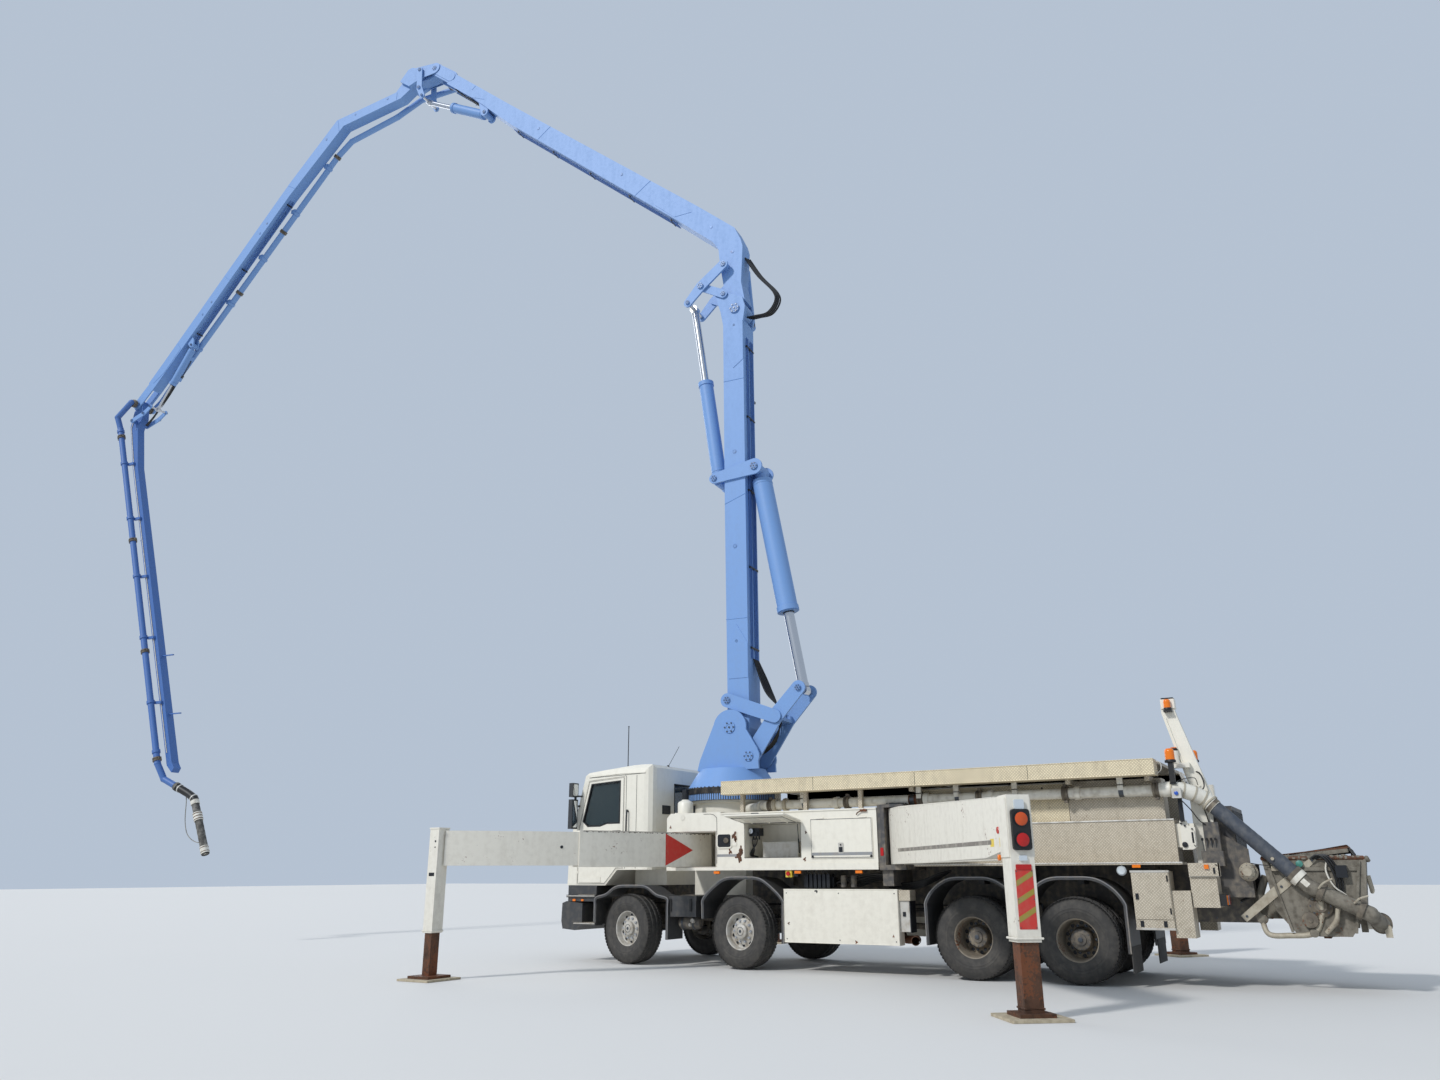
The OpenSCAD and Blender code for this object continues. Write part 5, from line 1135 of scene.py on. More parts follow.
# open locker: rubber round the mouth, contents, gas strut, lid seal
piece("locker_seal", [tube_along([(-3.075, 1.58), (-2.115, 1.58), (-2.115, 2.08), (-3.075, 2.08)], WC, 0.004)], BLACK)
piece("locker_back_wall", [tbox(-3.073, -2.117, 0.703, 0.709, 1.802, 2.078)], CREAM)
piece("locker_valves", [tbox(-2.30, -2.125, 0.98, 1.12, 1.90, 2.02),
        disc(truck(-2.17, 1.12, 1.975), Y, 0.04, 0.03, 24), disc(truck(-2.25, 1.12, 1.94), Y, 0.03, 0.025, 20)]
      + [disc(truck(-2.15 - 0.05 * k, 1.03, 1.90), -UP, 0.014, 0.05, 10) for k in range(3)], DARKP)
piece("locker_gauge", [ring(truck(-2.17, 1.15, 1.975), Y, 0.028, 0.04, 0.008, 24)], CHROME, smooth=True)
piece("locker_gauge_face", [disc(truck(-2.17, 1.15, 1.975), Y, 0.03, 0.002, 24)], LENS)
piece("locker_hoses", [line([(-2.14 - 0.05 * k, 1.03 + 0.02 * k, 1.87), (-2.15 - 0.04 * k, 1.05 + 0.02 * k, 1.78),
        (-2.19 + 0.02 * k, 1.08, 1.70), (-2.14, 1.02 + 0.04 * k, 1.62), (-2.2, 0.98, 1.597)], 0.011, 8, True)
        for k in range(3)], BLACK, smooth=True)
piece("locker_crate", [tbox(-2.895, -2.305, 0.995, 1.005, 1.585, 1.795),
        tbox(-2.91, -2.29, 0.72, 1.012, 1.797, 1.812)], SILVER)
STRUT = tx([(-3.02, 1.20, 1.64), (-3.03, 1.262, 2.055)])
strut = piece("locker_strut", [sweep([STRUT[0], 0.5 * (STRUT[0] + STRUT[1])], 0.011, 10),
        sweep([0.5 * (STRUT[0] + STRUT[1]), STRUT[1]], 0.006, 8)], BLACK, smooth=True)
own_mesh(strut)
LID = lambda x, a, h: truck(x, 1.268 + a * math.cos(math.radians(8)) - h * math.sin(math.radians(8)),
        2.098 + a * math.sin(math.radians(8)) + h * math.cos(math.radians(8)))
piece("lid_seal", [sweep([LID(x, a, -0.0245) for x, a in ((-3.03, 0.05), (-2.16, 0.05), (-2.16, 0.47),
        (-3.03, 0.47), (-3.03, 0.05), (-2.6, 0.05))], 0.006, 6)], BLACK, "locker_lid")
piece("lid_latch", [sweep([LID(x, 0.53, 0.022) for x in (-2.66, -2.54)], 0.012, 8),
        sweep([LID(-2.6, 0.53, 0.011), LID(-2.6, 0.53, 0.03)], 0.01, 8)], DARKP, "locker_lid")
piece("lid_ribs", [sweep([LID(x, 0.06, -0.026), LID(x, 0.46, -0.026)], 0.010, 6) for x in (-2.9, -2.6, -2.3)],
      CREAM, "locker_lid")
piece("lid_rim", [sweep([LID(x, a, 0.0) for x, a in ((-3.088, 0.02), (-3.088, 0.558), (-2.102, 0.558),
        (-2.102, 0.02))], 0.0135, 8)], CREAM, "locker_lid")

# right cabinets: two doors
for k, x in enumerate((-3.40, -2.55)):
    D = [(x - 0.385, 1.567), (x + 0.385, 1.567), (x + 0.385, 2.113), (x - 0.385, 2.113)]
    piece("right_door_edge_%d" % (k + 1), [tube_along(inset(D, 0.004), WC + 0.0125, 0.004, -1)], DARKP)
    piece("right_door_latch_%d" % (k + 1),
          [side_plate(rounded(0.085, 0.15, 0.012, at=(x, 1.70)), WC + 0.012, 0.007, -1)], SILVER)
    piece("right_door_handle_%d" % (k + 1), [tbox(x - 0.026, x + 0.026, -WC - 0.028, -WC - 0.019, 1.645, 1.715)], DARKP)
    piece("right_door_stripe_%d" % (k + 1), [tbox(x - 0.38, x + 0.38, -WC - 0.0135, -WC - 0.0122, 1.60, 1.642)], STRIPE)

# side panels, battery box and air tank
for side, sg in SIGN.items():
    PANEL = [(-4.545, 0.405), (-2.77, 0.405), (-2.77, 1.125), (-4.545, 1.125)]
    piece("panel_edge_" + side, [tube_along(PANEL, 1.2445, 0.006, sg)], CREAM, smooth=True)
    piece("panel_lip_" + side, [tbox(-4.552, -2.763, *span(sg, 1.055, 1.2465), 1.1302, 1.136)], CREAM)
    # the dark blob at the panel's top edge stands for a notch in it: painted shade
    piece("panel_details_" + side,
          [disc(truck(x, sg * 1.245, z), sg * Y, 0.008, 0.004, 12) for x in (-4.50, -3.65, -2.81)
           for z in (0.45, 1.08)] + [blob(-3.30, 1.115, 1.2452, 0.022, 1.7, sg)], DARKP)
    piece("panel_scuffs_" + side, [blob(x, z, 1.2452, s, q, sg) for x, z, s, q in ((-2.84, 0.66, 0.014, 1),
            (-4.46, 0.52, 0.012, 3), (-3.9, 0.43, 0.016, 5))], STEEL_R)
# rear end of the left panel: chequer box, grey door and silencer end
piece("panel_tail_box", [tbox(-4.72, -4.553, 1.0, 1.22, 0.985, 1.125)], CHEQ)
piece("panel_tail_door", [tbox(-4.70, -4.553, 1.02, 1.20, 0.58, 0.983)], SILVER)
piece("panel_tail_trim", [tbox(-4.715, -4.70, 1.01, 1.21, 0.57, 0.985),
        tbox(-4.64, -4.60, 1.20, 1.212, 0.78, 0.84)], DARKP)
piece("silencer_end", [lathe([(0.052, -0.12), (0.058, -0.12), (0.062, 0.0), (0.062, 0.22), (0.054, 0.23),
        (0.050, 0.1), (0.048, -0.11), (0.052, -0.12)], truck(-4.72, 1.06, 0.47), np.array([-0.3, 0.95, 0]), 28),
        line([(-4.70, 1.0, 0.47), (-4.5, 0.9, 0.47), (-4.4, 0.75, 0.52), (-4.3, 0.60, 0.60)], 0.055, 14, True)],
      STEEL_R, smooth=True)
piece("battery_cover", [tbox(-1.2115, -0.7185, 0.7585, 1.2015, 0.7185, 1.0115)], PLASTIC)
piece("battery_lid", [tbox(-1.222, -0.708, 0.75, 1.208, 0.955, 1.0225)], PLASTIC)
piece("battery_latches", [tbox(x - 0.018, x + 0.018, 1.202, 1.216, 0.80, 0.95) for x in (-0.75, -1.12)]
      + [disc(truck(x, 1.2075, 0.965), Y, 0.02, 0.012, 14) for x in (-0.75, -1.12)], BLACK)
piece("air_tanks", [lathe([(1e-4, -0.20), (0.07, -0.19), (0.10, -0.15), (0.104, 0.15), (0.07, 0.19), (1e-4, 0.20)],
        truck(-0.98, 0.98, 0.63), X, 32)], FRAME_M, smooth=True)
piece("air_tank_straps", [lathe([(0.106, -0.015), (0.109, -0.015), (0.109, 0.015), (0.106, 0.015)],
        truck(x, 0.98, 0.63), X, 32) for x in (-1.08, -0.88)]
      + [tbox(x - 0.015, x + 0.015, 0.97, 0.99, 0.70, 0.722) for x in (-1.08, -0.88)], BOLT)
piece("air_valve", [disc(truck(-1.09, 1.08, 0.66), Y, 0.035, 0.04, 18),
        disc(truck(-1.04, 1.075, 0.60), Y, 0.025, 0.04, 16)], SILVER, smooth=True)

# valve bank and hoses under the deck behind axle 2
piece("valve_bank", [tbox(-3.44 + 0.07 * k, -3.39 + 0.07 * k, 0.92, 1.08, 1.15, 1.34) for k in range(6)]
      + [tbox(-3.47, -2.98, 0.90, 1.0, 1.16, 1.30), tbox(-3.45, -3.0, 0.46, 0.91, 1.2, 1.26)], DARKP)
piece("valve_levers", [line([(-3.415 + 0.07 * k, 1.06, 1.33), (-3.415 + 0.07 * k, 1.12, 1.38)], 0.006, 6)
        for k in range(6)], BOLT)
piece("valve_knobs", [disc(truck(-3.415 + 0.07 * k, 1.115, 1.375), np.array([0, 0.77, 0.64]), 0.013, 0.025, 12,
        0.005) for k in range(6)], BLACK, smooth=True)
piece("stop_switch_box", [tbox(-2.90, -2.80, 1.18, 1.235, 1.30, 1.40)], YELLOW)
piece("stop_switch", [lathe([(0.022, 0), (0.022, 0.012), (0.032, 0.016), (0.03, 0.028), (1e-4, 0.03)],
        truck(-2.85, 1.235, 1.35), Y, 24)], RED_L, smooth=True)
piece("dark_switch_box", [tbox(-3.0, -2.93, 1.18, 1.23, 1.31, 1.40)], DARKP)
piece("deck_hoses", [line([(-3.5 - 0.05 * k, 0.96, 1.22 + 0.02 * k), (-3.8, 0.93 - 0.02 * k, 1.30 - 0.03 * k),
        (-4.15, 0.90 - 0.03 * k, 1.34 - 0.02 * k), (-4.33, 0.9, 1.25 - 0.03 * k),
        (-4.49, 0.9 - 0.02 * k, 1.21 - 0.02 * k), (-4.78, 0.88, 1.25 - 0.02 * k),
        (-5.01, 0.88 - 0.03 * k, 1.33 - 0.01 * k), (-5.2, 0.84, 1.38)], 0.014 + 0.002 * (k % 2), 8, True)
        for k in range(5)], BLACK, smooth=True)
piece("filter_bowls", [disc(truck(-3.62 - 0.16 * k, 0.98, 1.16), UP, 0.045, 0.16, 20, 0.008) for k in range(2)],
      FRAME_M, smooth=True)

# delivery pipe on the deck: brackets, couplings, straps, rings, the boxes beside it and a gland by the elbow at the
# turret
PIPE_Z = 2.36                       # height of the delivery pipe's axis on the deck
PIPE_X0, PIPE_X1 = -2.35, -8.24     # its ends
PIPE_Y, PIPE_DRIFT = 0.90, 0.04     # y at the first end, and how much further out the second one lies


def deck_y(x):
    """The pipe's y on its run along the deck."""
    return PIPE_Y + (x - PIPE_X0) / (PIPE_X1 - PIPE_X0) * PIPE_DRIFT


for k, x in enumerate((-2.40, -3.70, -4.856, -5.723, -6.90, -8.05)):
    pipe_coupling(truck(x, deck_y(x), PIPE_Z), np.array([-1.0, 0.007, 0]), "truck", "deck_coupling_%d" % (k + 1))
piece("deck_pipe_brackets", [tbox(x - 0.035, x + 0.035, 0.985, 1.02, 2.37, 2.531)
        for x in (-3.0, -4.856, -5.41, -6.238, -7.621)]
      + [tbox(x - 0.035, x + 0.035, 0.90, 1.02, 2.431, 2.445) for x in (-3.0, -4.856, -5.41, -6.238, -7.621)], PIPE)
piece("deck_pipe_straps", [lathe([(0.0705, -0.03), (0.077, -0.03), (0.077, 0.03), (0.0705, 0.03)],
        truck(x, deck_y(x), PIPE_Z), X, 32) for x in (-3.0, -4.736, -5.41, -6.238, -7.621)], BOLT, smooth=True)
piece("pipe_rings_front", [lathe([(0.0705, -0.03), (0.098, -0.026), (0.104, 0), (0.098, 0.026), (0.0705, 0.03)],
        truck(x, deck_y(x), PIPE_Z), X, 36) for x in (-2.48, -2.66)], DRUM, smooth=True)
for side, sg in SIGN.items():
    # the middle box takes the sunlit chequer copy, which is painted light; the rear box takes the plain chequer
    piece("deck_mid_box_" + side, [tbox(-6.893, -4.83, *span(sg, 0.46, 0.80), 1.9905, 2.52)], CHEQ_SUNLIT)
    piece("deck_rear_box_" + side, [tbox(-8.095, -6.9, *span(sg, 0.46, 0.80), 2.3005, 2.52)], CHEQ)
    piece("deck_mid_trim_" + side, [line([(-6.89, sg * 0.801, 2.51), (-4.83, sg * 0.801, 2.51)], 0.01, 8),
            line([(-5.86, sg * 0.801, 2.0), (-5.86, sg * 0.801, 2.50)], 0.004, 6)], SILVER)
piece("pipe_worn_band", [lathe([(0.0702, -0.07), (0.072, -0.065), (0.072, 0.065), (0.0702, 0.07)],
        truck(-4.75, deck_y(-4.75), PIPE_Z), X, 32)], STEEL_R, smooth=True)
piece("pipe_gland", [lathe([(0.0702, 0.0), (0.09, 0.01), (0.095, 0.06), (0.085, 0.10), (0.0702, 0.11)],
        truck(-2.2, 0.79, PIPE_Z), np.array([0.79, -0.61, 0]), 32)], PIPE, smooth=True)
piece("wall_hook", [line([(-6.56, 0.80, 2.46), (-6.56, 0.86, 2.40), (-6.58, 0.89, 2.33), (-6.62, 0.87, 2.30)],
        0.009, 8, True)], DARKP, smooth=True)
piece("work_lamp", [lathe([(1e-4, 0.05), (0.045, 0.048), (0.06, 0.03), (0.055, -0.02), (0.03, -0.04),
        (1e-4, -0.045)], truck(-7.56, 1.19, 1.37), Y, 28),
        line([(-7.56, 1.19, 1.40), (-7.56, 1.17, 1.464)], 0.01, 8)], LENS, smooth=True)

# slew ring with teeth, cover pot, ring fittings
u = np.arange(480)
tooth = np.where(u % 4 < 2, 0.0, 0.011)
t = 2 * np.pi * u / 480
rows = np.array([(0.7005, 2.5003, 0), (0.783, 2.5003, 1), (0.783, 2.600, 1), (0.783, 2.601, 0), (0.792, 2.603, 0),
        (0.792, 2.694, 0), (0.783, 2.7016, 0), (0.7695, 2.7016, 0)])
r = rows[None, :, 0] - tooth[:, None] * rows[None, :, 2]
ring_pts = np.stack([r * np.cos(t)[:, None], r * np.sin(t)[:, None], np.broadcast_to(rows[None, :, 1], r.shape)],
        -1) + truck(TURRET_X, 0, 0)
piece("slew_ring_skin", [grid(ring_pts, close_u=True)], BLACKM, "turret", smooth=True)
piece("slew_ring_bolts", [disc(p, UP, 0.014, 0.016, 6) for p in around(truck(TURRET_X, 0, 0), UP, 0.672, 2.5, 48)],
      BOLT, "truck")
piece("turret_foot_bolts", [disc(p, UP, 0.012, 0.012, 6) for p in around(truck(TURRET_X, 0, 0), UP, 0.781, 2.7016,
        60)], BOLT, "turret")
piece("slew_drive", [lathe([(1e-4, 0.16), (0.05, 0.16), (0.07, 0.14), (0.11, 0.12), (0.125, 0.10), (0.125, -0.06),
        (1e-4, -0.06)], truck(-0.86, 0.97, 2.345), UP, 36), tbox(-0.98, -0.74, 0.84, 1.10, 2.2705, 2.29)], CREAM,
      smooth=True)
piece("slew_drive_motor", [disc(truck(-0.86, 0.97, 2.50), UP, 0.055, 0.10, 20),
        tbox(-0.90, -0.82, 0.93, 1.01, 2.58, 2.66)], DARKP)
piece("ring_scrapers", [tbox(-0.42, -0.36, -0.14, 0.14, 2.30, 2.66)], DARKP)
piece("grease_lines", [line([(-0.60, 0.45, 2.31), (-0.55, 0.50, 2.40), (-0.62, 0.55, 2.47), (-0.7, 0.5, 2.49)],
        0.005, 6, True), line([(-1.65, 0.40, 2.28), (-1.72, 0.45, 2.34), (-1.75, 0.35, 2.42), (-1.68, 0.28, 2.48)],
        0.006, 6, True)], BLACK, smooth=True)
piece("pedestal_hoses", [line([(-1.62 - 0.02 * k, -0.35 + 0.09 * k, 2.03), (-1.78, -0.33 + 0.09 * k, 2.2),
        (-1.92, -0.30 + 0.09 * k, 2.3), (-2.06, -0.28 + 0.09 * k, 2.262)], 0.016, 8, True) for k in range(7)],
      BLACK, smooth=True)

# walkways: edge trims, skins, seams, lamps, end handles, ladder
for side, sg in SIGN.items():
    # edges and skin of the walkway take the sunlit chequer copy, which is painted light
    piece("walkway_edges_" + side,
          [line([(-8.10, sg * 1.252, z), (-1.70, sg * 1.252, z)], 0.007, 8) for z in (2.535, 2.728)], CHEQ_SUNLIT,
          smooth=True)
    piece("walkway_skin_" + side, [tbox(-8.102, -1.698, *span(sg, 1.0, 1.2525), 2.5285, 2.7315)], CHEQ_SUNLIT)
    piece("walkway_seams_" + side,
          [line([(x, sg * 1.2535, 2.54), (x, sg * 1.2535, 2.725)], 0.003, 6) for x in (-3.3, -4.9, -6.5)], DARKP)
    piece("box_top_edges_" + side, [line([(-8.2, sg * 0.862, 1.992), (-4.82, sg * 0.862, 1.992)], 0.012, 8),
            line([(-8.1, sg * 0.802, 2.302), (-6.9, sg * 0.802, 2.302)], 0.012, 8),
            line([(-8.29, sg * 1.25, 1.462), (-4.82, sg * 1.25, 1.462)], 0.009, 8)], SILVER, smooth=True)
    piece("ledge_lamps_" + side, [tbox(x - 0.05, x + 0.05, *span(sg, 1.235, 1.262), 1.405, 1.44)
            for x in (-6.25, -7.75)], AMBER)
    piece("deck_end_handle_" + side,
          [line([(-8.10, sg * 1.1, 2.55), (-8.16, sg * 1.1, 2.60), (-8.16, sg * 1.1, 2.68),
            (-8.10, sg * 1.1, 2.715)], 0.008, 8, True)], SILVER, smooth=True)
# leaning ladder at the right rear
piece("rear_ladder", [line([(-8.74, y, 1.02), (-8.13, y, 2.70)], 0.014, 10) for y in (-0.67, -0.90)]
      + [line([(-8.74 + 0.61 * k, -0.67, 1.02 + 1.68 * k), (-8.74 + 0.61 * k, -0.90, 1.02 + 1.68 * k)], 0.011, 8)
        for k in (0.08, 0.25, 0.42, 0.59, 0.76, 0.93)]
      + [line([(-8.70, -0.90, 1.12), (-8.60, -0.90, 1.12)], 0.01, 8)], SILVER, smooth=True)

# ---------------------------------------------------------------- rear boxes, rest post, controls
BOX_SKIN = 0.0015                   # chequer skin over the CAD faces of the rear boxes
for side, sg in SIGN.items():
    piece("rear_boxes_" + side, [tbox(-8.11 - BOX_SKIN, -7.67 + BOX_SKIN,
            *span(sg, 0.90 - BOX_SKIN, 1.24 + BOX_SKIN), 0.69 - BOX_SKIN, 1.36 + BOX_SKIN),
            tbox(-8.33 - BOX_SKIN, -8.112 + BOX_SKIN, *span(sg, 0.86 - BOX_SKIN, 1.20 + BOX_SKIN), 0.59 - BOX_SKIN,
            1.13 + BOX_SKIN), tbox(-8.64 - BOX_SKIN, -8.34 + BOX_SKIN, *span(sg, 0.82 - BOX_SKIN, 1.16 + BOX_SKIN),
            0.94 - BOX_SKIN, 1.29 + BOX_SKIN)], CHEQ)
    piece("rear_box_door_" + side, [tbox(-8.105, -7.675, *span(sg, 1.2415, 1.252), 0.80, 1.345)], CHEQ)
    piece("rear_box_trim_" + side,
          [tbox(-8.118, -7.662, *span(sg, 1.19, 1.256), 1.346, 1.372),
           tbox(-8.118, -7.662, *span(sg, 1.19, 1.250), 0.675, 0.70),
           tbox(-8.647, -8.333, *span(sg, 0.815, 1.168), 1.2905, 1.302)], SILVER)
    piece("rear_box_bits_" + side,
          [line([(-8.09, sg * 1.256, z), (-8.09, sg * 1.256, z + 0.07)], 0.009, 8) for z in (0.86, 1.24)]
          + [tbox(-7.735, -7.70, *span(sg, 1.252, 1.266), 1.03, 1.10),
            tbox(-7.76, -7.72, *span(sg, 1.2415, 1.25), 0.71, 0.78),
            tbox(-8.03, -7.99, *span(sg, 1.2415, 1.25), 0.71, 0.78)], DARKP)
    piece("rear_side_plate_" + side,
          [tbox(-8.69, -8.34, *span(sg, 1.185, 1.20), 1.30, 1.455),
           tbox(-8.69, -8.675, *span(sg, 1.10, 1.20), 1.30, 1.455)], CHEQ)
    piece("rear_side_lamp_" + side, [tbox(-8.575, -8.525, *span(sg, 1.20, 1.225), 1.385, 1.435)], AMBER)
    piece("rear_side_catch_" + side,
          [tbox(-8.64, -8.62, *span(sg, 1.20, 1.212), 1.33, 1.40),
           disc(truck(-8.66, sg * 1.20, 1.43), sg * Y, 0.009, 0.008, 12)], DARKP)
    # tail lamps and mud flaps
    piece("tail_lamp_box_" + side, [tbox(-8.72, -8.642, *span(sg, 0.84, 1.14), 0.96, 1.09)], BLACK)
    piece("tail_lamps_red_" + side, [tbox(-8.727, -8.7195, *span(sg, 0.85, 0.94), 0.97, 1.08)], RED_L)
    piece("tail_lamps_amber_" + side, [tbox(-8.727, -8.7195, *span(sg, 1.04, 1.13), 0.97, 1.08)], AMBER)
    piece("tail_lamps_white_" + side, [tbox(-8.727, -8.7195, *span(sg, 0.95, 1.03), 0.97, 1.08)], LENS)
    piece("mud_flap_" + side, [tbox(-7.578, -7.566, *span(sg, 0.62, 1.22), 0.16, 0.47)], RUBBER)

# head of the rest post, saddle, beacons
POST = [(-8.365, 3.42), (-8.195, 3.42), (-8.195, 3.545), (-8.365, 3.545)]
piece("post_head", [slab(POST, truck(0, 0.535, 0), X, UP, Y, 0.15)], CREAM)
piece("post_skin", [slab([(-8.66, 2.2915), (-8.44, 2.2915), (-8.19, 3.36), (-8.19, 3.44), (-8.345, 3.44),
        (-8.37, 3.33)], truck(0, 0.552, 0), X, UP, Y, 0.116)], CREAM)
piece("post_rib", [slab([(-8.47, 2.31), (-8.455, 2.31), (-8.225, 3.30), (-8.24, 3.30)], truck(0, 0.668, 0), X, UP,
        Y, 0.02)], CREAM)
piece("post_pad", [tbox(-8.355, -8.205, 0.545, 0.675, 3.545, 3.565)], BLACK)


def beacon(x, y, z, name, r, h, leg=None):
    """Turning lamp: black foot, ribbed amber dome, and the bar that carries it."""
    c = truck(x, y, z)
    k = np.arange(9) / 9
    dome = [(r, 0.03 + h * 0.75 * q) if i % 2 == 0 else (r * 0.965, 0.03 + h * 0.75 * q) for i, q in enumerate(k)]
    piece(name + "_dome", [lathe(dome + [(r * 0.9, 0.03 + h * 0.86), (r * 0.6, 0.03 + h * 0.97), (1e-4, 0.03 + h)],
            c, UP, 32)], AMBER, smooth=True)
    piece(name + "_foot", [lathe([(1e-4, 0), (r * 1.12, 0), (r * 1.16, 0.02), (r * 1.05, 0.034), (r * 0.95, 0.036)],
            c, UP, 32)] + ([leg] if leg else []), BLACK, smooth=True)


beacon(-8.27, 1.0, 2.69, "beacon_near", 0.06, 0.15, tbox(-8.30, -8.24, 0.955, 1.045, 2.43, 2.69))
beacon(-8.29, 0.72, 2.858, "beacon_post_low", 0.04, 0.02)
beacon(-8.28, 0.72, 3.39, "beacon_top", 0.045, 0.12, tbox(-8.33, -8.23, 0.655, 0.765, 3.37, 3.392))
beacon(-8.35, -0.60, 2.82, "beacon_far", 0.06, 0.14, tbox(-8.38, -8.32, -0.63, -0.57, 2.29, 2.822))
piece("far_post", [tbox(-8.56, -8.40, -0.66, -0.52, 1.40, 2.50), tbox(-8.42, -8.30, -0.64, -0.54, 2.26, 2.30)], CREAM)
piece("beacon_near_stay", [tbox(-8.31, -8.235, 0.60, 1.045, 2.42, 2.435)], DARKP)

# switch box with the blue button, valve block with knobs and lever frame, cables
piece("switch_box", [tbox(-8.36, -8.25, 1.02, 1.10, 2.24, 2.36)], SILVER)
piece("switch_box_stay", [tbox(-8.33, -8.28, 0.86, 1.02, 2.27, 2.30), tbox(-8.33, -8.28, 0.86, 0.90, 1.96, 2.30)],
      DARKP)
piece("switch_button", [disc(truck(-8.305, 1.10, 2.30), Y, 0.024, 0.02, 24, 0.004)], BLUE_B, smooth=True)
# x shift and y of the valve block, which stands inboard of the stowed arm's path, on the end of the chequer box
VX, VY = 0.04, 0.80
VALVE_OUTLINE = [(-8.30, 1.61), (-8.30, 1.965), (-8.38, 1.965), (-8.40, 1.90), (-8.475, 1.88), (-8.475, 1.64),
        (-8.42, 1.61)]
piece("valve_plate", [slab(np.array(VALVE_OUTLINE) + np.array([VX, 0.01]), truck(0, VY, 0), X, UP, Y, 0.05)], CREAM_R)
piece("valve_block", [tbox(-8.42, -8.20, 0.62, VY, 1.65, 1.94)], CREAM)
piece("valve_plate_bits", [disc(truck(x + VX, VY + 0.05, z + 0.01), Y, r, 0.02, 20, 0.003)
        for x, z, r in ((-8.318, 1.93, 0.012), (-8.335, 1.67, 0.034), (-8.36, 1.90, 0.012), (-8.44, 1.86, 0.01),
        (-8.45, 1.66, 0.01))], DARKP, smooth=True)
# a dark strip stands for the lever slot in the valve plate: painted shade
piece("valve_slot", [tbox(-8.455 + VX, -8.425 + VX, VY + 0.05, VY + 0.054, 1.70, 1.83)], DARKP)
piece("valve_frame", [line([(-8.46 + VX, VY + 0.05, 1.67), (-8.46 + VX, VY + 0.085, 1.67),
        (-8.46 + VX, VY + 0.085, 1.84), (-8.46 + VX, VY + 0.05, 1.84)], 0.008, 8)], CREAM, smooth=True)
piece("control_levers", [line([(-8.50 - 0.05 * k, 0.78, 1.60), (-8.50 - 0.05 * k, 0.83, 1.73)], 0.006, 6)
        for k in range(4)], BOLT)
piece("control_knobs", [disc(truck(-8.50 - 0.05 * k, 0.83, 1.725), UP, 0.014, 0.03, 12, 0.005) for k in range(4)],
      BLACK, smooth=True)
piece("control_bank", [tbox(-8.72, -8.47, 0.66, 0.85, 1.42, 1.60), tbox(-8.70, -8.52, 0.66, 0.80, 1.60, 1.95)], FRAME_M)
piece("rear_frame_plate", [slab([(-8.99, 1.05), (-8.60, 1.05), (-8.60, 1.75), (-8.72, 1.80), (-8.99, 1.62)],
        truck(0, 0.64, 0), X, UP, Y, 0.02)], FRAME_M)
piece("rear_oil_cooler", [tbox(-8.86, -8.62, -0.62, 0.60, 1.45, 2.15)], FRAME_M)
piece("cooler_fins", [tbox(-8.868, -8.859, -0.58 + 0.06 * k, -0.55 + 0.06 * k, 1.50, 2.10) for k in range(20)], BLACK)
piece("rear_cables", [line([(-8.46, 0.62, 2.60), (-8.56, 0.70, 2.56), (-8.60, 0.76, 2.40), (-8.54, 0.80, 2.28),
        (-8.58, 0.74, 2.02), (-8.60, 0.70, 1.90)], 0.009, 6, True),
        line([(-8.305, 1.02, 2.26), (-8.33, 0.92, 2.22), (-8.42, 0.87, 2.1), (-8.50, 0.85, 1.97),
        (-8.58, 0.78, 1.90)], 0.007, 6, True),
        line([(-8.27, 0.985, 2.43), (-8.36, 0.9, 2.48), (-8.5, 0.8, 2.5), (-8.52, 0.7, 2.42)], 0.005, 6, True)],
      BLACK, smooth=True)
piece("rear_hoses", [line([(-8.70, 0.50 - 0.07 * k, 1.50 + 0.03 * k), (-8.86, 0.48 - 0.07 * k, 1.46),
        (-8.96 - 0.02 * k, 0.46 - 0.07 * k, 1.28 - 0.03 * k), (-8.93, 0.45 - 0.07 * k, 1.08 - 0.02 * k),
        (-8.80, 0.44 - 0.07 * k, 1.0)], 0.018, 8, True) for k in range(5)], BLACK, smooth=True)

# elbow with rings, the riser hose and the lower pipe
A_UP, B_LOW = truck(-8.60, 0.795, 2.222), truck(-9.60, 0.82, 1.18)
RISE = (B_LOW - A_UP) / np.linalg.norm(B_LOW - A_UP)
ELBOW = smooth_path(tx([(-8.13, 0.938, 2.362), (-8.25, 0.937, PIPE_Z), (-8.36, 0.90, 2.345), (-8.50, 0.845, 2.29),
        (-8.60, 0.795, 2.222), (-8.66, 0.7965, 2.159)]), 6)
piece("rear_elbow", [sweep(ELBOW, 0.0955, 32)], PIPE, smooth=True)
piece("rear_elbow_rings", [sweep([ELBOW[k] - 0.010 * d, ELBOW[k] + 0.010 * d], r, 32)
        for k, r in ((5, 0.112), (12, 0.1035), (17, 0.1035), (22, 0.1035), (28, 0.115))
        for d in [(ELBOW[min(k + 1, len(ELBOW) - 1)] - ELBOW[k - 1])
        / np.linalg.norm(ELBOW[min(k + 1, len(ELBOW) - 1)] - ELBOW[k - 1])]], DRUM, smooth=True)
t = np.linspace(0, 1, 60)
piece("riser_hose", [sweep(A_UP + RISE * (0.10 + 1.225 * t)[:, None], 0.0905 + 0.0012 * np.sin(t * 90), 32)],
      HOSE_D, smooth=True)
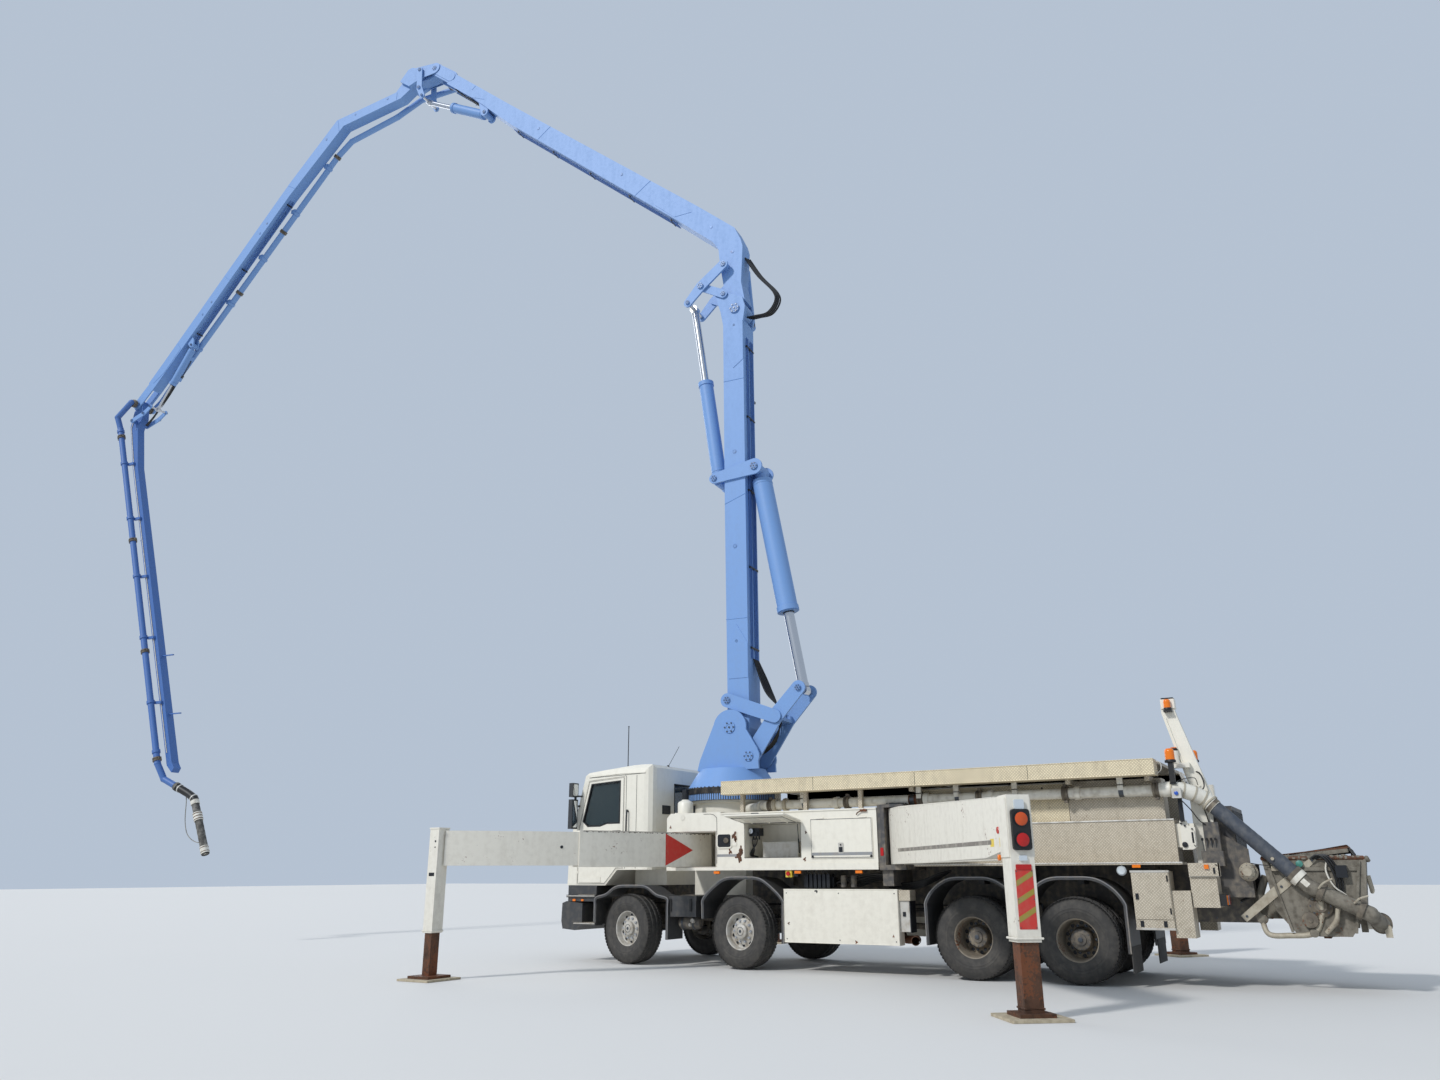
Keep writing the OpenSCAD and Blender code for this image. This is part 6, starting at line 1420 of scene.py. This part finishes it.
piece("riser_cuffs", [sweep([A_UP + RISE * a, A_UP + RISE * (a + w)], r, 32) for a, w, r in ((0.08, 0.05, 0.101),
        (1.22, 0.05, 0.106), (1.29, 0.035, 0.101))], GRIME, smooth=True)
piece("riser_label", [slab(rounded(0.09, 0.06, 0.006), A_UP + RISE * 1.40 + np.array([0, 0.0875, 0]) + UP * 0.01,
        RISE, np.cross(Y, RISE), Y, 0.006)], PIPE)


def pipe_run(points, r):
    """Straight lengths with a ball at each bend."""
    p = [np.asarray(q, float) for q in points]
    out = [sweep([a, b], r, 28) for a, b in zip(p[:-1], p[1:])]
    a = np.linspace(0.02, np.pi - 0.02, 12)
    out += [lathe(np.stack([(r + 0.003) * np.sin(a), -(r + 0.003) * np.cos(a)], 1), q, UP, 28) for q in p[1:-1]]
    return out


piece("lower_pipe", pipe_run(tx([(-9.50, 0.8175, 1.284), (-9.60, 0.82, 1.18), (-10.18, 0.84, 0.88),
        (-10.27, 0.62, 0.764), (-10.27, 0.10, 0.764)]), 0.0875), HOPPER_M, smooth=True)
piece("lower_pipe_clamps", [sweep([truck(*p) - q * 0.03, truck(*p) + q * 0.03], 0.112, 28)
        for p, q in (((-9.72, 0.824, 1.118), np.array([-0.888, 0.031, -0.459])),
        ((-10.10, 0.837, 0.921), np.array([-0.888, 0.031, -0.459])), ((-10.27, 0.50, 0.764), Y),
        ((-10.27, 0.14, 0.764), Y))], GRIME, smooth=True)
piece("clamp_levers", [line([(-9.70, 0.93, 1.16), (-9.76, 0.97, 1.22), (-9.86, 0.965, 1.27)], 0.012, 8, True),
        line([(-10.04, 0.93, 1.0), (-10.10, 0.97, 1.05), (-10.19, 0.96, 1.08)], 0.012, 8, True)], DRUM, smooth=True)
# struts that carry the pipe and the low arms beneath it
piece("pipe_strut", [slab([(0, -0.045), (0.64, -0.055), (1.13, -0.03), (1.13, 0.03), (0.64, 0.055), (0, 0.045)],
        truck(-8.83, 0.66, 0.80), np.array([-0.777, 0, 0.629]), np.array([0.629, 0, 0.777]), Y, 0.05)], DRUM)
piece("pipe_strut_bolts", [disc(truck(-8.83 - 0.777 * a, 0.71, 0.80 + 0.629 * a), Y, 0.016, 0.012, 6)
        for a in (0.05, 0.6, 1.08)], BOLT)
piece("pipe_saddle", [tbox(-9.30, -9.22, 0.70, 0.76, 1.36, 1.56),
        line([(-9.26, 0.74, 1.50), (-9.26, 0.92, 1.50)], 0.02, 8)], DRUM)
piece("low_arms", [line([(-9.02, 0.60, 0.79), (-9.08, 0.66, 0.63), (-9.30, 0.68, 0.62), (-9.57, 0.70, 0.655),
        (-9.68, 0.72, 0.86), (-9.69, 0.76, 1.02)], 0.032, 10, True),
        line([(-9.70, 0.74, 0.66), (-9.82, 0.79, 0.80), (-9.86, 0.80, 0.94)], 0.026, 10, True)], DRUM, smooth=True)
piece("low_arm_ends", [disc(truck(-9.03, 0.575, 0.80), Y, 0.06, 0.07, 24),
        disc(truck(-9.57, 0.665, 0.655), Y, 0.05, 0.07, 24)], HOPPER_M, smooth=True)
piece("tail_roller", [disc(truck(-9.55, 0.715, 0.80), Y, 0.09, 0.05, 28, 0.006),
        disc(truck(-9.55, 0.76, 0.80), Y, 0.03, 0.02, 12)], GRIME, smooth=True)

# ---------------------------------------------------------------- hopper
rim = np.array([(-10.20, 0.69), (-9.13, 0.69), (-9.13, -0.69), (-10.20, -0.69)])
piece("hopper_rim", [sweep([truck(x, y, 1.50 + 0.004 * math.sin(7 * x + 5 * y))
        for x, y in np.vstack([rim, rim[:2]])], 0.026, 10)], STEEL_R, smooth=True)
g = np.random.default_rng(7)
lumps = []
for _ in range(150):
    x, s = g.uniform(-10.16, -9.16), g.choice([-1, 1])
    lumps.append(disc(truck(x, s * g.uniform(0.66, 0.70), 1.495 + g.uniform(-0.01, 0.02)), UP,
            g.uniform(0.015, 0.04), g.uniform(0.01, 0.03), 7, 0.01))
for _ in range(90):
    lumps.append(disc(truck(g.uniform(-10.24, -10.19), g.uniform(-0.66, 0.66), 1.46 + g.uniform(0, 0.04)), UP,
            g.uniform(0.015, 0.035), g.uniform(0.01, 0.025), 7, 0.01))
piece("concrete_lumps", lumps, HOPPER_M)
# splash cover: ribs over its slope, ragged rubber skirt
COVER_DOWN = np.array([-0.930, 0, 0.120]) / np.linalg.norm([0.930, 0.120])
COVER_OUT = np.array([0.120, 0, 0.930]) / np.linalg.norm([0.930, 0.120])
COVER_O = truck(-9.13, 0, 1.5002)
piece("cover_ribs", [slab([(0.02, y), (0.92, y), (0.92, y + 0.055), (0.02, y + 0.055)],
        COVER_O + COVER_OUT * 0.0005, COVER_DOWN, Y, COVER_OUT, 0.022) for y in np.linspace(-0.62, 0.565, 12)],
      PIPE)
piece("cover_frame", [sweep([COVER_O + COVER_DOWN * a + Y * b + COVER_OUT * 0.014
        for a, b in ((0.0, -0.64), (0.935, -0.64), (0.935, 0.64), (0.0, 0.64), (0.0, -0.64), (0.2, -0.64))], 0.022,
        8)], STEEL_R, smooth=True)
piece("cover_hinges", [sweep([COVER_O + Y * y + COVER_OUT * 0.01, COVER_O + Y * (y + 0.12) + COVER_OUT * 0.01],
        0.028, 12) for y in (-0.55, -0.06, 0.43)], STEEL_R, smooth=True)
yb = np.linspace(-0.63, 0.63, 60)
skirt = np.stack([np.stack([truck(-10.075 - 0.012 * math.sin(9 * y), y, 1.615),
        truck(-10.10 - 0.02 * math.sin(11 * y + 1), y, 1.53 + 0.03 * math.sin(17 * y)),
        truck(-10.13 - 0.03 * math.sin(13 * y), y, 1.42 + 0.045 * math.sin(23 * y + 2))]) for y in yb])
piece("splash_skirt", [shell(skirt, np.array([-0.008, 0, 0]))], RUBBER, smooth=True)
piece("rear_bumper_bar", [line([(-10.215, -0.72, 1.30), (-10.235, -0.72, 1.12), (-10.235, 0.55, 1.12),
        (-10.215, 0.55, 1.30)], 0.022, 10)], DRUM, smooth=True)
piece("agitator_motor", [lathe([(1e-4, -0.36), (0.06, -0.36), (0.075, -0.33), (0.075, -0.16), (0.12, -0.15),
        (0.125, -0.08), (0.16, -0.075), (0.16, 0.0)], truck(-9.68, -0.70, 0.96), Y, 32)], HOPPER_M, smooth=True)
piece("agitator_bearings", [lathe([(0.046, 0.0), (0.13, 0.0), (0.13, 0.03), (0.08, 0.05), (0.07, 0.065),
        (0.046, 0.065)], truck(-9.68, sg * 0.70, 0.96), sg * Y, 32) for sg in (1, -1)], GRIME, smooth=True)
piece("agitator_bolts", [disc(p, Y * sg, 0.012, 0.012, 6) for sg in (1, -1) for p in around(truck(-9.68, 0, 0.96),
        sg * Y, 0.105, 0.73, 8)], BOLT)
piece("hopper_ribs", [slab([(-10.17, 1.47), (-10.14, 1.47), (-9.99, 0.66), (-10.02, 0.66)],
        truck(0, 0.70 if sg > 0 else -0.73, 0), X, UP, Y, 0.03) for sg in (1, -1)]
      + [slab([(-9.16, 1.47), (-9.19, 1.47), (-9.36, 0.66), (-9.33, 0.66)], truck(0, 0.70 if sg > 0 else -0.73, 0),
        X, UP, Y, 0.03) for sg in (1, -1)]
      + [tbox(-10.14, -9.21, 0.70 if sg > 0 else -0.725, 0.725 if sg > 0 else -0.70, 1.36, 1.40) for sg in (1, -1)],
      HOPPER_M)
piece("hopper_door", [disc(truck(-9.68, 0, 0.62), -UP, 0.17, 0.03, 32),
        tbox(-9.72, -9.64, -0.24, 0.24, 0.575, 0.592)], STEEL_R)
piece("gate_cylinders", [line([(-9.12, 0.50, 1.30), (-9.05, 0.53, 1.12), (-8.99, 0.55, 0.95)], 0.045, 14)],
      HOPPER_M, smooth=True)
piece("round_motor", [lathe([(1e-4, 0.14), (0.05, 0.14), (0.065, 0.12), (0.085, 0.10), (0.09, 0.0), (0.11, -0.02),
        (0.11, -0.05)], truck(-8.957, 0.70, 1.348), Y, 32)], DRUM, smooth=True)
piece("round_motor_bolts", [disc(p, Y, 0.009, 0.012, 6) for p in around(truck(-8.957, 0.70, 1.348), Y, 0.074, 0.098,
        8)], BOLT)
piece("green_cap", [disc(truck(-9.53, 0.715, 1.44), Y, 0.04, 0.05, 24, 0.006)], TEAL, smooth=True)
piece("lube_lines", [line([(-9.53, 0.735, 1.41), (-9.56, 0.76, 1.3), (-9.62, 0.75, 1.15), (-9.67, 0.735, 1.03)],
        0.006, 6, True), line([(-9.0, 0.72, 1.45), (-9.12, 0.76, 1.43), (-9.3, 0.75, 1.42), (-9.50, 0.735, 1.42)],
        0.006, 6, True)], BLACK, smooth=True)
piece("hose_loops", [line([(-9.71 + d, 0.72 + 0.02 * k, 1.49), (-9.80 + d, 0.74 + 0.02 * k, 1.54),
        (-9.89 + d, 0.75 + 0.02 * k, 1.46), (-9.95 + d, 0.74 + 0.02 * k, 1.25), (-9.92 + d, 0.73, 1.08),
        (-9.80 + d, 0.72, 0.99), (-9.72, 0.715, 1.03)], 0.013, 8, True) for k, d in enumerate((0.0, 0.03, 0.06))],
      BLACK, smooth=True)
piece("white_hose", [line([(-9.83, 0.72, 1.50), (-9.80, 0.77, 1.35), (-9.86, 0.78, 1.18), (-9.96, 0.74, 1.09),
        (-10.0, 0.72, 1.02)], 0.010, 8, True)], PIPE, smooth=True)
piece("washout_box", [tbox(-10.02, -9.90, 0.702, 0.80, 1.28, 1.42)], DARKP)
piece("tail_hooks", [slab([(0.0, -0.10), (0.07, -0.10), (0.075, 0.02), (0.035, 0.05), (0.0, 0.02)],
        truck(-10.365, 0.66, 0.72), X, UP, Y, 0.02), tbox(-10.36, -10.28, 0.55, 0.67, 0.70, 0.74)], DRUM)

# ---------------------------------------------------------------- running gear and frame
for tag, x in (("1", 0.0), ("2", -2.05)):
    leaves = []
    for sg in (1, -1):
        for k in range(4):
            w = 0.62 - 0.13 * k
            leaves.append(slab([(x + w * q, 0.639 - 0.0165 * k) for q in (-1, 1)]
                    + [(x + w * q, 0.624 - 0.0165 * k) for q in (1, -1)], truck(0, sg * 0.50 - 0.038, 0), X, UP, Y,
                    0.076))
    piece("leaf_springs_" + tag, leaves, FRAME_M)
    piece("u_bolts_" + tag, [line([(x + d, sg * (0.50 - 0.048), 0.47), (x + d, sg * (0.50 - 0.048), 0.715),
            (x + d, sg * (0.50 + 0.048), 0.715), (x + d, sg * (0.50 + 0.048), 0.47)], 0.011, 8) for sg in (1, -1)
            for d in (-0.07, 0.07)] + [disc(truck(x + d, sg * (0.50 + e), 0.476), -UP, 0.02, 0.022, 6)
            for sg in (1, -1) for d in (-0.07, 0.07) for e in (-0.048, 0.048)], BOLT, smooth=True)
    piece("shackles_" + tag, [disc(truck(x + s * 0.60, sg * 0.5405, 0.80), sg * Y, 0.045, 0.016, 20)
            for sg in (1, -1) for s in (-1, 1)]
          + [disc(truck(x + s * 0.60, sg * 0.5405, 0.67), sg * Y, 0.028, 0.03, 16) for sg in (1, -1)
            for s in (-1, 1)], FRAME_M, smooth=True)
    piece("dampers_" + tag, [line([(x + 0.16, sg * 0.58, 0.50), (x + 0.20, sg * 0.58, 0.72)], 0.030, 14)
            for sg in (1, -1)] + [line([(x + 0.20, sg * 0.58, 0.70), (x + 0.235, sg * 0.57, 0.98)], 0.037, 14)
            for sg in (1, -1)], FRAME_M, smooth=True)
piece("bogie_trunnions", [lathe([(1e-4, 0.10), (0.05, 0.10), (0.075, 0.08), (0.11, 0.06), (0.11, 0.0)],
        truck(-6.255, sg * 0.559, 0.86), sg * Y, 28) for sg in (1, -1)], FRAME_M, smooth=True)
piece("bogie_leaves", [slab([(-6.90 + 0.12 * k, 0.741 - 0.016 * k), (-5.61 - 0.12 * k, 0.741 - 0.016 * k),
        (-5.61 - 0.12 * k, 0.727 - 0.016 * k), (-6.90 + 0.12 * k, 0.727 - 0.016 * k)],
        truck(0, sg * 0.515 - 0.042, 0), X, UP, Y, 0.084) for sg in (1, -1) for k in range(4)], FRAME_M)
piece("bogie_bolts", [line([(-6.255 + d, sg * 0.572, 0.70), (-6.255 + d, sg * 0.572, 0.95)], 0.012, 8)
        for sg in (1, -1) for d in (-0.1, 0.1)], BOLT)
piece("axle_covers", [lathe([(0.237, -0.03), (0.246, -0.026), (0.246, 0.026), (0.237, 0.03)], truck(x, 0, HUB_Z), X,
        40) for x in REAR_AXLES], FRAME_M, smooth=True)
piece("axle_flange_bolts", [disc(p, X * s, 0.012, 0.014, 6) for x in REAR_AXLES for s in (1, -1)
        for p in around(truck(x, 0, HUB_Z), s * X, 0.215, 0.085, 12)], BOLT)
piece("axle_flanges", [lathe([(0.10, 0.095), (0.232, 0.085), (0.232, 0.06)], truck(x, 0, HUB_Z), s * X, 40)
        for x in REAR_AXLES for s in (1, -1)], FRAME_M, smooth=True)
piece("prop_shafts", [line([(-0.28, 0, 0.80), (-2.0, 0, 0.735), (-3.2, 0, 0.66), (-5.32, 0, 0.56)], 0.045, 16),
        line([(-5.82, 0, 0.56), (-6.70, 0, 0.55)], 0.042, 16)], FRAME_M, smooth=True)
piece("shaft_joints", [lathe([(0.046, -0.04), (0.085, -0.035), (0.085, -0.02), (0.06, -0.015), (0.06, 0.015),
        (0.085, 0.02), (0.085, 0.035), (0.046, 0.04)], truck(x, 0, z), X, 24)
        for x, z in ((-0.33, 0.798), (-2.0, 0.735), (-3.2, 0.66), (-5.28, 0.562), (-5.86, 0.56), (-6.66, 0.55))],
      DARKP, smooth=True)
piece("brake_chambers", [lathe([(1e-4, 0.09), (0.05, 0.09), (0.085, 0.06), (0.092, 0.0), (0.085, -0.05),
        (0.04, -0.08), (1e-4, -0.08)], truck(x + 0.26, sg * 0.36, 0.60), np.array([0.9, 0, 0.44]), 28)
        for x in REAR_AXLES for sg in (1, -1)], FRAME_M, smooth=True)
piece("frame_bolts", [disc(truck(x, sg * 0.4502, z), sg * Y, 0.010, 0.012, 6) for sg in (1, -1)
        for x in np.arange(-8.8, 0.8, 0.30) if not (-4.72 < x < -4.28) for z in (0.80, 0.985)], BOLT)
piece("frame_lines", [line([(0.3, sg * 0.461, 0.90), (-2.6, sg * 0.461, 0.90), (-4.2, sg * 0.461, 0.92),
        (-5.4, sg * 0.461, 0.90)], 0.012, 6) for sg in (1, -1)]
      + [line([(-2.9, sg * 0.458, 0.86 - 0.03 * k), (-5.4, sg * 0.458, 0.86 - 0.03 * k)], 0.008, 6)
        for sg in (1, -1) for k in range(2)], BLACK, smooth=True)
piece("tie_rods", [line([(x - 0.24, -0.66, 0.50), (x - 0.26, 0, 0.49), (x - 0.24, 0.66, 0.50)], 0.018, 10)
        for x in (0.0, -2.05)], BOLT, smooth=True)
piece("engine_sump", [tbox(-0.20, 0.70, -0.26, 0.26, 0.52, 0.641), tbox(-0.9, -0.30, -0.19, 0.19, 0.62, 0.98)], FRAME_M)
piece("gearbox", [lathe([(1e-4, 0.62), (0.12, 0.62), (0.14, 0.45), (0.20, 0.25), (0.24, 0.04), (0.24, 0.0)],
        truck(-0.25, 0, 0.82), -X, 28)], FRAME_M, smooth=True)
piece("cylinder_heads", [lathe([(1e-4, 0.0), (0.135, 0.0), (0.135, 0.05), (0.118, 0.06)],
        truck(-5.895, sg * 0.17, 1.055), np.array([-1.0, 0, -0.048]), 32) for sg in (1, -1)], FRAME_M, smooth=True)

# ---------------------------------------------------------------- front legs
for side in SIGN:
    leg, beam = "front_leg_" + side, "beam_inner_" + side
    lo, hi = fleg(0.604, 4.314, 0.0002, side), fleg(1.176, 4.926, 0.0264, side)
    piece("front_pad_board_" + side, [box(np.minimum(lo, hi), np.maximum(lo, hi))], WOOD, leg)
    piece("front_casing_foot_" + side,
          [sweep([fleg(x, y, 0.625, side) for x, y in ((0.803, 4.52), (0.977, 4.52), (0.977, 4.72), (0.803, 4.72),
            (0.803, 4.52), (0.9, 4.52))], 0.014, 6)], CREAM_R, beam)
    piece("front_casing_cap_" + side,
          [box(np.minimum(fleg(0.797, 4.514, 1.9655, side), fleg(0.983, 4.726, 1.985, side)),
            np.maximum(fleg(0.797, 4.514, 1.9655, side), fleg(0.983, 4.726, 1.985, side)))], CREAM_R, beam)
    piece("front_casing_label_" + side,
          [slab(rounded(0.10, 0.045, 0.004), fleg(0.89, 4.718, 1.36, side), X, UP, Y if side == "left" else -Y,
            0.003)], DARKP, beam)
    piece("front_casing_marks_" + side,
          [disc(fleg(0.86, 4.718, z, side), Y if side == "left" else -Y, r, 0.004, 14)
           for z, r in ((1.80, 0.014), (1.72, 0.010))], DARKP, beam)
    # a dark disc stands for the hole in the beam: painted shade
    piece("beam_hole_" + side, [disc(arc(148.0, BEAM_R - 0.02, 1.73, side), beam_out(148.0, side), 0.022, 0.004,
            20)], DARKP, beam)

# ---------------------------------------------------------------- end of the pipe: clamp, cuffs and worn hose
def hose_dir(a, b):
    """Unit vector between two boom-plane points (s, z, lat)."""
    d = boom(*b) - boom(*a)
    return d / np.linalg.norm(d)


HOSE_LINE = [(13.5597, 3.25987, 0.05995), (13.18, 3.081, 0.0), (12.97, 2.96, 0.0), (12.39, 1.79, 0.0)]
hose_way = hose_dir(HOSE_LINE[2], HOSE_LINE[3])
hose_top = boom(*HOSE_LINE[2])
HOSE_LEN = float(np.linalg.norm(boom(*HOSE_LINE[3]) - hose_top))
bend = smooth_path([boom(*p) for p in (HOSE_LINE[0], (13.36, 3.168, 0.03), HOSE_LINE[1], (13.06, 3.02, 0.0),
        HOSE_LINE[2], (12.91, 2.85, 0.0))], 6)
piece("hose_bend", [sweep(bend, 0.0835, 28)], BLACK, "boom_4", smooth=True)
piece("hose_bend_clips", [sweep([bend[k] - d * 0.014, bend[k] + d * 0.014], 0.091, 28) for k in (4, 22)
        for d in [(bend[k + 1] - bend[k - 1]) / np.linalg.norm(bend[k + 1] - bend[k - 1])]], SILVER, "boom_4",
      smooth=True)
t = np.linspace(0, 1, 40)
piece("end_hose_skin", [sweep(hose_top + hose_way * (HOSE_LEN * (0.05 + 0.93 * t))[:, None],
        0.0795 + 0.0015 * np.sin(t * 55), 28)], HOSE, "boom_4", smooth=True)


def cuff(a, w, r):
    """Sleeve of radius r and length w that starts at the share a of the end hose."""
    return sweep([hose_top + hose_way * HOSE_LEN * a, hose_top + hose_way * (HOSE_LEN * a + w)], r, 28)


piece("end_hose_cuffs", [cuff(a, w, r) for a, w, r in ((0.03, 0.09, 0.0925), (0.255, 0.185, 0.0955),
        (0.86, 0.16, 0.0885))], PIPE, "boom_4", smooth=True)
piece("end_hose_bands", [cuff(a, 0.018, 0.0965) for a in (0.27, 0.32, 0.37)]
      + [cuff(a, 0.012, 0.0905) for a in (0.88, 0.95)], STEEL_R, "boom_4", smooth=True)
piece("hose_mouth", [lathe([(0.053, 0.0), (0.078, 0.0), (0.079, -0.03), (0.0525, -0.03)],
        boom(*HOSE_LINE[3]) + hose_way * 0.001, hose_way, 28)], BLACK, "boom_4", smooth=True)

ROPE = smooth_path([boom(*p) for p in ((13.40, 3.2, -0.075), (13.345, 2.95, -0.10), (13.30, 2.5, -0.11),
        (13.15, 2.2, -0.11), (12.86, 2.05, -0.12), (12.63, 2.09, -0.11), (12.60, 2.20, -0.09))], 10)
cu = bpy.data.curves.new("safety_rope", "CURVE")
cu.dimensions = "3D"
cu.bevel_depth, cu.bevel_resolution, cu.use_fill_caps = 0.009, 4, True
sp = cu.splines.new("POLY")
sp.points.add(len(ROPE) - 1)
sp.points.foreach_set("co", np.hstack([ROPE, np.ones((len(ROPE), 1))]).ravel())
cu.materials.append(ROPE_M)
rope = bpy.data.objects.new("safety_rope", cu)
bpy.context.scene.collection.objects.link(rope)
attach(rope, "boom_4")

# ---------------------------------------------------------------- mudguards, rounded
def guard(cx, front, rear, top, y0, y1, sg):
    """Curved mudguard from y0 to y1: a Catmull-Rom line through the CAD profile's corners, 22 mm thick, with a lip."""
    out = [(cx + front[0], front[1]), (cx + front[0] + 0.002, 0.85), (cx + front[0] - 0.01, 0.99),
           (cx + 0.50, top - 0.13), (cx + 0.29, top - 0.012), (cx, top + 0.004), (cx - 0.29, top - 0.012),
           (cx - 0.50, top - 0.13), (cx - abs(rear[0]) + 0.01, 0.99), (cx + rear[0] - 0.002, 0.85),
           (cx + rear[0], rear[1])]
    out = [p for i, p in enumerate(out) if not (i == 1 and front[1] > 0.8) and not (i == 9 and rear[1] > 0.8)]
    p = np.array([(x, 0, z) for x, z in out])
    path = smooth_path(p, 6)
    tan = np.gradient(path, axis=0)
    tan /= np.linalg.norm(tan, axis=1)[:, None]
    nrm = np.stack([-tan[:, 2], np.zeros(len(tan)), tan[:, 0]], 1)
    # unit normals, turned so that the one at the crown points up
    if nrm[len(nrm) // 2, 2] < 0:
        nrm = -nrm
    sec = [(y0, 0.0), (y0, -0.022), (y1 - 0.02, -0.022), (y1 - 0.02, -0.034), (y1, -0.034), (y1, 0.0)]
    rows = np.stack([path + nrm * h + np.array([SHIFT, sg * y, 0]) for y, h in sec], 1)
    v, q = grid(rows, close_v=True)
    k, m = len(path), len(sec)
    return v, q.tolist() + [list(range(m))[::-1], [(k - 1) * m + i for i in range(m)]]


# x of the wheel, front and rear end (x, z) about it, top, inner and outer y
GUARDS = [(0.0, (0.712, 0.62), (-0.712, 0.38), 1.178, 0.80, 1.245),
        (-2.05, (0.70, 0.70), (-0.70, 0.38), 1.30, 0.64, 1.245),
        (REAR_AXLES[0], (0.64, 0.42), (-0.64, 0.90), 1.29, 0.56, 1.245),
        (REAR_AXLES[1], (0.64, 0.90), (-0.64, 0.39), 1.29, 0.56, 1.245)]
guards = [guard(*row, sg) for row in GUARDS for sg in (1, -1)]
carriers = []
for sg in (1, -1):
    carriers += [tbox(x - 0.04, x + 0.04, *span(sg, 0.4503, 0.70), 1.20, 1.272) for x in (-2.05, *REAR_AXLES)]
    carriers += [tbox(-0.04, 0.04, *span(sg, 0.4503, 0.80), 0.96, 1.025),
            tbox(-0.04, 0.04, *span(sg, 0.76, 0.80), 1.024, 1.152),
            tbox(-0.04, 0.04, *span(sg, 0.76, 0.83), 1.12, 1.153)]
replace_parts(piece("mudguard_shells", guards + carriers, PLASTIC, smooth=True), "mudguards")
edges = []
for row in GUARDS:
    for sg in (1, -1):
        v, _ = guard(*row, sg)
        edges.append(sweep(v.reshape(-1, 6, 3)[:, 5], 0.009, 8))
piece("mudguard_lips", edges, DUSTY, smooth=True)
